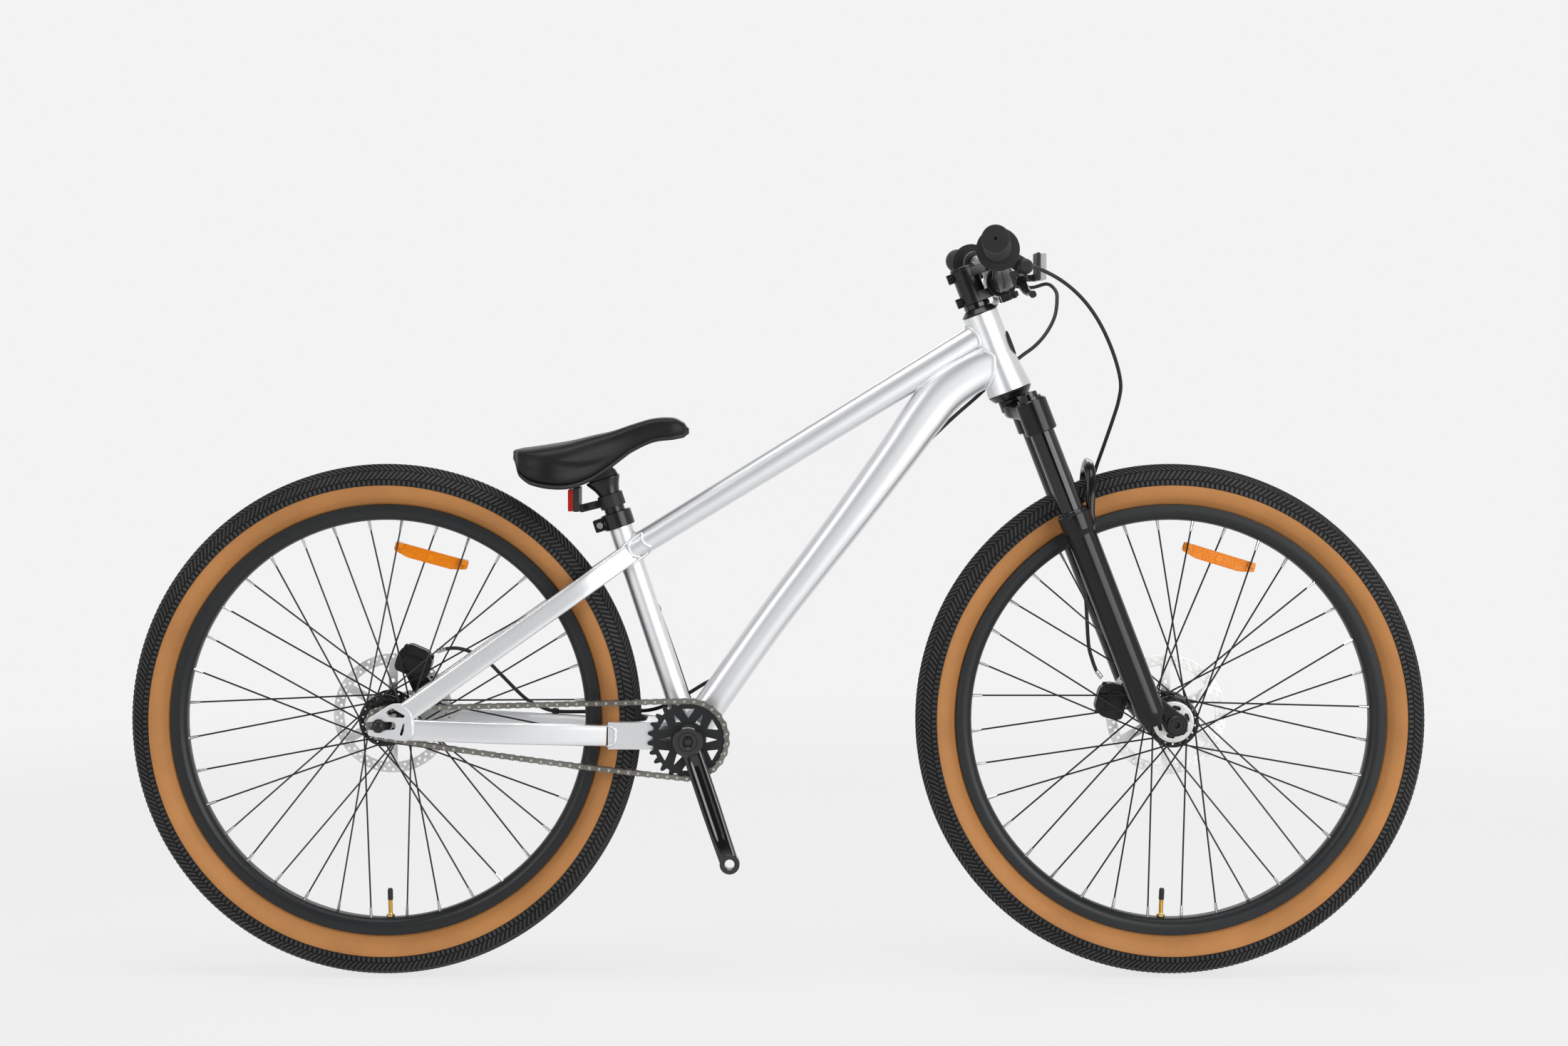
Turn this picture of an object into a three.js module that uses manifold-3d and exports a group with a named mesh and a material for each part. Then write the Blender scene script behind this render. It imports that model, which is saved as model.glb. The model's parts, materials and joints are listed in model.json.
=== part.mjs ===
// A dirt jump bike with 26 inch wheels, as an assembly of its real pieces.
// Millimetres. X forward, Y to the rider's left, Z up, ground at Z = 0, origin midway between the axles.

import * as THREE from "three";
import { mergeVertices } from "three/addons/utils/BufferGeometryUtils.js";
import Module from "manifold-3d";

const wasm = await Module();
wasm.setup();

// Layout of the whole bike
const wheelbase = 1036;
const beadRadius = 274;
const tyreHeight = 63;
const bracketReach = 63.7;
const bracketDrop = 21.6;
const headAngle = 21.07;
const seatAngle = 18.5;
const forkRoom = 143.3;
const forkOffset = 41.6;
const headTubeLength = 110;
const chainLine = 47;

// Fits
const clearance = 0.3;
const facetRoom = 0.4;
const overrun = 6;
const mergeDistance = 0.001;

// Facets
const roundSides = 16;
const smallSides = 8;
const hoseSides = 5;
const spokeSides = 3;
const wheelSides = 28;
const ringPoints = 12;

// Frame tubes
const headTubeBottomRadius = 30;
const headTubeTopRadius = 23.5;
const headTubeFlareHeight = 26;
const headTubeBottomBore = 22;
const headTubeTopBore = 19.4;
const headTubeBoreStep = 12;
const topTubeSeatDrop = 48.1;
const topTubeHeadDrop = 25.8;
const topTubeSeatRadius = 16;
const topTubeHeadRadius = 18.8;
const tubeWall = 2;
const downTubeHeadHeight = 41;
const downTubeBow = 32;
const downTubeDepth = 57.7;
const downTubeWidth = 47;
const seatTubeLength = 304;
const seatTubeRadius = 15.5;
const seatTubeBore = 13.95;
const seatTubeFoot = 19;
const bracketRadius = 21;
const bracketHalfWidth = 34;
const bracketBore = 17.3;

// Rear triangle
const chainstayHeight = 27.5;
const chainstayWidth = 14;
const chainstayStartAhead = 32;
const chainstayStartDrop = 6;
const chainstayEndAhead = 291;
const chainstayEndDrop = 17.3;
const chainstaySpread = 63.5;
const seatstayHeight = 27;
const seatstayWidth = 14;
const seatstayStartAhead = 33;
const seatstayStartRise = 15.3;
const seatstayMeetDrop = 51.2;
const seatstaySpread = 62;
const yokeStartAhead = 295;
const yokeHeight = 36;
const yokeDrop = 17.3;
const yokeHalfWidth = 43;
const yokeEndAhead = 358;
const tyreSlotHalfWidth = 32.5;
const tyreSlotEndAhead = 344;
const dropoutInside = 67.6;
const dropoutThickness = 6;
const dropoutTail = 14;
const dropoutTop = 26;
const dropoutSlotHeight = 10.6;
const dropoutSlotAhead = 22;
const brakeWebReach = 72;

// Seat clamp, seatpost and saddle
const seatClampRadius = 20.5;
const seatClampDepth = 14;
const seatClampRise = 7;
const seatClampEarReach = 17;
const seatClampEarHeight = 17;
const seatClampEarWidth = 13;
const seatpostRadius = 13.6;
const seatpostInsert = 190;
const seatpostNeckRise = 34;
const seatpostHeadRise = 53;
const seatpostHeadLength = 46;
const seatpostHeadWidth = 30;
const saddleLength = 227.5;
const saddleTailBehind = 117;
const saddleDrop = 10.95;
const saddleRise = 94;
const saddleHalfWidth = 65;
const saddleBaseThickness = 5;
const pivotBlockWidth = 26;
const pivotBlockLength = 40;
const rearReflectorBehind = 43.8;
const rearReflectorDrop = 5;
const rearReflectorHeight = 29;
const rearReflectorWidth = 46;
const rearReflectorThickness = 15;
const rearReflectorArm = 9;
const rearReflectorRingRise = 14;
const rearReflectorRingHeight = 18;
const rearReflectorRingRadius = 17;

// Fork
const steererRadius = 14.3;
const crownRaceRadius = 20;
const crownTop = 9;
const crownHalfDepth = 17;
const crownHalfHeight = 12;
const crownMiddleDrop = 24;
const crownShoulderDrop = 4;
const crownSocketDrop = 36;
const socketRadius = 21;
const socketTop = 18;
const socketBottom = 62;
const legSpread = 62;
const legOffset = 15.5;
const stanchionRadius = 16;
const stanchionWall = 2.5;
const stanchionTop = 14;
const stanchionBottom = 330;
const forkKnobRadius = 12;
const forkKnobHeight = 6;
const lowerTopRise = 309.3;
const lowerCollarHeight = 28;
const lowerCollarRadius = 22;
const lowerRadius = 19.5;
const lowerBottomRise = 10.3;
const lowerBoreRise = 34.3;
const archAhead = 17.5;
const archReach = 27;
const archDrop = 25;
const archRise = 69;
const archWidth = 16;
const archThickness = 11;
const axleLugRadius = 15.7;
const axleLugInside = 50.3;
const axleLugThickness = 11;
const axleLugNeckRise = 43.3;
const frontAxleRadius = 7.5;
const frontAxleHeadRadius = 12;
const frontAxleHeadThickness = 4;
const postMountReach = 22;
const postMountInset = 4;

// Headset, stem and handlebar
const headsetConeHeight = 8;
const headsetConeRadius = 24.5;
const headsetBore = 14.7;
const headsetCupDepth = 9;
const spacerRadius = 17.6;
const spacerHeight = 8;
const stemLowerArmHeight = 15;
const stemHeight = 47;
const stemArmHeight = 13;
const stemArmWidth = 26;
const stemClampRadius = 18.6;
const stemReach = 40.3;
const stemBarHeight = 29.4;
const stemBossRadius = 20.5;
const stemBossHalfWidth = 25;
const stemLugReach = 27;
const stemLugDepth = 9;
const stemCapThickness = 4;
const stemColumnRadius = 17.6;
const steererTopGap = 2;
const faceplateThickness = 5;
const barClampRadius = 15.9;
const barRadius = 11.1;
const barWall = 2;
const barHalfLength = 377;
const barSweep = 17.5;
const barRise = 50.3;
const gripLength = 130;
const gripRadius = 17;
const gripFlangeRadius = 27;
const gripFlangeThickness = 4;
const gripCapThickness = 4;
const gripCapHole = 2;

// Front reflector
const frontLensAhead = 45.6;
const frontLensWidth = 56;
const frontLensThickness = 13;
const frontLensHeight = 37;
const frontLensRise = 1.1;
const frontArmWidth = 9;

// Brake levers
const leverClampGap = 35;
const leverClampWidth = 14;
const leverClampRadius = 17;
const cylinderRadius = 10;
const cylinderAhead = 23.4;
const cylinderDrop = 29.5;
const cylinderOuterReach = 18;
const cylinderInnerReach = 54;
const leverPivotReach = 6;
const leverPivotDrop = 44;
const leverPivotAhead = 12;
const leverPivotRadius = 4;
const leverBladeLength = 92;
const leverBladeReach = 20;
const leverBladeThickness = 7;
const leverBladeWidth = 12;
const leverYokeThickness = 4;

// Calipers and rotors
const rotorRadius = 80;
const rotorTrackWidth = 14;
const rotorThickness = 1.8;
const rotorHubRadius = 24;
const rotorBore = 14.4;
const rotorArmWidth = 12;
const rotorArms = 6;
const frontRotorOut = 37;
const rearRotorOut = 52;
const caliperInner = 56;
const caliperOuter = 96;
const caliperHalfLength = 24;
const caliperHalfWidth = 13.5;
const caliperSlot = 5;
const caliperSlotRoom = 2;
const frontCaliperAngle = 165;
const rearCaliperAngle = 67;

// Wheels
const tyreWidth = 58;
const casingThickness = 3;
const rimLip = 10.3;
const rimDepth = 21.7;
const rimWidth = 31;
const rimWall = 3.2;
const rimFloorDrop = 3;
const spokesPerSide = 18;
const spokeCrosses = 3;
const spokeRadius = 1.1;
const spokeCircle = 29.5;
const spokeHeadOut = 5.05;
const spokeWeave = 0.78;
const spokeRimSpread = 5;
const frontLacingAngle = -3.5;
const rearLacingAngle = 4.45;
const hubFlangeRadius = 34;
const hubFlangeThickness = 3.5;
const hubBodyRadius = 16;
const frontFlangeRight = 31;
const frontFlangeLeft = 19;
const rearFlangeRight = 20;
const rearFlangeLeft = 32;
const rotorSeatRadius = 22;
const rotorLip = 2;
const frontHubCapRadius = 27;
const hubEndWall = 3;
const frontHubHalf = 49.8;
const rearHubRight = 25;
const rearHubLeft = 67.2;
const rearAxleRadius = 5;
const rearAxleSpacerRadius = 9;
const rearAxleNutRadius = 8.8;
const rearAxleNutThickness = 9;
const innerTubeWall = 1.6;
const valveRadius = 3.4;
const valveReach = 49;
const rearValveAngle = -1;
const frontValveAngle = 2.6;
const reflectorLength = 100;
const reflectorHeight = 17;
const reflectorThickness = 6;
const rearClipThickness = 12.1;
const frontClipThickness = 14.4;
const reflectorClipLength = 12;
const reflectorDrop = 53;
const rearReflectorAngle = 15.2;
const frontReflectorAngle = 17;

// Drivetrain
const chainPitch = 12.7;
const ringTeeth = 25;
const cogTeeth = 9;
const sprocketThickness = 2.4;
const toothRise = 2.9;
const toothRoot = 3.9;
const chainringWindows = 12;
const windowInner = 23;
const windowOuter = 40.5;
const windowGap = 6;
const chainringHubRadius = 20;
const chainringBore = 12.6;
const driverRadius = 13;
const driverEnd = 52;
const chainInnerHalf = 1.7;
const chainOuterHalf = 4.2;
const chainPlateHalfHeight = 4.2;
const chainRollerRadius = 3.6;
const chainSag = 3;
const chainRollers = 5;
const crankLength = 165;
const crankAngle = 19.4;
const crankBossRadius = 19.5;
const crankWidth = 26;
const crankEndRadius = 11.8;
const crankThickness = 13;
const crankInside = 52;
const crankFlare = 21;
const pedalHoleRadius = 6.4;
const crankBossRise = 3;
const spindleRadius = 12;
const spindleEnd = 64;
const bracketCupRadius = 20.5;
const bracketCupReach = 7;
const bracketCupDepth = 16;

// Brake hoses
const hoseRadius = 2.5;
const hoseSteps = 46;
const rearHoseSteps = 64;

// How square the corners of a section are, from 0 for an ellipse to 1 for a box
const topTubeSquareShare = 0.13;
const saddleSquareShare = 0.23;
const castSquareShare = 0.33;
const blockSquareShare = 0.5;
const staySquareShare = 0.6;
const cutterSquareShare = 0.9;

// Sizes that follow from those above
const tyreRadius = beadRadius + tyreHeight;
const bracketAhead = tyreRadius + bracketReach;
const forkLength = tyreRadius + forkRoom;
const rimRadius = beadRadius + rimLip;
const rimInnerRadius = rimRadius - rimDepth;
const rimFloor = beadRadius - rimFloorDrop;
const valveTip = beadRadius - valveReach;
const reflectorCircle = beadRadius - reflectorDrop;
const topTubeSeatHeight = seatTubeLength - topTubeSeatDrop;
const topTubeHeadHeight = headTubeLength - topTubeHeadDrop;
const seatstayMeetHeight = seatTubeLength - seatstayMeetDrop;
const seatpostNeckHeight = seatTubeLength + seatpostNeckRise;
const seatpostHeadHeight = seatTubeLength + seatpostHeadRise;
const stemBarRise = headTubeLength + stemBarHeight;
const lowerTop = forkLength - lowerTopRise;
const lowerCollarBottom = lowerTop + lowerCollarHeight;
const lowerBottom = forkLength - lowerBottomRise;
const lowerBoreDepth = forkLength - lowerBoreRise;
const axleLugNeckHeight = forkLength - axleLugNeckRise;
const leverClampOut = barHalfLength - gripLength - leverClampGap;
const leverPivotOut = leverClampOut + leverPivotReach;

// Tables of shares of the sizes above
const downTubeShares = [
  [0, 0, 0.72],
  [0.27, 0.42, 0.73],
  [0.44, 0.56, 0.77],
  [0.56, 0.65, 0.82],
  [0.71, 0.81, 0.9],
  [0.813, 0.96, 0.98],
  [0.885, 0.95, 1],
  [0.955, 0.53, 0.97],
  [1, 0, 0.94],
];
const chainstayShares = [
  [0, 1],
  [0.5, 0.9],
  [1, 0.6],
];
const seatstayShares = [
  [0, 1],
  [0.3, 0.93],
  [0.6, 0.81],
  [0.82, 0.69],
  [0.93, 0.46],
  [1, 0.3],
];
const barShares = [
  [0, 0, 0, 1],
  [0.09, 0, 0, 1],
  [0.16, 0, 0.06, 0.55],
  [0.265, 0.01, 0.4, 0],
  [0.37, 0.04, 0.61, 0],
  [0.48, 0.2, 0.69, 0],
  [0.655, 0.48, 0.77, 0],
  [1, 1, 1, 0],
];
const saddleShares = [
  [0, 0.39, 0.53, 0.5],
  [0.035, 0.18, 0.55, 0.8],
  [0.1, 0.06, 0.57, 0.94],
  [0.21, 0, 0.61, 1],
  [0.33, 0, 0.66, 0.9],
  [0.45, 0.1, 0.73, 0.68],
  [0.56, 0.28, 0.79, 0.5],
  [0.67, 0.48, 0.88, 0.4],
  [0.8, 0.63, 0.97, 0.35],
  [0.92, 0.67, 0.98, 0.31],
  [0.98, 0.7, 0.91, 0.22],
  [1, 0.74, 0.84, 0.1],
];
const archShares = [
  [0, 0.95, 0],
  [0.19, 0.92, 0.23],
  [0.63, 0.8, 0.6],
  [0.93, 0.54, 0.88],
  [1, 0, 1],
];
const tyreShares = [
  [0, 0.41],
  [0.18, 0.41],
  [0.33, 0.81],
  [0.52, 1],
  [0.72, 0.96],
  [0.9, 0.71],
  [1, 0.18],
];
const tyreInsideShares = [
  [0, 0.41],
  [0.18, 0.41],
  [0.33, 0.81],
  [0.72, 0.96],
  [1, 0.18],
];
const innerTubeShares = [
  [0.03, 0.05],
  [0.03, 0.24],
  [0.22, 0.36],
  [0.52, 0.78],
  [0.92, 0.45],
];
const innerTubeHollowShares = [
  [0.03, 0.05],
  [0.92, 0.45],
];
const reflectorShares = [
  [-1, -0.2],
  [-1, 0.5],
  [1, 0.5],
  [1, -0.2],
  [0.6, -0.5],
  [-0.6, -0.5],
];
const leverBladeShares = [
  [-0.05, -0.05],
  [0.12, 0.42],
  [0.28, 0.72],
  [0.6, 0.9],
  [0.85, 0.92],
  [1, 1],
];
const toothShares = [
  [-0.32, -1],
  [-0.14, 1],
  [0.14, 1],
  [0.32, -1],
];
const postMountShares = [-0.4, 1];
const outwardWindowShare = 0.75;
const inwardWindowShare = 0.6;
const lowerTipShare = 0.8;
const seatpostFlareShare = 0.9;

// Hand-chosen points of the two brake hoses, from lever to caliper
const frontHosePoints = [
  [306, -156.8, 926],
  [309, -146, 928],
  [326.6, -138, 929.8],
  [361.7, -120, 914.1],
  [393.7, -90, 889.8],
  [419.5, -62, 857.8],
  [439.8, -36, 818.7],
  [451.4, -14, 783],
  [451, 2, 758.3],
  [444.7, 16, 731.6],
  [434.7, 29, 698],
  [422, 37, 658],
  [411, 39.6, 610],
  [404, 39.8, 570],
  [406, 39.4, 530],
  [411, 38, 495],
  [414.6, 38, 433.6],
  [419.5, 37, 411],
  [426, 37, 394],
  [432.3, 37, 385.8],
];
const rearHosePoints = [
  [306, 156.6, 926],
  [309, 146, 922],
  [320, 138, 913.5],
  [346.7, 131, 910.5],
  [366.7, 118, 915],
  [377, 104, 905.8],
  [378.2, 94, 893.1],
  [373.9, 80, 870.7],
  [362.2, 66, 849.4],
  [345.6, 52, 831.1],
  [324.8, 41, 815.9],
  [300, 35.5, 796],
  [268, 32, 765],
  [226, 29, 728],
  [180, 28.5, 682],
  [96, 28, 590],
  [12, 27.5, 478],
  [-45, 27.5, 409],
  [-72, 26.3, 391],
  [-95, 24, 382],
  [-122, 22.5, 366],
  [-149, 24, 352],
  [-168, 32, 344.5],
  [-190, 40, 341.3],
  [-254.6, 46, 339.6],
  [-299.8, 51, 339.6],
  [-322, 54, 346],
  [-342.2, 57, 357],
  [-374, 62, 387],
  [-389, 66.6, 401],
  [-404, 68.2, 411],
  [-420, 66.6, 419],
  [-436, 62, 423],
  [-452, 58, 421.6],
  [-460.2, 56.5, 419.3],
];

// Points and directions that the pieces share
const lateral = new THREE.Vector3(0, 1, 0);
const radians = THREE.MathUtils.degToRad;
const headUp = new THREE.Vector3(-Math.sin(radians(headAngle)), 0, Math.cos(radians(headAngle)));
const headForward = new THREE.Vector3(Math.cos(radians(headAngle)), 0, Math.sin(radians(headAngle)));
const seatUp = new THREE.Vector3(-Math.sin(radians(seatAngle)), 0, Math.cos(radians(seatAngle)));
const rearAxleCentre = new THREE.Vector3(-wheelbase / 2, 0, tyreRadius);
const frontAxleCentre = new THREE.Vector3(wheelbase / 2, 0, tyreRadius);
const bracketCentre = rearAxleCentre.clone().add(new THREE.Vector3(bracketAhead, 0, -bracketDrop));
const headBase = frontAxleCentre
  .clone()
  .addScaledVector(headUp, forkLength)
  .addScaledVector(headForward, -forkOffset);
const steeringMatrix = new THREE.Matrix4()
  .makeRotationY(-radians(headAngle))
  .setPosition(headBase);

// Finishes
function finish(color, roughness, metalness) {
  return new THREE.MeshStandardMaterial({ color, roughness, metalness });
}
const rawAluminium = finish(0xd4d6d8, 0.35, 0.8);
const blackPaint = finish(0x101112, 0.35, 0.3);
const blackPlastic = finish(0x17181a, 0.6, 0);
const blackRubber = finish(0x1b1b1c, 0.85, 0);
const treadRubber = finish(0x222325, 0.9, 0);
const saddleVinyl = finish(0x232425, 0.6, 0);
const polishedSteel = finish(0xb9bbbd, 0.25, 1);
const chainSteel = finish(0x77756f, 0.35, 0.9);
const amberPlastic = finish(0xff8a12, 0.25, 0);
const redPlastic = finish(0xb01818, 0.25, 0);

// A closed geometry as a solid, whichever way its faces pointed
function solidOf(geometry) {
  const bare = geometry.clone();
  bare.deleteAttribute("normal");
  bare.deleteAttribute("uv");
  const merged = mergeVertices(bare, mergeDistance);
  const points = merged.attributes.position.array;
  const corners = [];
  let volume = 0;
  const a = new THREE.Vector3();
  const b = new THREE.Vector3();
  const c = new THREE.Vector3();
  for (let i = 0; i < merged.index.count; i += 3) {
    const [p, q, r] = [0, 1, 2].map((k) => merged.index.getX(i + k));
    if (p === q || q === r || r === p) continue;
    corners.push(p, q, r);
    a.fromArray(points, p * 3);
    b.fromArray(points, q * 3);
    c.fromArray(points, r * 3);
    volume += a.dot(b.cross(c));
  }
  if (volume < 0) corners.reverse();
  return new wasm.Manifold(
    new wasm.Mesh({
      numProp: 3,
      vertProperties: Float32Array.from(points),
      triVerts: Uint32Array.from(corners),
    }),
  );
}

function geometryOf(solid) {
  const mesh = solid.getMesh();
  const geometry = new THREE.BufferGeometry();
  geometry.setAttribute("position", new THREE.BufferAttribute(mesh.vertProperties, 3));
  geometry.setIndex(new THREE.BufferAttribute(mesh.triVerts, 1));
  geometry.computeVertexNormals();
  return geometry;
}

function piece(group, name, solid, material) {
  const mesh = new THREE.Mesh(geometryOf(solid), material);
  mesh.name = name;
  group.add(mesh);
  return mesh;
}

function joined(solids) {
  return solids.reduce((whole, solid) => whole.add(solid));
}

// What is left of a solid once the offcuts of its trimming are dropped
function largest(solid) {
  return solid.decompose().sort((one, other) => other.volume() - one.volume())[0];
}

// A closed skin through rings of points, capped flat at both ends
function loft(rings) {
  const count = rings[0].length;
  const points = rings.flat();
  const faces = [];
  for (let r = 0; r + 1 < rings.length; r += 1) {
    for (let i = 0; i < count; i += 1) {
      const j = (i + 1) % count;
      const low = r * count;
      const high = low + count;
      faces.push(low + i, low + j, high + j, low + i, high + j, high + i);
    }
  }
  const last = (rings.length - 1) * count;
  for (let i = 1; i + 1 < count; i += 1) {
    faces.push(0, i + 1, i);
    faces.push(last, last + i, last + i + 1);
  }
  const geometry = new THREE.BufferGeometry().setFromPoints(points);
  geometry.setIndex(faces);
  return geometry;
}

// One ring of a loft: a rounded box or an ellipse, by how square it is
function ring(centre, side, up, halfSide, halfUp, squareShare = 0, count = ringPoints) {
  const points = [];
  for (let i = 0; i < count; i += 1) {
    const angle = ((i + 0.5) / count) * 2 * Math.PI;
    const power = 1 - squareShare;
    const x = Math.sign(Math.cos(angle)) * Math.abs(Math.cos(angle)) ** power;
    const y = Math.sign(Math.sin(angle)) * Math.abs(Math.sin(angle)) ** power;
    points.push(centre.clone().addScaledVector(side, x * halfSide).addScaledVector(up, y * halfUp));
  }
  return points;
}

// Rings at right angles to a path, one for each of its points
function sweep(path, sideAxis, sizeAt, squareShare, count) {
  return path.map((centre, i) => {
    const before = path[Math.max(i - 1, 0)];
    const after = path[Math.min(i + 1, path.length - 1)];
    const along = after.clone().sub(before).normalize();
    const up = along.clone().cross(sideAxis).normalize();
    const side = up.clone().cross(along);
    const [halfSide, halfUp] = sizeAt(i);
    return ring(centre, side, up, halfSide, halfUp, squareShare, count);
  });
}

// A straight round bar between two points
function rod(start, end, radius, sides = roundSides, endRadius = radius) {
  const along = end.clone().sub(start);
  const geometry = new THREE.CylinderGeometry(endRadius, radius, along.length(), sides);
  geometry.applyQuaternion(
    new THREE.Quaternion().setFromUnitVectors(lateral, along.clone().normalize()),
  );
  geometry.translate(...start.clone().add(end).multiplyScalar(1 / 2).toArray());
  return geometry;
}

function box(low, high) {
  const size = high.clone().sub(low);
  const geometry = new THREE.BoxGeometry(size.x, size.y, size.z);
  geometry.translate(...low.clone().add(high).multiplyScalar(1 / 2).toArray());
  return geometry;
}

// A ring turned about the Y axis from [radius, y] points
function turnedY(profile, sides = roundSides) {
  const points = profile.map(([radius, y]) => new THREE.Vector2(radius, y));
  const closed = profile[0][0] > 0 ? [...points, points[0]] : points;
  return new THREE.LatheGeometry(closed, sides);
}

// The same about the Z axis from [radius, z] points
function turnedZ(profile, sides = roundSides) {
  return turnedY(profile, sides).rotateX(Math.PI / 2);
}

// An outline in X and Z, given depth along Y
function slab(outline, lowY, highY, holes = []) {
  const turned = THREE.ShapeUtils.isClockWise(outline);
  const shape = new THREE.Shape(turned ? [...outline].reverse() : outline);
  shape.holes = holes.map((hole) => new THREE.Path(hole));
  const geometry = new THREE.ExtrudeGeometry(shape, { depth: highY - lowY, bevelEnabled: false });
  return geometry.applyMatrix4(
    new THREE.Matrix4().set(1, 0, 0, 0, 0, 0, -1, highY, 0, 1, 0, 0, 0, 0, 0, 1),
  );
}

function circle(x, z, radius, sides) {
  const points = [];
  for (let i = 0; i < sides; i += 1) {
    const angle = (i / sides) * 2 * Math.PI;
    points.push(new THREE.Vector2(x + radius * Math.cos(angle), z + radius * Math.sin(angle)));
  }
  return points;
}

function at(x, y, z) {
  return new THREE.Vector3(x, y, z);
}

function mirrored(geometry) {
  return geometry.clone().scale(1, -1, 1);
}

const bike = new THREE.Group();
const steering = new THREE.Group();
steering.rotation.y = -radians(headAngle);
steering.position.copy(headBase);
bike.add(steering);
const rearWheel = new THREE.Group();
rearWheel.position.copy(rearAxleCentre);
bike.add(rearWheel);
const frontWheel = new THREE.Group();
frontWheel.position.copy(frontAxleCentre);
bike.add(frontWheel);

// Head tube, flared at its foot, with a bore that steps for the two bearings
function headTubeSkin(gap) {
  return turnedZ([
    [0, -gap],
    [headTubeBottomRadius + gap, -gap],
    [headTubeBottomRadius + gap, clearance],
    [headTubeTopRadius + gap, headTubeFlareHeight * 2],
    [headTubeTopRadius + gap, headTubeLength + gap],
    [0, headTubeLength + gap],
  ]);
}

function headTube() {
  const bore = turnedZ([
    [0, -overrun],
    [headTubeBottomBore, -overrun],
    [headTubeBottomBore, headTubeBoreStep],
    [headTubeTopBore, headTubeBoreStep],
    [headTubeTopBore, headTubeLength + overrun],
    [0, headTubeLength + overrun],
  ]);
  return solidOf(headTubeSkin(0)).subtract(solidOf(bore));
}

function headCutter() {
  const below = rod(
    at(0, 0, -2 * headTubeBottomRadius),
    at(0, 0, clearance),
    headTubeBottomRadius + clearance,
  );
  return joined([headTubeSkin(clearance), below].map((skin) => solidOf(skin.applyMatrix4(steeringMatrix))));
}

// Seat tube, open from its top down to the bracket shell
function seatPoint(height) {
  return bracketCentre.clone().addScaledVector(seatUp, height);
}

function seatTubeCutter() {
  return solidOf(rod(bracketCentre, seatPoint(seatTubeLength + overrun), seatTubeRadius + clearance));
}

function bracketCutter() {
  const half = at(0, bracketHalfWidth + overrun, 0);
  const low = bracketCentre.clone().sub(half);
  return solidOf(rod(low, bracketCentre.clone().add(half), bracketRadius + clearance));
}

function seatTube() {
  const skin = solidOf(rod(seatPoint(seatTubeFoot), seatPoint(seatTubeLength), seatTubeRadius));
  const bore = solidOf(rod(bracketCentre, seatPoint(seatTubeLength + overrun), seatTubeBore));
  return skin.subtract(bore).subtract(bracketCutter());
}

// Top tube, a straight taper between the seat tube and the head tube
function topTubeSkin(change) {
  const start = seatPoint(topTubeSeatHeight);
  const end = headBase.clone().addScaledVector(headUp, topTubeHeadHeight);
  const along = end.clone().sub(start).normalize();
  const path = [start, end];
  if (change !== 0) {
    path[0] = start.clone().addScaledVector(along, -overrun);
    path[1] = end.clone().addScaledVector(along, overrun);
  }
  const sizes = [topTubeSeatRadius + change, topTubeHeadRadius + change];
  return loft(sweep(path, lateral, (i) => [sizes[i], sizes[i]], topTubeSquareShare, roundSides));
}

function topTube() {
  const hollow = solidOf(topTubeSkin(0)).subtract(solidOf(topTubeSkin(-tubeWall)));
  return largest(hollow.subtract(seatTubeCutter()).subtract(headCutter()));
}

// Down tube, bowed up under the head tube and deeper there
function downTubeSkin(change) {
  const end = headBase.clone().addScaledVector(headUp, downTubeHeadHeight);
  const chord = end.clone().sub(bracketCentre);
  const along = chord.clone().normalize();
  const bow = along.clone().cross(lateral);
  const path = downTubeShares.map(([share, bowShare]) =>
    bracketCentre
      .clone()
      .addScaledVector(chord, share)
      .addScaledVector(bow, bowShare * downTubeBow),
  );
  const halfWidth = downTubeWidth / 2 + change;
  const halfDepth = (i) => (downTubeShares[i][2] * downTubeDepth) / 2 + change;
  return loft(sweep(path, lateral, (i) => [halfWidth, halfDepth(i)], castSquareShare, ringPoints));
}

function downTube() {
  const hollow = solidOf(downTubeSkin(0)).subtract(solidOf(downTubeSkin(-tubeWall)));
  const clear = hollow.subtract(headCutter()).subtract(solidOf(topTubeSkin(clearance)));
  return largest(clear.subtract(bracketCutter()).subtract(seatTubeCutter()));
}

// Bracket shell with the yoke that passes the tyre and holds the chainstays
function yokeBlock(gap) {
  const middle = rearAxleCentre.z - yokeDrop;
  const low = at(rearAxleCentre.x + yokeStartAhead - gap, -yokeHalfWidth, middle - yokeHeight / 2);
  const high = at(rearAxleCentre.x + yokeEndAhead, yokeHalfWidth, middle + yokeHeight / 2);
  return solidOf(box(low, high));
}

function bracketShell() {
  const half = at(0, bracketHalfWidth, 0);
  const low = bracketCentre.clone().sub(half);
  const high = bracketCentre.clone().add(half);
  const shell = solidOf(rod(low, high, bracketRadius));
  const bore = solidOf(
    rod(low.clone().sub(at(0, overrun, 0)), high.clone().add(at(0, overrun, 0)), bracketBore),
  );
  const middle = rearAxleCentre.z - yokeDrop;
  const slotStart = at(
    rearAxleCentre.x + yokeStartAhead - overrun,
    -tyreSlotHalfWidth,
    middle - yokeHeight,
  );
  const slotEnd = at(rearAxleCentre.x + tyreSlotEndAhead, tyreSlotHalfWidth, middle + yokeHeight);
  const neckLow = at(
    rearAxleCentre.x + yokeEndAhead - overrun,
    -bracketHalfWidth,
    low.z - yokeHeight / 2 + overrun,
  );
  const neckHigh = at(bracketCentre.x, bracketHalfWidth, low.z + yokeHeight / 2 - overrun);
  const yoke = yokeBlock(0).subtract(solidOf(box(slotStart, slotEnd)));
  return joined([shell, yoke, solidOf(box(neckLow, neckHigh))])
    .subtract(bore)
    .subtract(seatTubeCutter().subtract(bracketCutter()));
}

// Chainstays and seatstays, rectangular tubes that spread round the tyre
function stayPath(start, end, shares, spread) {
  return shares.map(([share, spreadShare]) => start.clone().lerp(end, share).setY(-spread * spreadShare));
}

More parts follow.
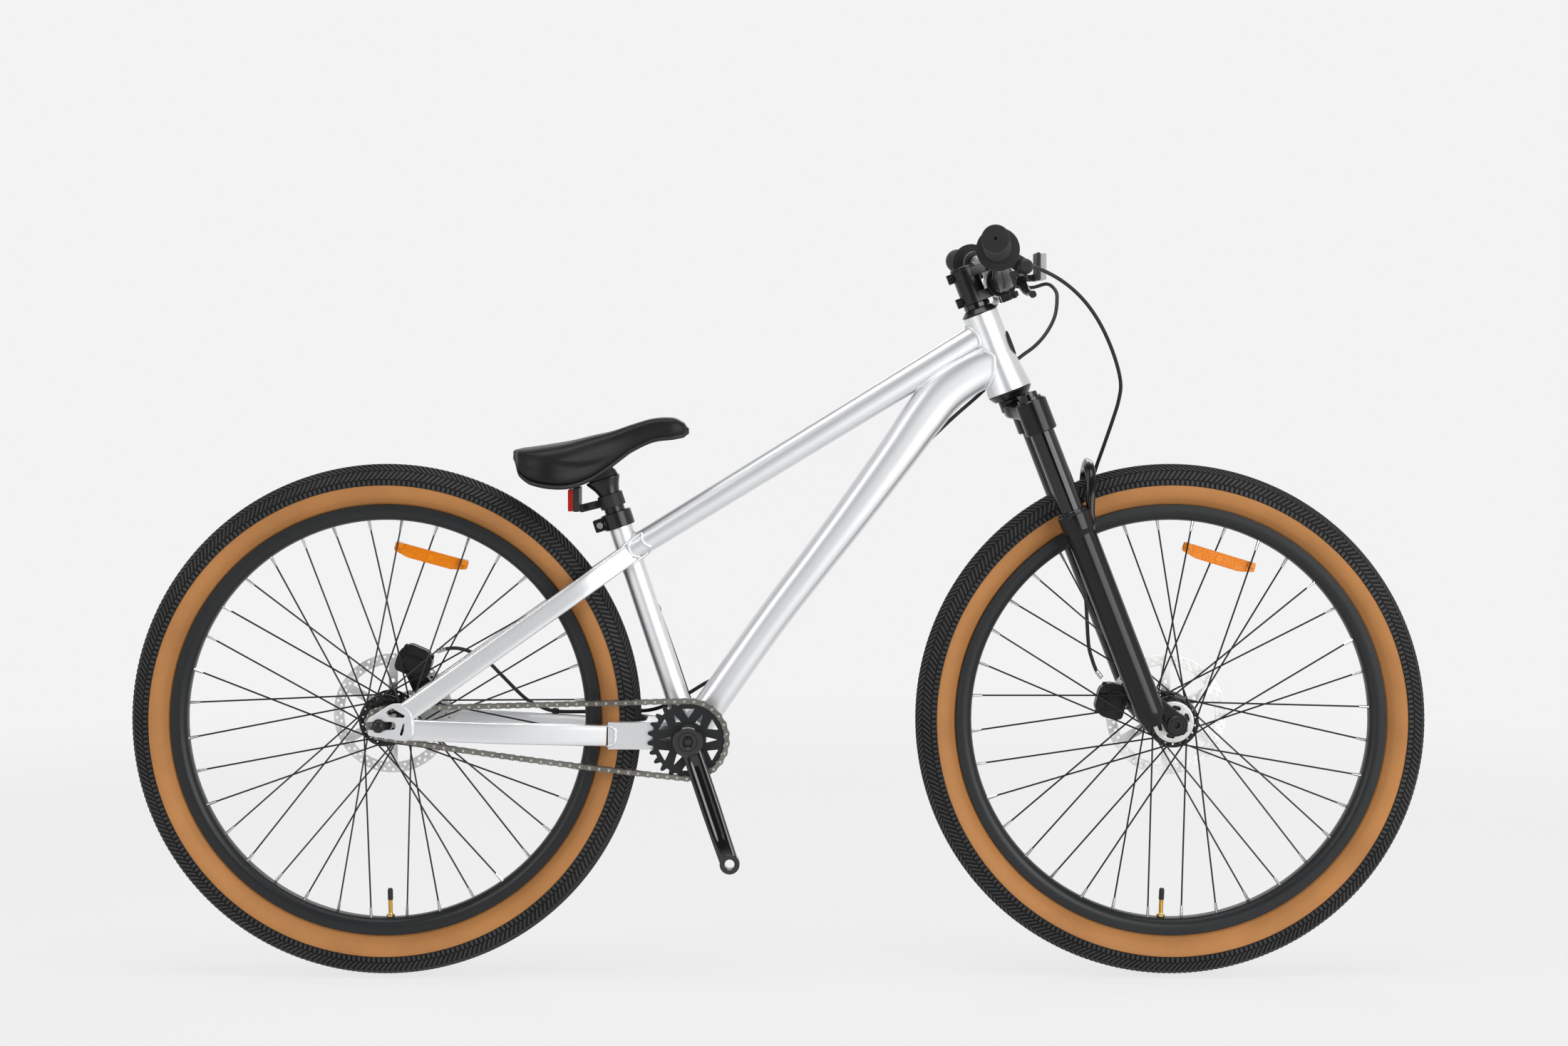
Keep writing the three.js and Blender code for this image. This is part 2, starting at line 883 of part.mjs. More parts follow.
function chainstaySkin(gap) {
  const start = rearAxleCentre.clone().add(at(chainstayStartAhead, 0, -chainstayStartDrop));
  const end = rearAxleCentre.clone().add(at(chainstayEndAhead + 4 * clearance, 0, -chainstayEndDrop));
  const path = stayPath(start, end, chainstayShares, chainstaySpread);
  const half = [chainstayWidth / 2 + gap, chainstayHeight / 2 + gap];
  return loft(sweep(path, lateral, () => half, staySquareShare));
}

function seatstayStart() {
  return rearAxleCentre.clone().add(at(seatstayStartAhead, 0, seatstayStartRise));
}

function seatstaySkin(gap) {
  const path = stayPath(seatstayStart(), seatPoint(seatstayMeetHeight), seatstayShares, seatstaySpread);
  const half = [seatstayWidth / 2 + gap, seatstayHeight / 2 + gap];
  return loft(sweep(path, lateral, () => half, staySquareShare));
}

// Dropout plate about the rear axle, open at the back
function dropoutOutline(gap) {
  return [
    at(-dropoutTail - gap, dropoutTail / 2, 0),
    at(dropoutTop - clearance - overrun - gap, dropoutTop + gap, 0),
    at(dropoutTop + overrun, dropoutTop + gap, 0),
    at(chainstayStartAhead + overrun + gap, dropoutTail + gap, 0),
    at(chainstayStartAhead + overrun + gap, -dropoutTail - overrun, 0),
    at(dropoutTop, -dropoutTail - overrun - gap, 0),
    at(-dropoutTail - gap, -dropoutTail, 0),
  ].map((point) => new THREE.Vector2(rearAxleCentre.x + point.x, rearAxleCentre.z + point.y));
}

function dropout() {
  const plate = solidOf(slab(dropoutOutline(0), -dropoutInside - dropoutThickness, -dropoutInside));
  const slotLow = at(
    -dropoutTail - overrun,
    -dropoutInside - dropoutThickness - overrun,
    -dropoutSlotHeight / 2,
  );
  const slotHigh = at(dropoutSlotAhead, -dropoutInside + overrun, dropoutSlotHeight / 2);
  const slot = solidOf(box(slotLow.add(rearAxleCentre), slotHigh.add(rearAxleCentre)));
  return plate.subtract(slot);
}

function brakeWeb() {
  const outline = [
    at(chainstayStartAhead, 0, 0),
    at(brakeWebReach, 0, 0),
    at(brakeWebReach, dropoutTop, 0),
    at(chainstayStartAhead, dropoutTop / 2, 0),
  ].map((point) => new THREE.Vector2(rearAxleCentre.x + point.x, rearAxleCentre.z + point.y));
  const middle = -chainstaySpread;
  return solidOf(slab(outline, middle - dropoutThickness / 2, middle + dropoutThickness / 2));
}

function chainstayRight() {
  const limit = yokeBlock(clearance);
  return solidOf(chainstaySkin(0)).subtract(limit).add(dropout());
}

function chainstayLeft() {
  const limit = yokeBlock(clearance);
  const right = solidOf(chainstaySkin(0)).subtract(limit).add(dropout()).add(brakeWeb());
  return solidOf(mirrored(geometryOf(right)));
}

function seatstay() {
  const plate = solidOf(
    slab(
      dropoutOutline(clearance),
      -dropoutInside - dropoutThickness - overrun,
      -dropoutInside + clearance,
    ),
  );
  const web = brakeWeb().translate(0, 0, clearance);
  return solidOf(seatstaySkin(0))
    .subtract(seatTubeCutter())
    .subtract(solidOf(topTubeSkin(clearance)))
    .subtract(solidOf(chainstaySkin(clearance)))
    .subtract(plate)
    .subtract(web);
}

function seatClamp() {
  const base = seatPoint(seatTubeLength - seatClampDepth);
  const top = seatPoint(seatTubeLength + seatClampRise);
  const back = seatUp.clone().cross(lateral);
  const band = solidOf(rod(base, top, seatClampRadius));
  const earCentre = base.clone().lerp(top, 1 / 2);
  earCentre.addScaledVector(back, seatTubeRadius + seatClampEarReach / 2 - clearance);
  const ear = loft(
    [-1, 1].map((end) =>
      ring(
        earCentre.clone().addScaledVector(seatUp, (end * seatClampEarHeight) / 2),
        back,
        lateral,
        seatClampEarReach / 2,
        seatClampEarWidth / 2,
        staySquareShare,
        smallSides,
      ),
    ),
  );
  const tubeHole = solidOf(
    rod(seatPoint(0), seatPoint(seatTubeLength + clearance), seatTubeRadius + clearance),
  );
  const postHole = solidOf(
    rod(seatPoint(0), seatPoint(seatTubeLength + seatClampRise + overrun), seatpostRadius + clearance),
  );
  return band.add(solidOf(ear)).subtract(tubeHole).subtract(postHole);
}

function buildFrame() {
  piece(steering, "head_tube", headTube(), rawAluminium);
  piece(bike, "top_tube", topTube(), rawAluminium);
  piece(bike, "down_tube", downTube(), rawAluminium);
  piece(bike, "seat_tube", seatTube(), rawAluminium);
  piece(bike, "bottom_bracket_shell", bracketShell(), rawAluminium);
  piece(bike, "chainstay_right", chainstayRight(), rawAluminium);
  piece(bike, "chainstay_left", chainstayLeft(), rawAluminium);
  const right = largest(seatstay());
  piece(bike, "seatstay_right", right, rawAluminium);
  piece(bike, "seatstay_left", solidOf(mirrored(geometryOf(right))), rawAluminium);
  piece(bike, "seat_clamp", seatClamp(), blackPaint);
}

// Headset cups, pressed in the head tube
function headsetUpperCup() {
  return solidOf(
    turnedZ([
      [headsetBore, headTubeLength - headsetCupDepth],
      [headTubeTopBore - clearance, headTubeLength - headsetCupDepth],
      [headTubeTopBore - clearance, headTubeLength + clearance],
      [headsetConeRadius, headTubeLength + clearance],
      [headsetConeRadius, headTubeLength + 4 * clearance],
      [spacerRadius, headTubeLength + headsetConeHeight],
      [headsetBore, headTubeLength + headsetConeHeight],
    ]),
  );
}

function headsetLowerCup() {
  return solidOf(
    turnedZ([
      [headsetBore, headsetCupDepth],
      [headTubeBottomBore - clearance, headsetCupDepth],
      [headTubeBottomBore - clearance, -clearance],
      [headTubeBottomRadius, -clearance],
      [headTubeBottomRadius - overrun, -crownTop + clearance],
      [headsetBore, -crownTop + clearance],
    ]),
  );
}

// Cups of the bottom bracket, screwed in the shell
function bracketCup() {
  const face = bracketHalfWidth + clearance;
  return turnedY([
    [spindleRadius + clearance, bracketCupDepth],
    [bracketBore - clearance, bracketCupDepth],
    [bracketBore - clearance, face],
    [bracketCupRadius, face],
    [bracketCupRadius, face + bracketCupReach],
    [spindleRadius + clearance, face + bracketCupReach],
  ]).translate(...bracketCentre.toArray());
}

function rearAxle() {
  const nutStart = dropoutInside + dropoutThickness + clearance;
  const nutEnd = nutStart + rearAxleNutThickness;
  const domed = rearAxleNutRadius / 2;
  return solidOf(
    turnedY([
      [0, -nutEnd],
      [domed, -nutEnd],
      [rearAxleNutRadius, -nutEnd + domed],
      [rearAxleNutRadius, -nutStart],
      [rearAxleRadius, -nutStart],
      [rearAxleRadius, -dropoutInside + clearance],
      [rearAxleSpacerRadius, -dropoutInside + clearance],
      [rearAxleSpacerRadius, -driverEnd - clearance],
      [rearAxleRadius, -driverEnd - clearance],
      [rearAxleRadius, nutStart],
      [rearAxleNutRadius, nutStart],
      [rearAxleNutRadius, nutEnd - domed],
      [domed, nutEnd],
      [0, nutEnd],
    ]).translate(...rearAxleCentre.toArray()),
  );
}

// A caliper that straddles its rotor, by angle round the axle
function caliper(centre, angle, out, bridgeInner) {
  const reach = at(Math.cos(radians(angle)), 0, Math.sin(radians(angle)));
  const along = at(-Math.sin(radians(angle)), 0, Math.cos(radians(angle)));
  const middle = centre.clone().setY(out);
  const cross = (radius) => middle.clone().addScaledVector(reach, radius);
  const body = loft(
    [caliperInner, caliperOuter].map((radius) =>
      ring(cross(radius), along, lateral, caliperHalfLength, caliperHalfWidth, blockSquareShare),
    ),
  );
  const slotSize = [2 * caliperHalfLength, caliperSlot / 2];
  const slot = loft(
    [caliperInner - overrun, rotorRadius + caliperSlotRoom].map((radius) =>
      ring(cross(radius), along, lateral, ...slotSize, cutterSquareShare, smallSides),
    ),
  );
  const solid = solidOf(body).subtract(solidOf(slot));
  if (bridgeInner === undefined) return solid;
  return solid.add(solidOf(bridgeInner(cross, along)));
}

// The rear caliper and the adapter plate that stands it on the left seatstay
function rearCaliper() {
  const start = seatstayStart();
  const along = seatPoint(seatstayMeetHeight).sub(start).normalize();
  const up = along.clone().cross(lateral).negate();
  const adapter = (cross, tangent) => {
    const onStay = (distance) =>
      start.clone().addScaledVector(along, distance).addScaledVector(up, seatstayHeight / 2);
    const onCaliper = (end) =>
      cross(caliperInner + overrun).addScaledVector(tangent, (end * caliperHalfLength) / 2);
    const outline = [onStay(0), onStay(2 * caliperHalfLength), onCaliper(-1), onCaliper(1)];
    return slab(
      outline.map((point) => new THREE.Vector2(point.x, point.z)),
      seatstaySpread - dropoutThickness / 2,
      seatstaySpread + dropoutThickness / 2,
    );
  };
  const body = caliper(rearAxleCentre, rearCaliperAngle, rearRotorOut, adapter);
  return largest(body.subtract(solidOf(mirrored(seatstaySkin(clearance)))));
}

function hose(points, steps) {
  const section = new THREE.Shape(circle(0, 0, hoseRadius, hoseSides));
  const path = new THREE.CatmullRomCurve3(points.map((point) => at(...point)), false, "centripetal");
  return solidOf(new THREE.ExtrudeGeometry(section, { steps, extrudePath: path, bevelEnabled: false }));
}

function buildFrameParts() {
  piece(steering, "headset_upper_cup", headsetUpperCup(), blackPaint);
  piece(steering, "headset_lower_cup", headsetLowerCup(), blackPaint);
  const cup = bracketCup();
  piece(bike, "bottom_bracket_cup_left", solidOf(cup), blackPaint);
  piece(bike, "bottom_bracket_cup_right", solidOf(mirrored(cup)), blackPaint);
  piece(bike, "rear_axle", rearAxle(), blackPaint);
  piece(bike, "rear_caliper", rearCaliper(), blackPaint);
  piece(bike, "rear_brake_hose", hose(rearHosePoints, rearHoseSteps), blackPlastic);
}

// Chain: two rows of side plates round both sprockets, tied by rollers where the runs are free
const cogPitchRadius = chainPitch / (2 * Math.sin(Math.PI / cogTeeth));
const ringPitchRadius = chainPitch / (2 * Math.sin(Math.PI / ringTeeth));

function chainPath() {
  const gap = bracketCentre.clone().sub(rearAxleCentre);
  const distance = gap.length();
  const along = gap.clone().normalize();
  const above = along.clone().cross(lateral);
  const lean = Math.asin((ringPitchRadius - cogPitchRadius) / distance);
  const topNormal = along
    .clone()
    .multiplyScalar(-Math.sin(lean))
    .addScaledVector(above, Math.cos(lean));
  const bottomNormal = along
    .clone()
    .multiplyScalar(-Math.sin(lean))
    .addScaledVector(above, -Math.cos(lean));
  return { topNormal, bottomNormal };
}

function arcNormals(start, end, through, count) {
  const half = [];
  for (let i = 0; i <= count; i += 1) {
    const share = i / count;
    const middle = through.clone().normalize();
    const from = share < 1 / 2 ? start : middle;
    const to = share < 1 / 2 ? middle : end;
    const local = share < 1 / 2 ? share * 2 : share * 2 - 1;
    const angle = from.angleTo(to);
    const mixed = from
      .clone()
      .multiplyScalar(Math.sin((1 - local) * angle))
      .addScaledVector(to, Math.sin(local * angle));
    half.push(mixed.normalize());
  }
  return half;
}

function bottomRun(share) {
  const { bottomNormal } = chainPath();
  const start = bracketCentre.clone().addScaledVector(bottomNormal, ringPitchRadius);
  const end = rearAxleCentre.clone().addScaledVector(bottomNormal, cogPitchRadius);
  const sag = 4 * share * (1 - share) * chainSag;
  return start.lerp(end, share).add(at(0, 0, -sag));
}

function topRun(share) {
  const { topNormal } = chainPath();
  const start = rearAxleCentre.clone().addScaledVector(topNormal, cogPitchRadius);
  const end = bracketCentre.clone().addScaledVector(topNormal, ringPitchRadius);
  return start.lerp(end, share);
}

function chainOutline(shift) {
  const { topNormal, bottomNormal } = chainPath();
  const along = bracketCentre.clone().sub(rearAxleCentre).normalize();
  const front = arcNormals(topNormal, bottomNormal, along, ringPoints);
  const rear = arcNormals(bottomNormal, topNormal, along.clone().negate(), smallSides);
  const points = front.map((normal) =>
    bracketCentre.clone().addScaledVector(normal, ringPitchRadius + shift),
  );
  for (let i = 1; i < chainRollers; i += 1) {
    points.push(bottomRun(i / chainRollers).addScaledVector(bottomNormal, shift));
  }
  rear.forEach((normal) => {
    points.push(rearAxleCentre.clone().addScaledVector(normal, cogPitchRadius + shift));
  });
  return points.map((point) => new THREE.Vector2(point.x, point.z));
}

function chain() {
  const outer = chainOutline(chainPlateHalfHeight);
  const inner = chainOutline(-chainPlateHalfHeight);
  const rows = [-1, 1].map((side) => {
    const near = -chainLine + side * chainInnerHalf;
    const far = -chainLine + side * chainOuterHalf;
    return solidOf(slab(outer, Math.min(near, far), Math.max(near, far), [inner]));
  });
  const rollers = [];
  for (let i = 1; i < chainRollers; i += 1) {
    [topRun, bottomRun].forEach((run) => {
      const centre = run(i / chainRollers);
      const half = at(0, (chainInnerHalf + chainOuterHalf) / 2, 0);
      const middle = centre.clone().setY(-chainLine);
      rollers.push(
        solidOf(rod(middle.clone().sub(half), middle.clone().add(half), chainRollerRadius, smallSides)),
      );
    });
  }
  return joined([...rows, ...rollers]);
}

function sprocketOutline(centre, teeth, pitchRadius, phase) {
  const points = [];
  for (let tooth = 0; tooth < teeth; tooth += 1) {
    toothShares.forEach(([turnShare, level]) => {
      const angle = ((tooth + turnShare) / teeth) * 2 * Math.PI + phase;
      const radius = pitchRadius + (level > 0 ? toothRise : -toothRoot);
      points.push(
        new THREE.Vector2(centre.x + radius * Math.cos(angle), centre.z + radius * Math.sin(angle)),
      );
    });
  }
  return points;
}

function sprocketSlab(centre, teeth, pitchRadius, phase, holes) {
  const low = -chainLine - sprocketThickness / 2;
  const high = -chainLine + sprocketThickness / 2;
  return slab(sprocketOutline(centre, teeth, pitchRadius, phase), low, high, holes);
}

function chainringWindow(i) {
  const outward = i % 2 === 0;
  const middle = (i / chainringWindows) * 2 * Math.PI;
  const wide = Math.PI / chainringWindows;
  const corners = outward
    ? [
        [windowInner + windowGap, 0],
        [windowOuter, wide * outwardWindowShare],
        [windowOuter, -wide * outwardWindowShare],
      ]
    : [
        [windowInner, wide * inwardWindowShare],
        [windowOuter - windowGap / 2, 0],
        [windowInner, -wide * inwardWindowShare],
      ];
  return corners.map(
    ([radius, turn]) =>
      new THREE.Vector2(
        bracketCentre.x + radius * Math.cos(middle + turn),
        bracketCentre.z + radius * Math.sin(middle + turn),
      ),
  );
}

function chainring() {
  const windows = [];
  for (let i = 0; i < chainringWindows; i += 1) windows.push(chainringWindow(i));
  const plate = solidOf(sprocketSlab(bracketCentre, ringTeeth, ringPitchRadius, 0, windows));
  const start = bracketHalfWidth + bracketCupReach + 4 * clearance;
  const hub = solidOf(
    rod(
      bracketCentre.clone().setY(-start),
      bracketCentre.clone().setY(-crankInside + clearance),
      chainringHubRadius,
    ),
  );
  const bore = solidOf(
    rod(bracketCentre.clone().setY(0), bracketCentre.clone().setY(-2 * chainLine), chainringBore),
  );
  return plate.add(hub).subtract(bore);
}

function rearCog() {
  const plate = solidOf(sprocketSlab(rearAxleCentre, cogTeeth, cogPitchRadius, 0, []));
  const driver = solidOf(
    rod(
      rearAxleCentre.clone().setY(-rearHubRight - clearance),
      rearAxleCentre.clone().setY(-driverEnd),
      driverRadius,
    ),
  );
  const bore = solidOf(
    rod(
      rearAxleCentre.clone().setY(0),
      rearAxleCentre.clone().setY(-2 * chainLine),
      rearAxleRadius + clearance,
    ),
  );
  return plate.add(driver).subtract(bore);
}

// Crank arm, flared outward to its pedal eye
function crankArm(direction) {
  const along = at(Math.sin(radians(crankAngle)), 0, -Math.cos(radians(crankAngle)));
  along.multiplyScalar(direction);
  const across = along.clone().cross(lateral);
  const middleY = -crankInside - crankThickness / 2;
  const start = bracketCentre.clone().setY(middleY);
  const end = start.clone().addScaledVector(along, crankLength).setY(middleY - crankFlare);
  const path = [start, start.clone().lerp(end, 1 / 2), end];
  const widths = [crankWidth / 2, crankWidth / 2, crankEndRadius];
  const beam = loft(
    path.map((centre, i) => ring(centre, across, lateral, widths[i], crankThickness / 2, blockSquareShare)),
  );
  const boss = rod(
    bracketCentre.clone().setY(-crankInside),
    bracketCentre.clone().setY(-crankInside - crankThickness - crankBossRise),
    crankBossRadius,
  );
  const eye = rod(
    end.clone().setY(end.y + crankThickness / 2),
    end.clone().setY(end.y - crankThickness / 2 - clearance),
    crankEndRadius,
  );
  const hole = rod(
    end.clone().setY(end.y + crankThickness),
    end.clone().setY(end.y - crankThickness),
    pedalHoleRadius,
    ringPoints,
  );
  return joined([beam, boss, eye].map(solidOf)).subtract(solidOf(hole));
}

function crankArmRight() {
  const bore = rod(
    bracketCentre.clone().setY(-crankInside + overrun),
    bracketCentre.clone().setY(-crankInside - crankThickness - overrun),
    spindleRadius + clearance,
  );
  return crankArm(1).subtract(solidOf(bore));
}

function crankArmLeft() {
  const arm = solidOf(mirrored(geometryOf(crankArm(-1))));
  const spindle = rod(
    bracketCentre.clone().setY(-spindleEnd),
    bracketCentre.clone().setY(crankInside + overrun),
    spindleRadius,
  );
  return arm.add(solidOf(spindle));
}

function buildDrivetrain() {
  piece(bike, "chain", chain(), chainSteel);
  piece(bike, "rear_cog", rearCog(), polishedSteel);
  piece(bike, "chainring", chainring(), blackPaint);
  piece(bike, "crank_arm_right", crankArmRight(), blackPaint);
  piece(bike, "crank_arm_left", crankArmLeft(), blackPaint);
}

// Wheels, each about its own axle
function halfProfile(shares, low, high, halfWidth) {
  return shares.map(([riseShare, widthShare]) => [
    low + riseShare * (high - low),
    widthShare * halfWidth,
  ]);
}

function tyre() {
  const outside = halfProfile(tyreShares, beadRadius, tyreRadius, tyreWidth / 2);
  const inside = halfProfile(
    tyreInsideShares,
    beadRadius,
    tyreRadius - casingThickness,
    tyreWidth / 2 - casingThickness,
  );
  const flip = ([radius, y]) => [radius, -y];
  return solidOf(
    turnedY(
      [
        ...outside,
        ...[...outside].reverse().map(flip),
        ...inside.map(flip),
        ...[...inside].reverse(),
      ],
      wheelSides,
    ),
  );
}

function valveRod(angle, start, end, radius) {
  const out = at(-Math.sin(radians(angle)), 0, -Math.cos(radians(angle)));
  return rod(out.clone().multiplyScalar(start), out.clone().multiplyScalar(end), radius, smallSides);
}

function innerTube(valveAngle) {
  const half = tyreWidth / 2 - casingThickness - clearance;
  const top = tyreRadius - 2 * casingThickness;
  const outside = halfProfile(innerTubeShares, beadRadius, top, half);
  const inside = halfProfile(
    innerTubeHollowShares,
    beadRadius + innerTubeWall,
    top - innerTubeWall,
    half - innerTubeWall,
  );
  const flip = ([radius, y]) => [radius, -y];
  const skin = turnedY(
    [
      ...outside,
      ...[...outside].reverse().map(flip),
      ...inside.map(flip),
      ...[...inside].reverse(),
    ],
    wheelSides,
  );
  const foot = beadRadius + 2 * innerTubeWall;
  const stem = valveRod(valveAngle, valveTip, foot, valveRadius);
  const collar = valveRod(valveAngle, beadRadius, foot, 2 * valveRadius);
  return joined([skin, stem, collar].map(solidOf));
}

function rim(valveAngle) {
  const half = rimWidth / 2;
  const shoulder = rimInnerRadius + (rimRadius - rimInnerRadius) / 2;
  const profile = turnedY(
    [
      [rimRadius, half - rimWall],
      [rimRadius, half],
      [shoulder, half],
      [rimInnerRadius, half / 2],
      [rimInnerRadius, -half / 2],
      [shoulder, -half],
      [rimRadius, -half],
      [rimRadius, -half + rimWall],
      [rimFloor, -half + rimWall],
      [rimFloor - rimWall, -half / 3],
      [rimFloor - rimWall, half / 3],
      [rimFloor, half - rimWall],
    ],
    wheelSides,
  );
  const hole = valveRod(valveAngle, valveTip, rimRadius, valveRadius + clearance);
  return solidOf(profile).subtract(solidOf(hole));
}

// Spokes of one side, crossed and laced so that they touch where they cross
function spokes(side, flangeOut, lacingAngle, first) {
  const hubOut = side * (flangeOut + spokeHeadOut);
  const rimOut = side * spokeRimSpread;
  const step = 360 / spokesPerSide;
  const solids = [];
  for (let i = 0; i < spokesPerSide; i += 1) {
    const lead = i % 2 === 0 ? 1 : -1;
    const rimTurn = radians(lacingAngle + (i + first) * step);
    const hubTurn = rimTurn + lead * radians(spokeCrosses * step);
    const start = at(
      spokeCircle * Math.sin(hubTurn),
      hubOut + side * lead * spokeWeave,
      spokeCircle * Math.cos(hubTurn),
    );
    const reach = rimInnerRadius * Math.cos(Math.PI / wheelSides) - clearance;
    const end = at(reach * Math.sin(rimTurn), rimOut, reach * Math.cos(rimTurn));
    solids.push(solidOf(rod(start, end, spokeRadius, spokeSides)));
  }
  return joined(solids);
}

function frontHub() {
  const inner = frontAxleRadius + clearance;
  const half = hubFlangeThickness / 2;
  const seat = frontRotorOut - rotorThickness / 2 - clearance;
  return solidOf(
    turnedY([
      [inner, -frontHubHalf],
      [inner + hubEndWall, -frontHubHalf],
      [inner + hubEndWall, -frontFlangeRight - 2 * half],
      [frontHubCapRadius - half / 2, -frontFlangeRight - 2 * half],
      [frontHubCapRadius, -frontFlangeRight - half],
      [hubFlangeRadius, -frontFlangeRight - half],
      [hubFlangeRadius, -frontFlangeRight + half],
      [hubBodyRadius, -frontFlangeRight + 4 * half],
      [hubBodyRadius, frontFlangeLeft - 3 * half],
      [hubFlangeRadius, frontFlangeLeft - half],
      [hubFlangeRadius, frontFlangeLeft + half],
      [rotorSeatRadius, frontFlangeLeft + half],
      [rotorSeatRadius, seat],
      [rotorBore - clearance, seat],
      [rotorBore - clearance, frontRotorOut + rotorLip],
      [inner + hubEndWall, frontRotorOut + rotorLip],
      [inner + hubEndWall, frontHubHalf],
      [inner, frontHubHalf],
    ]),
  );
}

function rearHub() {
  const inner = rearAxleRadius + clearance;
  const half = hubFlangeThickness / 2;
  const seat = rearRotorOut - rotorThickness / 2 - clearance;
  return solidOf(
    turnedY([
      [inner, -rearHubRight],
      [rotorSeatRadius, -rearHubRight],
      [hubFlangeRadius, -rearFlangeRight - half],
      [hubFlangeRadius, -rearFlangeRight + half],
      [hubBodyRadius, -rearFlangeRight + 4 * half],
      [hubBodyRadius, rearFlangeLeft - 3 * half],
      [hubFlangeRadius, rearFlangeLeft - half],
      [hubFlangeRadius, rearFlangeLeft + half],
      [rotorSeatRadius, rearFlangeLeft + half],
      [rotorSeatRadius, seat],
      [rotorBore - clearance, seat],
      [rotorBore - clearance, rearRotorOut + rotorLip],
      [inner + hubEndWall, rearRotorOut + rotorLip],
      [inner + hubEndWall, rearHubLeft],
      [inner, rearHubLeft],
    ]),
  );
}

function rotor(out) {
  const window = (i) => {
    const step = (2 * Math.PI) / rotorArms;
    const outer = rotorRadius - rotorTrackWidth;
    const outerTurn = step / 2 - rotorArmWidth / outer / 2;
    const innerTurn = step / 2 - rotorArmWidth / rotorHubRadius / 2;
    const corners = [
      [rotorHubRadius, -innerTurn],
      [rotorHubRadius, innerTurn],
      [outer, outerTurn],
      [outer, 0],
      [outer, -outerTurn],
    ];
    return corners.map(
      ([radius, turn]) =>
        new THREE.Vector2(radius * Math.cos(i * step + turn), radius * Math.sin(i * step + turn)),
    );
  };
  const windows = [];
  for (let i = 0; i < rotorArms; i += 1) windows.push(window(i));
  const bore = circle(0, 0, rotorBore, roundSides);
  const half = rotorThickness / 2;
  return solidOf(slab(circle(0, 0, rotorRadius, wheelSides), out - half, out + half, [...windows, bore]));
}

// Reflector clipped between the two sides of the spokes
function spokeReflector(angle, clipThickness) {
  const half = reflectorLength / 2;
  const outline = reflectorShares.map(
    ([alongShare, riseShare]) =>
      new THREE.Vector2(alongShare * half, reflectorCircle + riseShare * reflectorHeight),
  );
  const lens = slab(outline, -reflectorThickness / 2, reflectorThickness / 2);
  const clips = [-1, 1].map((end) => {
    const outer = at(end * half, clipThickness / 2, reflectorCircle + reflectorHeight / 2);
    const inner = at(end * (half - reflectorClipLength), -clipThickness / 2, reflectorCircle);
    return box(outer.clone().min(inner), outer.clone().max(inner));
  });
  return joined([lens, ...clips].map((part) => solidOf(part.rotateY(radians(angle)))));
}

function buildWheel(group, name, hub, flanges, lacing, rotorOut, valveAngle, reflector) {
  const [flangeRight, flangeLeft] = flanges;
  const [angle, first] = lacing;
  const step = 360 / spokesPerSide;
  piece(group, `${name}_tyre`, tyre(), treadRubber);
  piece(group, `${name}_inner_tube`, innerTube(valveAngle), blackRubber);
  piece(group, `${name}_rim`, rim(valveAngle), blackPaint);
  piece(group, `${name}_spokes_right`, spokes(-1, flangeRight, angle, first), blackPaint);
  piece(group, `${name}_spokes_left`, spokes(1, flangeLeft, angle + step / 2, first), blackPaint);
  piece(group, `${name}_hub`, hub, blackPaint);
  piece(group, `${name}_rotor`, rotor(rotorOut), polishedSteel);
  piece(group, `${name}_wheel_reflector`, reflector, amberPlastic);
}

function buildWheels() {
  const step = 180 / spokesPerSide;
  buildWheel(
    rearWheel,
    "rear",
    rearHub(),
    [rearFlangeRight, rearFlangeLeft],
    [rearLacingAngle, 1],
    rearRotorOut,
    rearValveAngle,
    spokeReflector(rearReflectorAngle, rearClipThickness),
  );
  buildWheel(
    frontWheel,
    "front",
    frontHub(),
    [frontFlangeRight, frontFlangeLeft],
    [frontLacingAngle - step, 0],
    frontRotorOut,
    frontValveAngle,
    spokeReflector(frontReflectorAngle, frontClipThickness),
  );
}

// Fork, in the head tube's own frame: Z up the steering axis from the head tube's foot
function forkCrown() {
  const path = [
    at(legOffset, -legSpread, -crownSocketDrop),
    at(legOffset / 2, -legSpread / 2, -crownMiddleDrop - crownShoulderDrop),
    at(0, -stemBossHalfWidth / 2, -crownMiddleDrop),
    at(0, stemBossHalfWidth / 2, -crownMiddleDrop),
    at(legOffset / 2, legSpread / 2, -crownMiddleDrop - crownShoulderDrop),
    at(legOffset, legSpread, -crownSocketDrop),
  ];
  const forward = at(1, 0, 0);
  const bridge = loft(sweep(path, forward, () => [crownHalfDepth, crownHalfHeight], castSquareShare));
  const sockets = [-1, 1].map((side) =>
    rod(
      at(legOffset, side * legSpread, -socketBottom),
      at(legOffset, side * legSpread, -socketTop),
      socketRadius,
    ),
  );
  const bores = [-1, 1].map((side) =>
    rod(
      at(legOffset, side * legSpread, -socketBottom - overrun),
      at(legOffset, side * legSpread, -socketTop + overrun),
      stanchionRadius + clearance,
    ),
  );
  const race = rod(at(0, 0, -crownMiddleDrop), at(0, 0, -crownTop - clearance), crownRaceRadius);
  const steererTop = headTubeLength + stemLowerArmHeight + stemHeight - steererTopGap;
  const steerer = rod(at(0, 0, -crownMiddleDrop), at(0, 0, steererTop), steererRadius);
  const hollow = rod(
    at(0, 0, -crownMiddleDrop - crownHalfHeight - overrun),
    at(0, 0, steererTop + overrun),
    steererRadius - stanchionWall,
  );
  const body = joined([bridge, ...sockets].map(solidOf));
  const cut = joined(bores.map(solidOf));
  return joined([body.subtract(cut), solidOf(race), solidOf(steerer)]).subtract(solidOf(hollow));
}

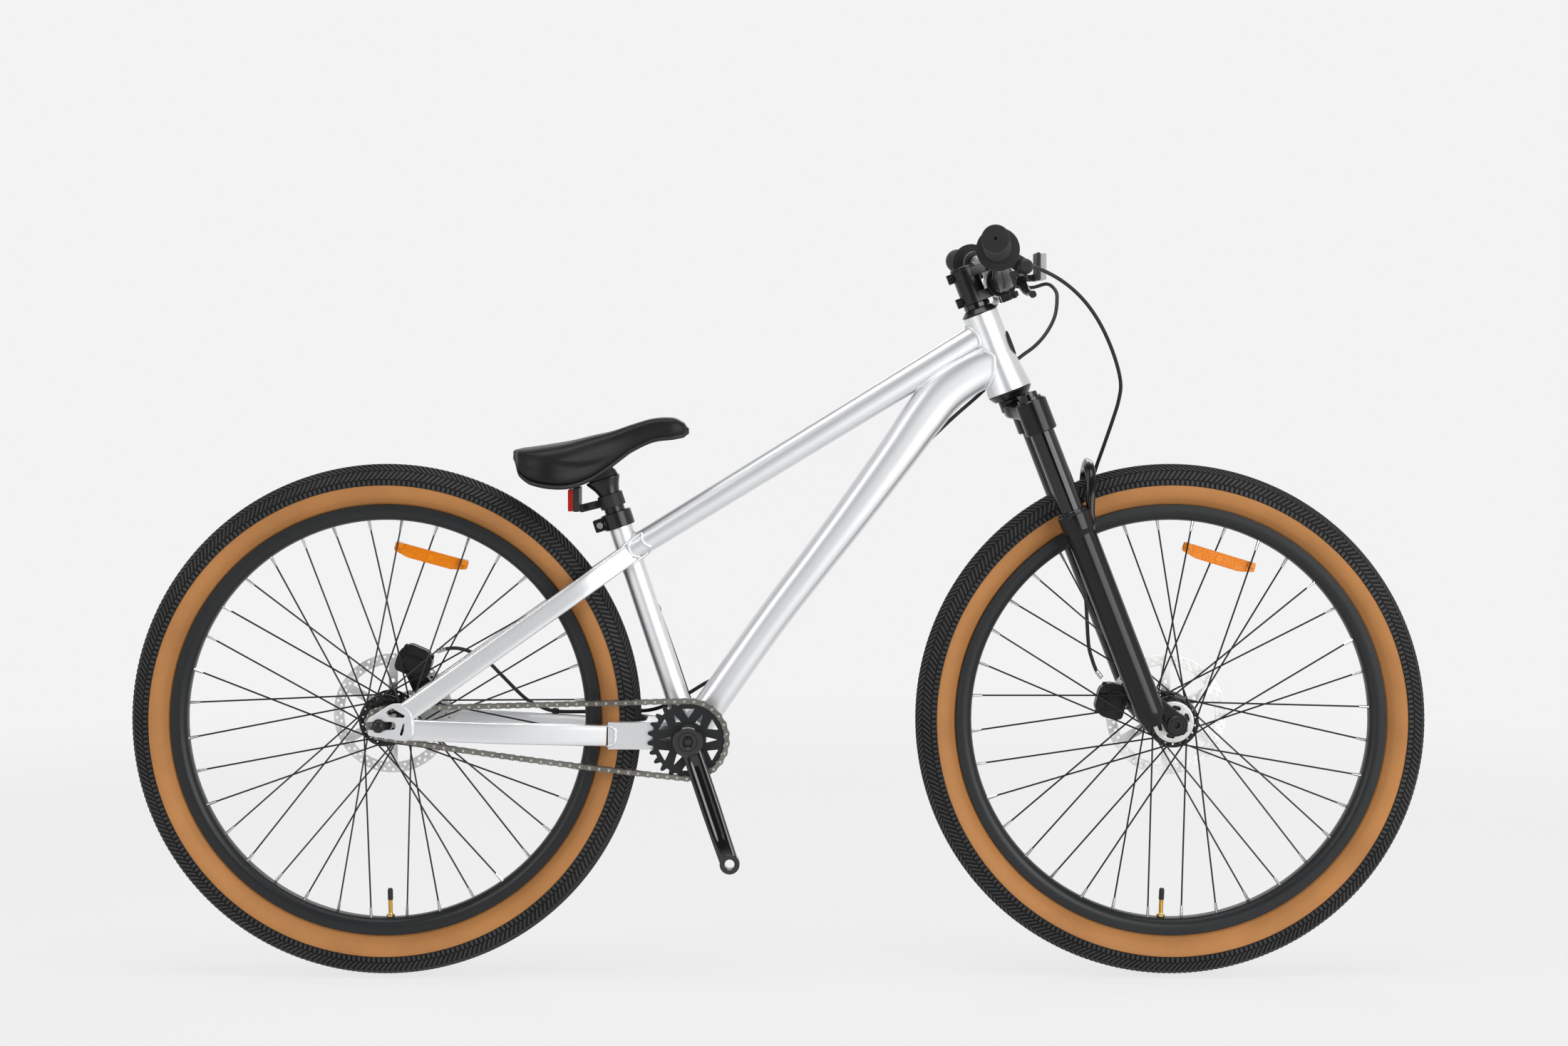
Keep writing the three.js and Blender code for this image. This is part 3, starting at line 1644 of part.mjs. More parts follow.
function stanchion(side) {
  const y = side * legSpread;
  const tube = rod(at(legOffset, y, -stanchionBottom), at(legOffset, y, -stanchionTop), stanchionRadius);
  const bore = rod(
    at(legOffset, y, -stanchionBottom - overrun),
    at(legOffset, y, -socketBottom),
    stanchionRadius - stanchionWall,
  );
  const knob = rod(
    at(legOffset, y, -stanchionTop - clearance),
    at(legOffset, y, -stanchionTop + forkKnobHeight),
    forkKnobRadius,
  );
  return solidOf(tube).add(solidOf(knob)).subtract(solidOf(bore));
}

function forkLowers() {
  const legs = [-1, 1].map((side) => {
    const y = side * legSpread;
    const leg = turnedZ([
      [0, -lowerTop],
      [lowerCollarRadius, -lowerTop],
      [lowerCollarRadius, -lowerCollarBottom],
      [lowerRadius, -lowerCollarBottom - lowerRadius / 4],
      [lowerRadius, -lowerBottom + lowerRadius / 4],
      [lowerRadius * lowerTipShare, -lowerBottom],
      [0, -lowerBottom],
    ]);
    return leg.translate(legOffset, y, 0);
  });
  const bores = [-1, 1].map((side) =>
    rod(
      at(legOffset, side * legSpread, -lowerBoreDepth),
      at(legOffset, side * legSpread, -socketBottom),
      stanchionRadius + clearance,
    ),
  );
  const archPath = [];
  const foot = at(legOffset + archAhead, 0, -lowerTop - archDrop);
  [-1, 1].forEach((side) => {
    const half = archShares.map(([forwardShare, spreadShare, riseShare]) =>
      foot
        .clone()
        .add(at(forwardShare * archReach, side * spreadShare * legSpread, riseShare * archRise)),
    );
    if (side > 0) half.reverse();
    archPath.push(...(side > 0 ? half.slice(1) : half));
  });
  const arch = loft(sweep(archPath, at(1, 0, 0), () => [archThickness / 2, archWidth / 2], castSquareShare));
  const lugs = [-1, 1].map((side) => {
    const outline = [
      ...circle(forkOffset, -forkLength, axleLugRadius, ringPoints).slice(0, ringPoints / 2 - 2),
      new THREE.Vector2(legOffset + lowerRadius / 2, -axleLugNeckHeight),
      new THREE.Vector2(legOffset, -axleLugNeckHeight),
      new THREE.Vector2(legOffset, -lowerBottom),
      ...circle(forkOffset, -forkLength, axleLugRadius, ringPoints).slice(ringPoints / 2 + 1),
    ];
    const near = side * axleLugInside;
    const far = side * (axleLugInside + axleLugThickness);
    return slab(outline, Math.min(near, far), Math.max(near, far));
  });
  const axleHole = rod(
    at(forkOffset, -2 * legSpread, -forkLength),
    at(forkOffset, 2 * legSpread, -forkLength),
    frontAxleRadius + clearance,
  );
  return joined([...legs, arch, ...lugs].map(solidOf))
    .subtract(joined(bores.map(solidOf)))
    .subtract(solidOf(axleHole));
}

function frontAxle() {
  const outside = axleLugInside + axleLugThickness + clearance;
  const start = at(forkOffset, -outside - frontAxleHeadThickness, -forkLength);
  const headEnd = at(forkOffset, -outside, -forkLength);
  const end = at(forkOffset, outside, -forkLength);
  const head = rod(start, headEnd, frontAxleHeadRadius);
  return solidOf(rod(start, end, frontAxleRadius)).add(solidOf(head));
}

function frontCaliper() {
  const centre = at(forkOffset, 0, -forkLength);
  const foot = (cross, along) =>
    loft(
      postMountShares.map((end) =>
        ring(
          cross(caliperOuter - 2 * overrun)
            .setY(frontRotorOut + caliperHalfWidth - postMountInset)
            .addScaledVector(along, -end * (caliperHalfLength + postMountReach)),
          at(1, 0, 0),
          lateral,
          dropoutThickness,
          dropoutThickness / 2,
          blockSquareShare,
          smallSides,
        ),
      ),
    );
  const angle = frontCaliperAngle - headAngle;
  const body = caliper(centre, angle, frontRotorOut, foot);
  const leg = rod(
    at(legOffset, legSpread, -lowerBottom - overrun),
    at(legOffset, legSpread, -lowerTop),
    lowerRadius + clearance,
  );
  return largest(body.subtract(solidOf(leg)));
}

function buildFork() {
  piece(steering, "fork_crown", forkCrown(), blackPaint);
  piece(steering, "stanchion_right", stanchion(-1), blackPaint);
  piece(steering, "stanchion_left", stanchion(1), blackPaint);
  piece(steering, "fork_lowers", forkLowers(), blackPaint);
  piece(steering, "front_axle", frontAxle(), blackPaint);
  piece(steering, "front_caliper", frontCaliper(), blackPaint);
  piece(bike, "front_brake_hose", hose(frontHosePoints, hoseSteps), blackPlastic);
}

// Cockpit
const barCentre = at(stemReach, 0, stemBarRise);

function spacer() {
  const low = headTubeLength + headsetConeHeight + clearance;
  return solidOf(
    turnedZ([
      [headsetBore, low],
      [spacerRadius, low],
      [spacerRadius, low + spacerHeight - 4 * clearance],
      [headsetBore, low + spacerHeight - 4 * clearance],
    ]),
  );
}

function stem() {
  const low = headTubeLength + stemLowerArmHeight + clearance;
  const high = low + stemHeight;
  const boss = rod(
    barCentre.clone().setY(-stemBossHalfWidth),
    barCentre.clone().setY(stemBossHalfWidth),
    stemBossRadius,
  );
  const arms = [low, high - stemArmHeight].map((start) => {
    const clamp = rod(at(0, 0, start), at(0, 0, start + stemArmHeight), stemClampRadius);
    const ear = box(
      at(-stemClampRadius - overrun, -stemArmWidth / 3, start),
      at(0, stemArmWidth / 3, start + stemArmHeight),
    );
    const arm = box(
      at(0, -stemArmWidth / 2, start),
      at(stemReach, stemArmWidth / 2, start + stemArmHeight),
    );
    return joined([clamp, ear, arm].map(solidOf));
  });
  const column = rod(at(0, 0, low), at(0, 0, high), stemColumnRadius);
  const cap = rod(at(0, 0, high), at(0, 0, high + stemCapThickness), stemColumnRadius);
  const bore = rod(at(0, 0, low - overrun), at(0, 0, high + clearance), steererRadius + clearance);
  const barBore = rod(
    barCentre.clone().setY(-stemBossHalfWidth - overrun),
    barCentre.clone().setY(stemBossHalfWidth + overrun),
    barClampRadius + 2 * clearance,
  );
  const front = box(
    at(stemReach + faceplateThickness, -2 * stemBossHalfWidth, 0),
    at(stemReach + 2 * stemBossRadius, 2 * stemBossHalfWidth, 2 * stemBarRise),
  );
  const lugs = box(
    at(stemReach - stemLugDepth, -stemBossHalfWidth, stemBarRise - stemLugReach),
    at(stemReach + stemLugDepth, stemBossHalfWidth, stemBarRise + stemLugReach),
  );
  return joined([solidOf(boss), ...arms, solidOf(column), solidOf(cap), solidOf(lugs)])
    .subtract(solidOf(bore))
    .subtract(solidOf(barBore))
    .subtract(solidOf(front));
}

function faceplate() {
  const boss = rod(
    barCentre.clone().setY(-stemBossHalfWidth),
    barCentre.clone().setY(stemBossHalfWidth),
    stemBossRadius,
  );
  const barBore = rod(
    barCentre.clone().setY(-stemBossHalfWidth - overrun),
    barCentre.clone().setY(stemBossHalfWidth + overrun),
    barClampRadius + 2 * clearance,
  );
  const back = box(
    at(stemReach - 2 * stemBossRadius, -2 * stemBossHalfWidth, 0),
    at(stemReach + faceplateThickness + clearance, 2 * stemBossHalfWidth, 2 * stemBarRise),
  );
  const lugs = box(
    at(stemReach, -stemBossHalfWidth, stemBarRise - stemLugReach),
    at(stemReach + faceplateThickness + stemLugDepth, stemBossHalfWidth, stemBarRise + stemLugReach),
  );
  return solidOf(boss).add(solidOf(lugs)).subtract(solidOf(barBore)).subtract(solidOf(back));
}

function barPoint([outShare, sweepShare, riseShare], side) {
  return at(
    stemReach - sweepShare * barSweep,
    side * outShare * barHalfLength,
    stemBarRise + riseShare * barRise,
  );
}

function barSkin(change) {
  const right = [...barShares].reverse().map((shares) => ({ shares, side: -1 }));
  const left = barShares.slice(1).map((shares) => ({ shares, side: 1 }));
  const stations = [...right, ...left];
  const path = stations.map(({ shares, side }) => barPoint(shares, side));
  if (change !== 0) {
    path[0].add(at(0, -overrun, 0));
    path[path.length - 1].add(at(0, overrun, 0));
  }
  const radius = (i) =>
    barRadius + stations[i].shares[3] * (barClampRadius - barRadius) + change;
  const sides = change === 0 ? roundSides : smallSides;
  return loft(sweep(path, at(1, 0, 0), (i) => [radius(i), radius(i)], 0, sides));
}

function handlebar() {
  return solidOf(barSkin(0)).subtract(solidOf(barSkin(-barWall)));
}

const barTipShares = barShares[barShares.length - 1];
const barBendShares = barShares[barShares.length - 2];

function grip(side) {
  const tip = barPoint(barTipShares, side);
  const along = tip.clone().sub(barPoint(barBendShares, side)).normalize();
  const bore = barRadius + clearance + facetRoom;
  const geometry = turnedY([
    [bore, -gripLength],
    [gripFlangeRadius, -gripLength],
    [gripFlangeRadius, -gripLength + gripFlangeThickness],
    [gripRadius, -gripLength + 2 * gripFlangeThickness],
    [gripRadius, gripCapThickness / 2],
    [gripRadius - gripCapThickness / 2, gripCapThickness],
    [gripCapHole, gripCapThickness],
    [gripCapHole, clearance],
    [bore, clearance],
  ]);
  geometry.applyQuaternion(new THREE.Quaternion().setFromUnitVectors(lateral, along));
  return solidOf(geometry.translate(...tip.toArray()));
}

// Where a lever's clamp sits on the bar
function leverSeat() {
  const inner = barPoint(barShares[5], -1);
  const outer = barPoint(barShares[6], -1);
  const share = (leverClampOut + inner.y) / (inner.y - outer.y);
  return { centre: inner.clone().lerp(outer, share), along: outer.clone().sub(inner).normalize() };
}

function leverBody() {
  const { centre, along } = leverSeat();
  const half = along.clone().multiplyScalar(leverClampWidth / 2);
  const clamp = rod(centre.clone().sub(half), centre.clone().add(half), leverClampRadius);
  const axis = centre.clone().add(at(cylinderAhead, 0, -cylinderDrop));
  const cylinder = rod(
    axis.clone().setY(-leverClampOut - cylinderOuterReach),
    axis.clone().setY(-leverClampOut + cylinderInnerReach),
    cylinderRadius,
  );
  const neckPath = [centre.clone(), axis.clone().setY(centre.y)];
  const neck = loft(sweep(neckPath, lateral, () => [leverClampWidth / 2, cylinderRadius], blockSquareShare));
  const pivot = leverPivot();
  const gap = leverBladeWidth / 2 + clearance;
  const inner = pivot.clone().add(at(-gap - leverYokeThickness, -leverPivotRadius, 2 * leverPivotRadius));
  const outer = axis.clone().setY(pivot.y + leverPivotRadius);
  const yoke = box(inner, outer);
  const ears = [-1, 1].map((side) => {
    const near = pivot.x + side * gap;
    const far = pivot.x + side * (gap + leverYokeThickness);
    return box(
      at(Math.min(near, far), pivot.y - leverPivotRadius, pivot.z - leverPivotRadius),
      at(Math.max(near, far), pivot.y + leverPivotRadius, outer.z),
    );
  });
  const pin = leverPin(leverPivotRadius / 2);
  const body = joined([clamp, cylinder, neck, yoke, ...ears, pin].map(solidOf));
  const bore = rod(
    centre.clone().addScaledVector(along, -2 * leverClampWidth),
    centre.clone().addScaledVector(along, 2 * leverClampWidth),
    barRadius + clearance + facetRoom,
  );
  return body.subtract(solidOf(bore));
}

function leverPivot() {
  const { centre } = leverSeat();
  return centre.clone().add(at(leverPivotAhead, 0, -leverPivotDrop)).setY(-leverPivotOut);
}

function leverPin(radius) {
  const pivot = leverPivot();
  const reach = at(leverBladeWidth / 2 + leverYokeThickness, 0, 0);
  return rod(pivot.clone().sub(reach), pivot.clone().add(reach), radius, smallSides);
}

// Lever blade, from its pivot out along the grip
function leverBlade() {
  const pivot = leverPivot();
  const path = leverBladeShares.map(([outShare, reachShare]) =>
    pivot.clone().add(at(0, -outShare * leverBladeLength, -reachShare * leverBladeReach)),
  );
  const blade = loft(
    sweep(
      path,
      at(1, 0, 0),
      () => [leverBladeWidth / 2, leverBladeThickness / 2],
      castSquareShare,
      smallSides,
    ),
  );
  return solidOf(blade).subtract(solidOf(leverPin(leverPivotRadius / 2 + clearance)));
}

function frontReflector() {
  const clampOut = stemBossHalfWidth + frontArmWidth / 2 + clearance;
  const half = frontArmWidth / 2;
  const lens = box(
    at(frontLensAhead, -frontLensWidth / 2, frontLensRise),
    at(frontLensAhead + frontLensThickness, frontLensWidth / 2, frontLensRise + frontLensHeight),
  );
  const arm = box(
    at(0, clampOut - half, frontLensRise),
    at(frontLensAhead + half, clampOut + half, frontLensRise + frontArmWidth),
  );
  const crossbar = box(
    at(frontLensAhead - half, 0, frontLensRise),
    at(frontLensAhead + half, clampOut + half, frontLensRise + frontArmWidth),
  );
  const upright = [lens, arm, crossbar].map((part) =>
    part.rotateY(radians(headAngle)).translate(...barCentre.toArray()),
  );
  const clamp = rod(
    barCentre.clone().setY(clampOut - half),
    barCentre.clone().setY(clampOut + half),
    barClampRadius + half,
  );
  const bore = rod(
    barCentre.clone().setY(0),
    barCentre.clone().setY(2 * clampOut),
    barClampRadius + 2 * clearance,
  );
  return joined([clamp, ...upright].map(solidOf)).subtract(solidOf(bore));
}

function buildCockpit() {
  piece(steering, "steerer_spacer", spacer(), blackPaint);
  piece(steering, "stem", stem(), blackPaint);
  piece(steering, "stem_faceplate", faceplate(), blackPaint);
  piece(steering, "handlebar", handlebar(), blackPaint);
  piece(steering, "grip_right", grip(-1), blackRubber);
  piece(steering, "grip_left", grip(1), blackRubber);
  const body = geometryOf(leverBody());
  const blade = geometryOf(leverBlade());
  piece(steering, "brake_lever_body_right", solidOf(body), blackPlastic);
  piece(steering, "brake_lever_body_left", solidOf(mirrored(body)), blackPlastic);
  piece(steering, "brake_lever_right", solidOf(blade), blackPaint);
  piece(steering, "brake_lever_left", solidOf(mirrored(blade)), blackPaint);
  piece(steering, "front_reflector", frontReflector(), polishedSteel);
}

// Seatpost with its pivotal head, the saddle and the rear reflector
function seatpost() {
  const post = rod(seatPoint(seatTubeLength - seatpostInsert), seatPoint(seatpostHeadHeight), seatpostRadius);
  const forward = lateral.clone().cross(seatUp);
  const head = loft(
    [
      [seatpostNeckHeight, 0],
      [seatpostHeadHeight - overrun, seatpostFlareShare],
      [seatpostHeadHeight, 1],
    ].map(([height, share]) =>
      ring(
        seatPoint(height),
        forward,
        lateral,
        seatpostRadius + share * (seatpostHeadLength / 2 - seatpostRadius),
        seatpostHeadWidth / 2,
        castSquareShare,
      ),
    ),
  );
  return joined([post, head].map(solidOf));
}

// The saddle's lowest tail point, hung from the seatpost's head
function saddleTail() {
  return seatPoint(seatpostHeadHeight).sub(at(saddleTailBehind, 0, saddleDrop));
}

function saddleSkin(change) {
  const tail = saddleTail();
  return loft(
    saddleShares.map(([alongShare, lowShare, highShare, widthShare]) => {
      const low = tail.z + lowShare * saddleRise;
      const high = tail.z + highShare * saddleRise;
      const centre = at(tail.x + alongShare * saddleLength, 0, (low + high) / 2);
      return ring(
        centre,
        lateral,
        at(0, 0, 1),
        widthShare * saddleHalfWidth + change,
        (high - low) / 2 + change,
        saddleSquareShare,
        roundSides,
      );
    }),
  );
}

// Space above the base shell, which the pad fills
function saddleSplit(gap) {
  const lift = saddleBaseThickness + gap;
  const tail = saddleTail();
  return loft(
    saddleShares.map(([alongShare, lowShare, highShare], i) => {
      const last = saddleShares.length - 1;
      const low = tail.z + lowShare * saddleRise + lift;
      const high = tail.z + highShare * saddleRise + saddleRise;
      const stretch = i === 0 ? -overrun : i === last ? overrun : 0;
      const centre = at(tail.x + alongShare * saddleLength + stretch, 0, (low + high) / 2);
      const halfHeight = (high - low) / 2;
      const upward = at(0, 0, 1);
      return ring(centre, lateral, upward, 2 * saddleHalfWidth, halfHeight, cutterSquareShare, smallSides);
    }),
  );
}

function saddlePad() {
  return largest(solidOf(saddleSkin(0)).intersect(solidOf(saddleSplit(clearance))));
}

function saddleBase() {
  const shell = largest(solidOf(saddleSkin(-clearance)).subtract(solidOf(saddleSplit(0))));
  const forward = lateral.clone().cross(seatUp);
  const block = loft(
    [seatpostHeadHeight + clearance, seatpostHeadHeight + 2 * overrun].map((height) =>
      ring(seatPoint(height), forward, lateral, pivotBlockLength / 2, pivotBlockWidth / 2, blockSquareShare),
    ),
  );
  return shell.add(solidOf(block).subtract(solidOf(saddleSplit(0))));
}

function rearReflector() {
  const ringLow = seatPoint(seatTubeLength + rearReflectorRingRise);
  const ringHigh = seatPoint(seatTubeLength + rearReflectorRingRise + rearReflectorRingHeight);
  const face = ringLow.clone().sub(at(rearReflectorBehind, 0, rearReflectorDrop));
  const lens = box(
    face.clone().add(at(-rearReflectorThickness, -rearReflectorWidth / 2, 0)),
    face.clone().add(at(0, rearReflectorWidth / 2, rearReflectorHeight)),
  );
  const half = rearReflectorArm / 2;
  const clamp = rod(ringLow, ringHigh, rearReflectorRingRadius);
  const arm = box(
    at(face.x - half, -half, ringLow.z - half),
    at(ringLow.x - seatpostRadius, half, ringLow.z + half),
  );
  const bore = rod(seatPoint(0), seatPoint(seatpostNeckHeight), seatpostRadius + clearance);
  return joined([lens, clamp, arm].map(solidOf)).subtract(solidOf(bore));
}

function buildSeat() {
  piece(bike, "seatpost", seatpost(), blackPaint);
  piece(bike, "saddle_base", saddleBase(), blackPlastic);
  piece(bike, "saddle_pad", saddlePad(), saddleVinyl);
  piece(bike, "rear_reflector", rearReflector(), redPlastic);
}

buildFrame();
buildFrameParts();
buildDrivetrain();
buildWheels();
buildFork();
buildCockpit();
buildSeat();

export default bike;
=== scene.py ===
# A dirt jump bike, dressed piece by piece in the order in which a mechanic puts it together.
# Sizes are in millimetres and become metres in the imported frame: X forward, Y to the left, Z up.

import json
import math

import bpy
from mathutils import Matrix, Vector
from mathutils.bvhtree import BVHTree


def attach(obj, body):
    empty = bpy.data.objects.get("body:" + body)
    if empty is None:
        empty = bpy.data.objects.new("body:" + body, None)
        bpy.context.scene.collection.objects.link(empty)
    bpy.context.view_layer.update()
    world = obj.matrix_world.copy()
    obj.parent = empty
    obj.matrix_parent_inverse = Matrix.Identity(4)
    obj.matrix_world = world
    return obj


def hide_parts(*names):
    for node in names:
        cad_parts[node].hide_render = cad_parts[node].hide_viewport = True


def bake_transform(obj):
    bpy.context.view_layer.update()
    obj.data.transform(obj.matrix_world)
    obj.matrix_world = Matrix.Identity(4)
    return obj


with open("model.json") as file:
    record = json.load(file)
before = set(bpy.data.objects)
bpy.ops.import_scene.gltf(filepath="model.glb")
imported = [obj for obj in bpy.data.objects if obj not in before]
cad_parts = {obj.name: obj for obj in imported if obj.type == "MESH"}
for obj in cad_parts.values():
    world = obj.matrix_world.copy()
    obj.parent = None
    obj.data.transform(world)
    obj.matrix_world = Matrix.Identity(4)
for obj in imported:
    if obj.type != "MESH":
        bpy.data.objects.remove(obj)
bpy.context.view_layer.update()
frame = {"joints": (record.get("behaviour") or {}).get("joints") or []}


# The picture: a level view from the chain side, as the photograph has it, over a plain pale floor.
# Broad soft boxes hang above and in front, so that tubes and black paint catch long highlights.
MM = 0.001
SENSOR_WIDTH = 36
CAMERA_DISTANCE = 3500
CAMERA_HEIGHT = 820.6
CAMERA_AHEAD = 27
VIEW_WIDTH = 2076.8
VIEW_CENTRE_AHEAD = 7.4
VIEW_CENTRE_HEIGHT = 595.5
FLOOR_REACH = 30
FLOOR_COLOUR = (0.12, 0.12, 0.12)
FLOOR_GLOW = 0.83
FLOOR_FADE = (1.5, 2.9)
WALL_COLOUR = (0.895, 0.895, 0.9)
CEILING_COLOUR = (0.2, 0.2, 0.21)
WALL_TOP = (0.42, 0.62)
CLOTH_PLACE = (0, -4.6, 2.1)
CLOTH_HALF = (4.5, 2.3)
CLOTH_COLOUR = (0.03, 0.03, 0.03)
LIGHTS = {
    "roof_box": {"at": (0, -0.4, 3.4), "aim": (0, 0, 0.5), "size": (3.4, 1.4), "power": 66},
    "front_box": {"at": (-2.3, -2.9, 1.5), "aim": (0, 0, 0.5), "size": (0.8, 2.2), "power": 34},
    "side_box": {"at": (2.2, -2.9, 1.2), "aim": (0.1, 0, 0.5), "size": (2.6, 2.2), "power": 88},
    "back_box": {"at": (0.4, 3.2, 2.4), "aim": (0, 0, 0.5), "size": (2.4, 1.0), "power": 26},
}
FORWARD = Vector((1, 0, 0))
LATERAL = Vector((0, 1, 0))
UPWARD = Vector((0, 0, 1))


def feed(tree, target, feeds):
    """Sets a shader node's inputs: each to a plain value, or to the output that feeds it."""
    for name, value in feeds.items():
        if isinstance(value, bpy.types.NodeSocket):
            tree.links.new(value, target.inputs[name])
        else:
            target.inputs[name].default_value = value


def node(tree, kind, feeds, **settings):
    made = tree.nodes.new("ShaderNode" + kind)
    for setting, value in settings.items():
        setattr(made, setting, value)
    feed(tree, made, feeds)
    return made


def ramp(tree, source, low, high):
    """A change of colour from one place on a source to another, each given as place and colour."""
    made = node(tree, "ValToRGB", {"Fac": source})
    for stop, (place, colour) in zip(made.color_ramp.elements, (low, high)):
        stop.position = place
        stop.color = (*colour, 1)
    return made.outputs["Color"]


def surface(name):
    """A new material, its node tree and its shader."""
    made = bpy.data.materials.new(name)
    made.use_nodes = True
    return made, made.node_tree, made.node_tree.nodes["Principled BSDF"]


def in_scene(name, data):
    obj = bpy.data.objects.new(name, data)
    bpy.context.scene.collection.objects.link(obj)
    return obj


def studio_sheet(name, along, up, material):
    """A flat sheet of the studio, which isn't part of the bike."""
    mesh = bpy.data.meshes.new(name)
    corners = [along * a + up * b for a, b in ((-1, -1), (1, -1), (1, 1), (-1, 1))]
    mesh.from_pydata(corners, [], [(0, 1, 2, 3)])
    mesh.materials.append(material)
    sheet = in_scene(name, mesh)
    return sheet


def floor_paint():
    """Pale card that glows softly, and fades into the colour of the walls further out."""
    made, tree, _ = surface("studio_floor")
    tree.nodes.clear()
    place = node(tree, "TexCoord", {}).outputs["Object"]
    distance = node(tree, "VectorMath", {}, operation="LENGTH")
    tree.links.new(place, distance.inputs[0])
    near, far = FLOOR_FADE
    reach = {"From Min": near, "From Max": far, "Value": distance.outputs["Value"]}
    fade = node(tree, "MapRange", reach, interpolation_type="SMOOTHSTEP").outputs["Result"]
    card = node(tree, "BsdfDiffuse", {"Color": (*FLOOR_COLOUR, 1)}).outputs["BSDF"]
    glow = node(tree, "Emission", {"Color": (*WALL_COLOUR, 1), "Strength": FLOOR_GLOW}).outputs["Emission"]
    lit = node(tree, "AddShader", {0: card, 1: glow}).outputs["Shader"]
    wall = node(tree, "Emission", {"Color": (*WALL_COLOUR, 1)}).outputs["Emission"]
    blend = node(tree, "MixShader", {"Fac": fade, 1: lit, 2: wall}).outputs["Shader"]
    node(tree, "OutputMaterial", {"Surface": blend})
    return made


eye_data = bpy.data.cameras.new("photo_view")
eye_data.sensor_width = SENSOR_WIDTH
eye_data.lens = SENSOR_WIDTH * CAMERA_DISTANCE / VIEW_WIDTH
eye_data.shift_x = (VIEW_CENTRE_AHEAD - CAMERA_AHEAD) / VIEW_WIDTH
eye_data.shift_y = (VIEW_CENTRE_HEIGHT - CAMERA_HEIGHT) / VIEW_WIDTH
eye = in_scene("photo_view", eye_data)
eye.location = Vector((CAMERA_AHEAD, -CAMERA_DISTANCE, CAMERA_HEIGHT)) * MM
eye.rotation_euler = (math.radians(90), 0, 0)
bpy.context.scene.camera = eye

studio_air = bpy.data.worlds.new("studio_air")
studio_air.use_nodes = True
air = studio_air.node_tree
air_place = node(air, "TexCoord", {}).outputs["Generated"]
air_height = node(air, "SeparateXYZ", {"Vector": air_place}).outputs["Z"]
walls = ramp(air, air_height, (WALL_TOP[0], WALL_COLOUR), (WALL_TOP[1], CEILING_COLOUR))
feed(air, air.nodes["Background"], {"Color": walls})
bpy.context.scene.world = studio_air

studio_sheet("studio_floor", FORWARD * FLOOR_REACH, LATERAL * FLOOR_REACH, floor_paint())
cloth_weave, weave_tree, weave_shader = surface("black_cloth")
feed(weave_tree, weave_shader, {"Base Color": (*CLOTH_COLOUR, 1), "Roughness": 0.95})
cloth = studio_sheet("black_cloth", FORWARD * CLOTH_HALF[0], UPWARD * CLOTH_HALF[1], cloth_weave)
cloth.location = CLOTH_PLACE
cloth.visible_camera = False
for light_name, light in LIGHTS.items():
    lamp = bpy.data.lights.new(light_name, "AREA")
    lamp.shape = "RECTANGLE"
    lamp.size, lamp.size_y = light["size"]
    lamp.energy = light["power"]
    box = in_scene(light_name, lamp)
    box.location = light["at"]
    box.rotation_euler = (Vector(light["aim"]) - Vector(light["at"])).to_track_quat("-Z", "Y").to_euler()
    box.visible_camera = False
bpy.context.scene.view_settings.view_transform = "Standard"


# Frame tubes: drawn and formed aluminium tubes, mitred and welded, left bare and lightly brushed.
# The top tube is a straight taper; the down tube is bowed up and grows deeper under the head tube.
HEAD_ANGLE = math.radians(21.07)
SEAT_ANGLE = math.radians(18.5)
HEAD_TUBE_PROFILE = [(0, 0.3), (29.2, 0.3), (30, 1.1), (23.5, 52), (23.5, 109.2), (22.9, 110), (0, 110)]
SEAT_TUBE = (11, 304)
SEAT_TUBE_RADIUS = 15.5
TOP_TUBE_RADII = (16, 18.8)
TOP_TUBE_SEAT_HEIGHT = 255.9
TOP_TUBE_HEAD_HEIGHT = 84.2
TOP_TUBE_SQUARE = 0.13
TOP_TUBE_STEPS = 12
DOWN_TUBE_HEAD_HEIGHT = 41
DOWN_TUBE_BOW = 32
DOWN_TUBE_DEPTH = 57.7
DOWN_TUBE_WIDTH = 47
DOWN_TUBE_STEPS = 6
DOWN_TUBE_SHARES = [
    (0, 0, 0.72), (0.27, 0.42, 0.73), (0.44, 0.56, 0.77), (0.56, 0.65, 0.82), (0.71, 0.81, 0.9),
    (0.813, 0.96, 0.98), (0.885, 0.95, 1), (0.955, 0.53, 0.97), (1, 0, 0.94),
]
CAST_SQUARE = 0.33
BROAD_MOTTLE = 14

joint_places = {joint["name"]: Vector(joint["pos_m"]) / MM for joint in frame["joints"] if "pos_m" in joint}
head_base = joint_places["steering_turn"]
rear_axle = joint_places["rear_wheel_spin"]
front_axle = joint_places["front_wheel_spin"]
bracket = joint_places["crank_spin"]
head_up = Vector((-math.sin(HEAD_ANGLE), 0, math.cos(HEAD_ANGLE)))
seat_up = Vector((-math.sin(SEAT_ANGLE), 0, math.cos(SEAT_ANGLE)))
steering_place = Matrix.Translation(head_base) @ Matrix.Rotation(-HEAD_ANGLE, 4, "Y")


def seat_point(height):
    return bracket + seat_up * height


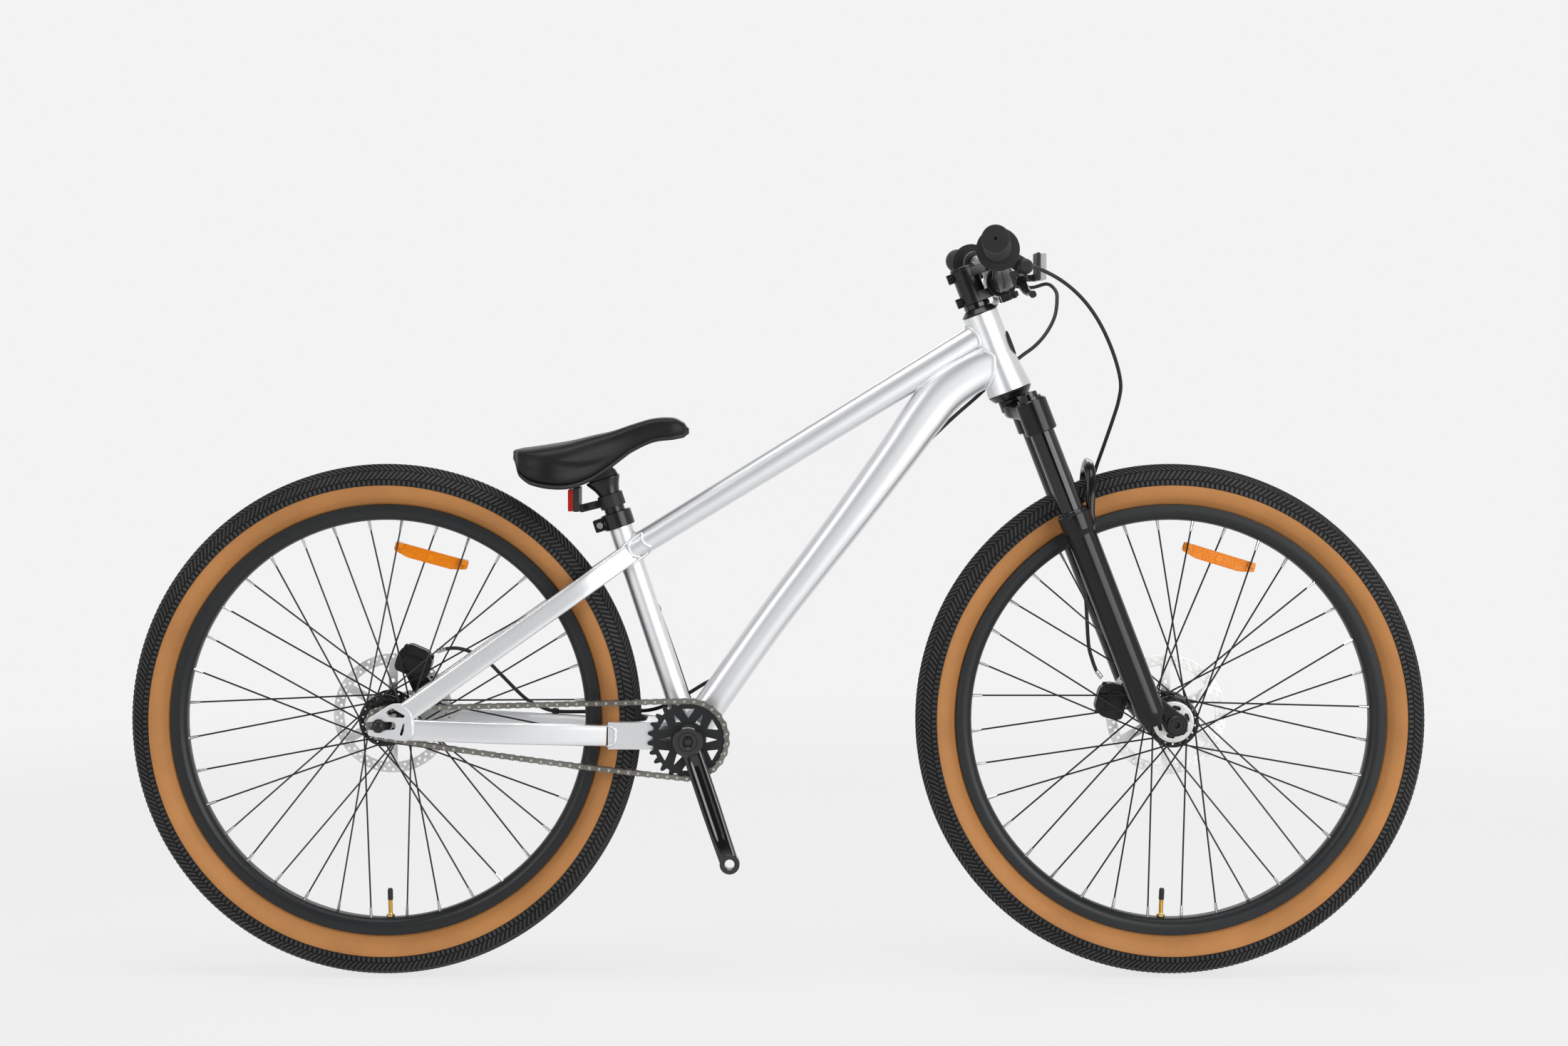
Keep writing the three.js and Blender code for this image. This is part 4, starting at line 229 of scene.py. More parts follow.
def finish(name, colour, roughness, grain, bump, mottle=0.04, metal=0.0, shine=0.28, uneven=0.12,
           stretch=(1, 1, 1)):
    """A painted, moulded or bare surface: its colour mottles slightly, and its grain is fine relief."""
    made, tree, shader = surface(name)
    place = node(tree, "TexCoord", {}).outputs["Object"]
    stretched = node(tree, "Mapping", {"Vector": place, "Scale": stretch}).outputs["Vector"]
    fine = node(tree, "TexNoise", {"Vector": stretched, "Scale": grain, "Detail": 4}).outputs["Fac"]
    broad = node(tree, "TexNoise", {"Vector": place, "Scale": BROAD_MOTTLE, "Detail": 5}).outputs["Fac"]
    dark, pale = ([min(1, c * (1 + change)) for c in colour] for change in (-mottle, mottle))
    tint = ramp(tree, broad, (0.3, dark), (0.7, pale))
    spread = {"Value": fine, "To Min": roughness * (1 - uneven), "To Max": roughness * (1 + uneven)}
    gloss = node(tree, "MapRange", spread).outputs["Result"]
    relief = node(tree, "Bump", {"Strength": bump, "Distance": MM, "Height": fine}).outputs["Normal"]
    feed(tree, shader, {"Metallic": metal, "Specular IOR Level": shine, "Base Color": tint, "Roughness": gloss,
                        "Normal": relief})
    return made


def piece(name, skin_made, material, body, place=None, replaces=None, crease=35):
    """One real piece from points in millimetres, laid by place; it rides on its body, if it has one."""
    points, faces = skin_made
    mesh = bpy.data.meshes.new(name)
    mesh.from_pydata([tuple(Vector(p) * MM) for p in points], [], faces)
    mesh.validate()
    if place is not None:
        metres = place.copy()
        metres.translation = place.translation * MM
        mesh.transform(metres)
    mesh.shade_smooth()
    mesh.set_sharp_from_angle(angle=math.radians(crease))
    mesh.materials.append(material)
    obj = in_scene(name, mesh)
    shading = obj.modifiers.new("flat_faces_stay_flat", "WEIGHTED_NORMAL")
    shading.keep_sharp = True
    if body is not None:
        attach(obj, body)
    if replaces:
        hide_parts(replaces)
    return obj


def section(centre, side, up, half_side, half_up, square, count):
    """One ring of a tube: an ellipse at square 0, a box at square 1."""
    ring = []
    for i in range(count):
        turn = (i + 0.5) / count * math.tau
        x, y = (math.copysign(abs(f(turn)) ** (1 - square), f(turn)) for f in (math.cos, math.sin))
        ring.append(centre + side * x * half_side + up * y * half_up)
    return ring


def skin(rings, closed=False):
    """Points and faces of the skin through rings of points, with its ends capped unless it closes."""
    count = len(rings[0])
    points = [p for ring in rings for p in ring]
    faces = []
    for r in range(len(rings) if closed else len(rings) - 1):
        low, high = r * count, (r + 1) % len(rings) * count
        for i in range(count):
            j = (i + 1) % count
            faces.append((low + i, low + j, high + j, high + i))
    if not closed:
        faces.append(tuple(reversed(range(count))))
        faces.append(tuple(range(len(points) - count, len(points))))
    return points, faces


def smooth_path(points, steps):
    """A Catmull-Rom curve through the points, with steps on each stretch."""
    points = [Vector(p) for p in points]
    path = []
    for i in range(len(points) - 1):
        a, b, c, d = (points[min(max(i + k, 0), len(points) - 1)] for k in (-1, 0, 1, 2))
        for s in range(steps):
            t = s / steps
            path.append(
                (b * 2 + (c - a) * t + (a * 2 - b * 5 + c * 4 - d) * t * t
                 + (b * 3 - a - c * 3 + d) * t ** 3) / 2
            )
    path.append(points[-1].copy())
    return path


def between_rows(values, steps):
    """The values beside a smooth path: even steps from each row to the next."""
    return [a + (b - a) * s / steps for a, b in zip(values, values[1:]) for s in range(steps)] + values[-1:]


def headings(path):
    """The direction of a path at each of its points."""
    return [(b - a).normalized() for a, b in zip(path[:1] + path[:-1], path[1:] + path[-1:])]


def tube(path, side_axis, halves, square=0.0, count=48):
    """Rings square to a path; halves is half the width and half the height, once or for each point."""
    rings = []
    for i, (centre, along) in enumerate(zip(path, headings(path))):
        up = along.cross(side_axis).normalized()
        half = halves[i] if isinstance(halves, list) else halves
        rings.append(section(centre, up.cross(along), up, *half, square, count))
    return rings


def joined(*parts):
    """Several sets of points and faces as one."""
    points, faces = [], []
    for more_points, more_faces in parts:
        start = len(points)
        points.extend(more_points)
        faces.extend(tuple(i + start for i in face) for face in more_faces)
    return points, faces


def turned(profile, axis="Z", centre=(0, 0, 0), count=48, closed=False):
    """A piece turned on a lathe from (radius, along) points, about Z or Y."""
    rings = []
    for radius, along in profile:
        ring = []
        for i in range(count):
            turn = i / count * math.tau
            a, b = radius * math.cos(turn), radius * math.sin(turn)
            ring.append(Vector((a, b, along) if axis == "Z" else (b, along, a)) + Vector(centre))
        rings.append(ring)
    return skin(rings, closed)


bare_alloy = finish("bare_alloy", (0.765, 0.775, 0.785), 0.42, grain=500, bump=0.001,
                    mottle=0.02, metal=1.0, shine=0.5, uneven=0.015)
top_start = seat_point(TOP_TUBE_SEAT_HEIGHT)
top_end = head_base + head_up * TOP_TUBE_HEAD_HEIGHT
top_path = [top_start.lerp(top_end, i / TOP_TUBE_STEPS) for i in range(TOP_TUBE_STEPS + 1)]
top_radii = between_rows([*TOP_TUBE_RADII], TOP_TUBE_STEPS)
down_chord = head_base + head_up * DOWN_TUBE_HEAD_HEIGHT - bracket
down_bow = down_chord.normalized().cross(LATERAL)
down_points = [bracket + down_chord * s + down_bow * b * DOWN_TUBE_BOW for s, b, _ in DOWN_TUBE_SHARES]
down_halves = [(DOWN_TUBE_WIDTH / 2, share * DOWN_TUBE_DEPTH / 2)
               for share in between_rows([row[2] for row in DOWN_TUBE_SHARES], DOWN_TUBE_STEPS)]
frame_tubes = {
    "head": turned(HEAD_TUBE_PROFILE, count=64),
    "seat": tube([seat_point(height) for height in SEAT_TUBE], LATERAL, (SEAT_TUBE_RADIUS, SEAT_TUBE_RADIUS)),
    "top": tube(top_path, LATERAL, [(r, r) for r in top_radii], TOP_TUBE_SQUARE),
    "down": tube(smooth_path(down_points, DOWN_TUBE_STEPS), LATERAL, down_halves, CAST_SQUARE),
}
tube_skins = {name: made if name == "head" else skin(made) for name, made in frame_tubes.items()}
for name, tube_skin in tube_skins.items():
    piece(f"{name}_tube_bare", tube_skin, bare_alloy, "frame", steering_place if name == "head" else None,
          f"{name}_tube")


# Bracket shell and yoke: a turned shell welded to a block that is milled out to clear the tyre.
# The yoke's two arms take the chainstays; everything is bare aluminium like the tubes.
BRACKET_RADIUS = 21
BRACKET_HALF_WIDTH = 34
BRACKET_BORE = 17.3
BRACKET_LIP = 2
YOKE_START = 295
YOKE_END = 358
YOKE_FRONT = 400
YOKE_HALF_WIDTH = 43
YOKE_HALF_HEIGHT = 18
YOKE_DROP = 17.3
TYRE_SLOT_HALF = 32.5
TYRE_SLOT_END = 344
TYRE_SLOT_ROUND = 14
YOKE_ROUND = 5


def rounded(corners, radius, steps=4):
    """An outline with its corners rounded off; a corner may carry its own radius as a third number."""
    outline = []
    for i, corner in enumerate(corners):
        spot = Vector(corner[:2])
        before = Vector(corners[i - 1][:2]) - spot
        after = Vector(corners[(i + 1) % len(corners)][:2]) - spot
        own = corner[2] if len(corner) > 2 else radius
        own = min(own, before.length * 0.49, after.length * 0.49)
        start, end = spot + before.normalized() * own, spot + after.normalized() * own
        for s in range(steps + 1):
            t = s / steps
            outline.append(start * (1 - t) ** 2 + spot * 2 * t * (1 - t) + end * t * t)
    return outline


def ring_outline(x, y, radius, count=24):
    turns = [i / count * math.tau for i in range(count)]
    return [Vector((x + radius * math.cos(turn), y + radius * math.sin(turn))) for turn in turns]


def welded(points, faces):
    """The same skin with points that lie on each other made one."""
    found, index, kept = {}, [], []
    for spot in points:
        key = (round(spot.x, 3), round(spot.y, 3), round(spot.z, 3))
        if key not in found:
            found[key] = len(kept)
            kept.append(spot)
        index.append(found[key])
    rings = [tuple(dict.fromkeys(index[i] for i in face)) for face in faces]
    return kept, [ring for ring in rings if len(ring) > 2]


def plate(outline, low, high, bevel=0.6, holes=(), steps=1, upright=True):
    """A flat plate with bevelled edges and holes. Upright, it stands in X and Z with its depth along Y."""
    curve = bpy.data.curves.new("outline", "CURVE")
    curve.dimensions = "2D"
    curve.fill_mode = "BOTH"
    curve.extrude = (high - low) / 2 - bevel
    curve.bevel_depth = bevel
    curve.bevel_resolution = steps
    curve.offset = -bevel
    for loop, wanted in [(outline, 1), *[(hole, -1) for hole in holes]]:
        area = sum(a[0] * b[1] - b[0] * a[1] for a, b in zip(loop, loop[1:] + loop[:1]))
        spline = curve.splines.new("POLY")
        spline.points.add(len(loop) - 1)
        for point, spot in zip(spline.points, loop if area * wanted > 0 else loop[::-1]):
            point.co = (spot[0], spot[1], 0, 1)
        spline.use_cyclic_u = True
    holder = in_scene("outline", curve)
    bpy.context.view_layer.update()
    solid = holder.evaluated_get(bpy.context.evaluated_depsgraph_get()).to_mesh()
    middle = (low + high) / 2
    spots = [vertex.co for vertex in solid.vertices]
    points = [Vector((p.x, middle - p.z, p.y) if upright else (p.x, p.y, middle + p.z)) for p in spots]
    faces = [tuple(face.vertices) for face in solid.polygons]
    bpy.data.objects.remove(holder)
    bpy.data.curves.remove(curve)
    return welded(points, faces)


def collar(inner, outer, low, high, edge):
    """The profile of a turned ring whose outer edges are broken by edge."""
    return [(inner, low), (outer - edge, low), (outer, low + edge), (outer, high - edge), (outer - edge, high),
            (inner, high)]


def moved(part, by):
    points, faces = part
    return [Vector(p) + Vector(by) for p in points], faces


def mirrored(part):
    """The same piece on the other side of the bike."""
    points, faces = part
    return [Vector((p[0], -p[1], p[2])) for p in points], [tuple(reversed(face)) for face in faces]


def placed(part, matrix):
    points, faces = part
    return [matrix @ Vector(p) for p in points], faces


shell_profile = [
    (BRACKET_BORE, BRACKET_LIP - BRACKET_HALF_WIDTH),
    *collar(BRACKET_BORE, BRACKET_RADIUS, -BRACKET_HALF_WIDTH, BRACKET_HALF_WIDTH, 0.7),
    (BRACKET_BORE, BRACKET_HALF_WIDTH - BRACKET_LIP),
]
shell_skin = turned(shell_profile, "Y", bracket, 64, closed=True)
yoke_half = [
    (TYRE_SLOT_END, TYRE_SLOT_HALF, TYRE_SLOT_ROUND), (YOKE_START, TYRE_SLOT_HALF, 1.5),
    (YOKE_START, YOKE_HALF_WIDTH, 1.5), (YOKE_END, YOKE_HALF_WIDTH, YOKE_ROUND),
    (YOKE_END, BRACKET_HALF_WIDTH, YOKE_ROUND), (YOKE_FRONT, BRACKET_HALF_WIDTH - BRACKET_LIP, 1),
]
yoke_corners = yoke_half + [(x, -y, own) for x, y, own in reversed(yoke_half)]
yoke_outline = rounded(yoke_corners[-3:] + yoke_corners[:-3], YOKE_ROUND)
yoke = plate(yoke_outline, -YOKE_HALF_HEIGHT, YOKE_HALF_HEIGHT, 1.4,
             steps=2, upright=False)
yoke_skin = moved(yoke, (rear_axle.x, 0, rear_axle.z - YOKE_DROP))
piece("bracket_shell_and_yoke", joined(shell_skin, yoke_skin), bare_alloy, "frame",
      replaces="bottom_bracket_shell")


# Stays and dropouts: rectangular drawn tubes that spread round the tyre to flat cut plates.
# Each plate has a slot, open at the back, for the axle, and two windows; the left one carries the brake.
STAY_SQUARE = 0.6
STAY_STEPS = 5
CHAINSTAY_START = (32, 0, -6)
CHAINSTAY_END = (292.2, 0, -17.3)
CHAINSTAY_HALF = (7, 13.75)
CHAINSTAY_SPREAD = 63.5
CHAINSTAY_SHARES = [(0, 1), (0.25, 0.96), (0.5, 0.9), (0.75, 0.77), (1, 0.6)]
SEATSTAY_START = (33, 0, 15.3)
SEATSTAY_MEET_HEIGHT = 252.8
SEATSTAY_HALF = (7, 13.5)
SEATSTAY_SPREAD = 62
SEATSTAY_SHARES = [(0, 1), (0.3, 0.93), (0.6, 0.81), (0.82, 0.69), (0.93, 0.46), (1, 0.3)]
DROPOUT_OUT = (-73.6, -67.6)
DROPOUT_CORNERS = [
    (-14, 5.3, 0.8), (-14, 9.5, 2), (16, 28.5, 5), (30, 29, 5), (43, 14, 4), (44, -13, 4), (34, -20, 5),
    (-14, -12.5, 3), (-14, -5.3, 0.8), (22, -5.3, 5.2), (22, 5.3, 5.2),
]
DROPOUT_WINDOW = [(8.8, 17.1), (17, 23.4), (34.6, 12.9), (32.4, 10.4), (14.4, 11.2)]
DROPOUT_SLIT = [(31.9, 3.6), (35.4, 2.6), (30.3, -13.2), (26.9, -12)]
BRAKE_WEB = [(34, 0), (72, 0), (72, 26), (60, 22), (34, 13)]
BRAKE_WEB_OUT = (59.5, 65.5)
WEB_HOLE = (64.5, 16.5, 2.6)


def stay(start, end, half, spread, shares):
    points = [start.lerp(end, share) - LATERAL * spread * out for share, out in shares]
    return tube(smooth_path(points, STAY_STEPS), LATERAL, half, STAY_SQUARE)


def at_axle(outline):
    return [Vector((rear_axle.x + p[0], rear_axle.z + p[1])) for p in outline]


chainstay_rings = stay(rear_axle + Vector(CHAINSTAY_START), rear_axle + Vector(CHAINSTAY_END), CHAINSTAY_HALF,
                       CHAINSTAY_SPREAD, CHAINSTAY_SHARES)
seatstay_rings = stay(rear_axle + Vector(SEATSTAY_START), seat_point(SEATSTAY_MEET_HEIGHT), SEATSTAY_HALF,
                      SEATSTAY_SPREAD, SEATSTAY_SHARES)
dropout_windows = [at_axle(rounded(DROPOUT_WINDOW, 1.6)), at_axle(rounded(DROPOUT_SLIT, 1.7))]
dropout_plate = plate(at_axle(rounded(DROPOUT_CORNERS, 3)), *DROPOUT_OUT, 0.7, dropout_windows, steps=2)
stay_skins = {"chainstay": joined(skin(chainstay_rings), dropout_plate), "seatstay": skin(seatstay_rings)}
for name, right_stay in stay_skins.items():
    for side_name, stay_skin in (("right", right_stay), ("left", mirrored(right_stay))):
        piece(f"{name}_{side_name}_bare", stay_skin, bare_alloy, "frame", replaces=f"{name}_{side_name}")
black_alloy = finish("black_alloy", (0.009, 0.009, 0.01), 0.24, grain=700, bump=0.005,
                     mottle=0.1, shine=0.36)
# The brake web is bare alloy like the dropout, but takes the black alloy as painted shade, for the shade it stands
# in on the far side.
web_plate = plate(at_axle(rounded(BRAKE_WEB, 2)), *BRAKE_WEB_OUT, 0.6, [at_axle(ring_outline(*WEB_HOLE))])
piece("brake_web_painted_shade", web_plate, black_alloy, "frame")


# Welds: rows of overlapping beads, laid by hand round every joint of the frame.
# Each row is found where the lines along one tube's skin run into the skin of the next.
BEAD_RADIUS = 2.9
STAY_BEAD_RADIUS = BEAD_RADIUS * 0.8
BEAD_PITCH = 2.3
BEAD_STEPS = 4
BEAD_SIDES = 10
BEAD_DIP = 0.16
SEAM_REACH = 30
weld_alloy = finish("weld_alloy", (0.72, 0.73, 0.74), 0.38, grain=500, bump=0.08, mottle=0.12,
                    metal=1.0)


def seam(rings, *others, forward=True, reach=SEAM_REACH):
    """Where the lines along a tube's skin first meet other skins, as a loop of points."""
    tree = BVHTree.FromPolygons(*joined(*others))
    ordered = rings if forward else rings[::-1]
    loop = []
    for i in range(len(rings[0])):
        line = [ring[i] for ring in ordered]
        line.append(line[-1] + (line[-1] - line[-2]).normalized() * reach)
        for a, b in zip(line[len(line) // 2:], line[len(line) // 2 + 1:]):
            hit = tree.ray_cast(a, (b - a).normalized(), (b - a).length)[0]
            if hit:
                loop.append(hit)
                break
    return loop


def even_steps(loop, spacing):
    """Points at an even spacing round a loop of points."""
    line = loop + loop[:1]
    lengths = [(b - a).length for a, b in zip(line, line[1:])]
    whole = sum(lengths)
    count = max(4, round(whole / spacing))
    made, place, done = [], 0, 0.0
    for k in range(count + 1):
        want = whole * k / count
        while place < len(lengths) - 1 and done + lengths[place] < want:
            done += lengths[place]
            place += 1
        t = (want - done) / max(lengths[place], 1e-6)
        made.append(line[place].lerp(line[place + 1], min(1, t)))
    return made


def rope(path, carried, radii, sides, carried_up):
    """A round skin along a path; the carried direction, kept square to it, stops it from twisting."""
    rings = []
    for centre, along, radius in zip(path, headings(path), radii):
        carried = (carried - along * carried.dot(along)).normalized()
        across = along.cross(carried)
        side, up = (across, carried) if carried_up else (carried, across)
        rings.append(section(centre, side, up, radius, radius, 0, sides))
    return skin(rings)


def bead_row(loop, radius):
    """A weld: a rope of scallops along a line of points, evened out by averaging neighbours."""
    path = even_steps(loop, BEAD_PITCH / BEAD_STEPS)
    for _ in range(6):
        path = [path[0], *[(a + b * 2 + c) / 4 for a, b, c in zip(path, path[1:], path[2:])], path[-1]]
    swells = [abs(math.sin(math.pi * i / BEAD_STEPS)) ** 0.7 for i in range(len(path))]
    radii = [radius * (1 - BEAD_DIP + BEAD_DIP * swell) for swell in swells]
    return rope(path, Vector((0.3, 0.2, 1)).normalized(), radii, BEAD_SIDES, True)


head_skin = placed(tube_skins["head"], steering_place)
tube_rows = [
    seam(frame_tubes["top"], head_skin),
    seam(frame_tubes["top"], tube_skins["seat"], forward=False),
    seam(frame_tubes["down"], head_skin, tube_skins["top"]),
    seam(frame_tubes["down"], shell_skin, forward=False),
    seam(frame_tubes["seat"], shell_skin, yoke_skin, forward=False),
]
stay_rows = [
    seam(seatstay_rings, tube_skins["seat"], tube_skins["top"]),
    seam(chainstay_rings, yoke_skin),
    seam(chainstay_rings, dropout_plate, forward=False, reach=4),
]
tube_welds = joined(*[bead_row(row, BEAD_RADIUS) for row in tube_rows if len(row) > 8])
stay_welds = joined(*[bead_row(row, STAY_BEAD_RADIUS) for row in stay_rows if len(row) > 8])
piece("frame_welds", joined(tube_welds, stay_welds, mirrored(stay_welds)), weld_alloy, "frame", crease=70)


# Seat clamp: a band of black aluminium, machined with a lip over the seat tube's top.
# One silver bolt through its two rear ears squeezes it round the tube.
CLAMP = (290, 311)
CLAMP_RADIUS = 20.5
CLAMP_MOUTH_RADIUS = 14.1
CLAMP_EAR_FOOT = -13
CLAMP_EAR_BACK = -32.5
CLAMP_EAR_HALF_HEIGHT = 8.5
CLAMP_EAR_OUT = (0.8, 6.5)
CLAMP_BOLT_RADIUS = 4.6
seat_place = Matrix.Translation(bracket) @ Matrix.Rotation(-SEAT_ANGLE, 4, "Y")
bolt_steel = finish("bolt_steel", (0.62, 0.62, 0.6), 0.28, grain=900, bump=0.03, metal=1.0)


def faced(centre, direction):
    """The place of a piece that was made upright, stood at centre and turned to a direction."""
    return Matrix.Translation(centre) @ UPWARD.rotation_difference(Vector(direction)).to_matrix().to_4x4()


def hex_bolt(centre, direction, radius, height, socket=0.5, count=24):
    """A round bolt head with a hexagon socket sunk in its top."""
    points, faces = turned([(0, 0), (radius, 0), (radius, height * 0.75), (radius * 0.85, height)], count=count)
    faces.pop()
    start = len(points)
    for depth in (1, 0.3):
        for i in range(count):
            angle = i / count * math.tau
            lobe = math.cos(math.pi / 6) / math.cos((angle % (math.pi / 3)) - math.pi / 6)
            flat = Vector((math.cos(angle), math.sin(angle), 0)) * radius * socket * lobe
            points.append(flat + Vector((0, 0, height * depth)))
    for i in range(count):
        j = (i + 1) % count
        faces.append((start - count + i, start - count + j, start + j, start + i))
        faces.append((start + i, start + j, start + count + j, start + count + i))
    faces.append(tuple(start + count + i for i in range(count)))
    return placed((points, faces), faced(centre, direction))


clamp_low, clamp_high = CLAMP
clamp_middle = (clamp_low + clamp_high) / 2
clamp_bore = SEAT_TUBE_RADIUS + 0.4
band_profile = collar(clamp_bore, CLAMP_RADIUS, clamp_low, clamp_high, 1)[:-1] + [
    (CLAMP_MOUTH_RADIUS, clamp_high), (CLAMP_MOUTH_RADIUS, clamp_high - 5), (clamp_bore, clamp_high - 6),
]
ear_low, ear_high = clamp_middle - CLAMP_EAR_HALF_HEIGHT, clamp_middle + CLAMP_EAR_HALF_HEIGHT
ear_outline = rounded([(CLAMP_EAR_FOOT, ear_low), (CLAMP_EAR_FOOT, ear_high), (CLAMP_EAR_BACK, ear_high),
                       (CLAMP_EAR_BACK, ear_low)], 2.5)
ear_near, ear_far = CLAMP_EAR_OUT
ears = [plate(ear_outline, low, high, 0.8) for low, high in ((-ear_far, -ear_near), (ear_near, ear_far))]
clamp_bolt = hex_bolt((CLAMP_EAR_BACK + 8, -ear_far, clamp_middle), -LATERAL, CLAMP_BOLT_RADIUS, 3)
piece("seat_clamp_band", joined(turned(band_profile, count=64, closed=True), *ears), black_alloy, "frame",
      seat_place, "seat_clamp")
piece("seat_clamp_bolt", clamp_bolt, bolt_steel, "frame", seat_place)


# Seatpost: a black aluminium tube, forged at its top into a head that flares fore and aft.
# It slides in the seat tube, and its head bolts up into the saddle's moulded base.
POST_RADIUS = 13.6
POST_FOOT = 114
POST_NECK = 332
POST_HEAD = 357
POST_HEAD_HALF = (23, 15)
POST_HEAD_BACK = -2
POST_HEAD_SHARES = [(0, 0), (0.25, 0.1), (0.5, 0.34), (0.75, 0.7), (0.92, 0.94), (1, 1)]
post_rings = [section(Vector((0, 0, POST_FOOT)), FORWARD, LATERAL, POST_RADIUS, POST_RADIUS, 0, 48)]
for share, flare in POST_HEAD_SHARES:
    spot = Vector((POST_HEAD_BACK * flare, 0, POST_NECK + share * (POST_HEAD - POST_NECK)))
    half = [POST_RADIUS + flare * (wide - POST_RADIUS) for wide in POST_HEAD_HALF]
    post_rings.append(section(spot, FORWARD, LATERAL, *half, CAST_SQUARE * flare, 48))
post_rings.append(section(Vector((POST_HEAD_BACK, 0, POST_HEAD + 1)), FORWARD, LATERAL,
                          *[wide - 1 for wide in POST_HEAD_HALF], CAST_SQUARE, 48))
piece("seatpost_black", skin(post_rings), black_alloy, "seat", seat_place, "seatpost")


# Saddle: foam under a smooth vinyl cover, drawn over a moulded plastic base whose edge shows below.
# The tail is high-sided with a soft ridge along each flank, and the nose rises and rounds over.
SADDLE_LENGTH = 227.5
SADDLE_TAIL = -347.58
SADDLE_LOW = 643
SADDLE_RISE = 94
SADDLE_HALF_WIDTH = 65
SADDLE_BASE_DEPTH = 5
SADDLE_SHARES = [
    (0, 0.39, 0.53, 0.5), (0.035, 0.18, 0.55, 0.8), (0.1, 0.06, 0.57, 0.94), (0.21, 0, 0.61, 1),
    (0.33, 0, 0.66, 0.9), (0.45, 0.1, 0.73, 0.68), (0.56, 0.28, 0.79, 0.5), (0.67, 0.48, 0.88, 0.4),
    (0.8, 0.63, 0.97, 0.35), (0.92, 0.67, 0.98, 0.31), (0.98, 0.7, 0.91, 0.22), (1, 0.74, 0.84, 0.1),
]
SADDLE_STEPS = 8
SADDLE_STATIONS = 64
PAD_SECTION_SHARES = [
    (0, 0.985), (0.3, 1), (0.62, 0.97), (0.86, 0.86), (0.97, 0.68), (1, 0.46), (0.985, 0.22), (0.93, 0.06),
    (0.8, 0), (0.4, 0), (0, 0),
]
FLANK_TUCK = 3.4
PIVOT_HALF = (20, 13)
PIVOT_STEPS = [(358, 1), (359, 0), (365, 1.5), (366, 3), (373, 4), (379, 6)]
black_plastic = finish("black_plastic", (0.018, 0.018, 0.019), 0.5, grain=1400, bump=0.08,
                       mottle=0.12)


def clamped(value):
    return min(1, max(0, value))


def saddle_stations():
    """The saddle's low, high and half width along its length, in closer steps at tail and nose."""
    fine = smooth_path([row[1:] for row in SADDLE_SHARES], SADDLE_STEPS)
    spots = between_rows([row[0] for row in SADDLE_SHARES], SADDLE_STEPS)
    stations = []
    for k in range(SADDLE_STATIONS + 1):
        want = 0.5 - 0.5 * math.cos(math.pi * k / SADDLE_STATIONS)
        near = min(range(len(spots)), key=lambda n: abs(spots[n] - want))
        other = min(max(near + (1 if spots[near] < want else -1), 0), len(spots) - 1)
        gap = spots[other] - spots[near]
        t = 0 if abs(gap) < 1e-9 else (want - spots[near]) / gap
        stations.append((want, fine[near].lerp(fine[other], t)))
    return stations


def flank_tuck(share, spot):
    """How far the flank is tucked in below the ridge that sweeps forward and down from the tail."""
    ridge = 0.8 - 1.15 * max(0, share - 0.1)
    fade = 1 - clamped((share - 0.42) / 0.14)
    below = clamped((ridge - spot.y) / 0.09)
    upward = clamped((spot.y - 0.02) / 0.3)
    return FLANK_TUCK * fade * below * below * (3 - 2 * below) * upward if abs(spot.x) > 0.5 else 0


def saddle_skin(lift, depth, inset):
    """The pad, which has no depth of its own, or the base of a given depth that shows under it."""
    outline = smooth_path(PAD_SECTION_SHARES, 6)
    whole = outline + [Vector((-p.x, p.y)) for p in reversed(outline[1:-1])]
    rings = []
    for share, (low, high, wide) in saddle_stations():
        bottom = SADDLE_LOW + low * SADDLE_RISE + lift
        top = bottom + depth if depth else SADDLE_LOW + high * SADDLE_RISE
        half = wide * SADDLE_HALF_WIDTH - inset
        ring = []
        for p in whole:
            across = p.x * half - math.copysign(0 if depth else flank_tuck(share, p), p.x)
            ring.append(Vector((SADDLE_TAIL + share * SADDLE_LENGTH, across, bottom + p.y * (top - bottom))))
        rings.append(ring)
    for end, outward in ((0, -1), (-1, 1)):
        ring = rings[end]
        centre = sum(ring, Vector()) / len(ring)
        for shrink, step in ((0.86, 0.9), (0.6, 1.6)):
            cap = [centre.lerp(p, shrink) + FORWARD * outward * step for p in ring]
            rings = [cap] + rings if end == 0 else rings + [cap]
    return skin(rings)


def vinyl():
    """Smooth black vinyl with fine leather pores over its grain."""
    made = finish("saddle_vinyl", (0.007, 0.007, 0.008), 0.42, grain=900, bump=0.06,
                  mottle=0.12, shine=0.2)
    tree = made.node_tree
    place = node(tree, "TexCoord", {}).outputs["Object"]
    pores = node(tree, "TexVoronoi", {"Scale": 700, "Vector": place}).outputs["Distance"]
    grain = tree.nodes["Bump"].outputs["Normal"]
    relief = node(tree, "Bump", {"Strength": 0.1, "Distance": MM, "Height": pores, "Normal": grain})
    feed(tree, tree.nodes["Principled BSDF"], {"Normal": relief.outputs["Normal"]})
    return made


pad = piece("saddle_cover", saddle_skin(SADDLE_BASE_DEPTH, None, 0), vinyl(), "seat", None, "saddle_pad",
            crease=180)
pivot_rings = []
for height, shrink in PIVOT_STEPS:
    pivot_rings.append(section(Vector((-1, 0, height)), FORWARD, LATERAL, PIVOT_HALF[0] - shrink,
                               PIVOT_HALF[1] - shrink / 2, 0.4, 40))
base_skin = joined(saddle_skin(0, SADDLE_BASE_DEPTH + 3, 1.6), placed(skin(pivot_rings), seat_place))
piece("saddle_base_shell", base_skin, black_plastic, "seat", None, "saddle_base", crease=40)


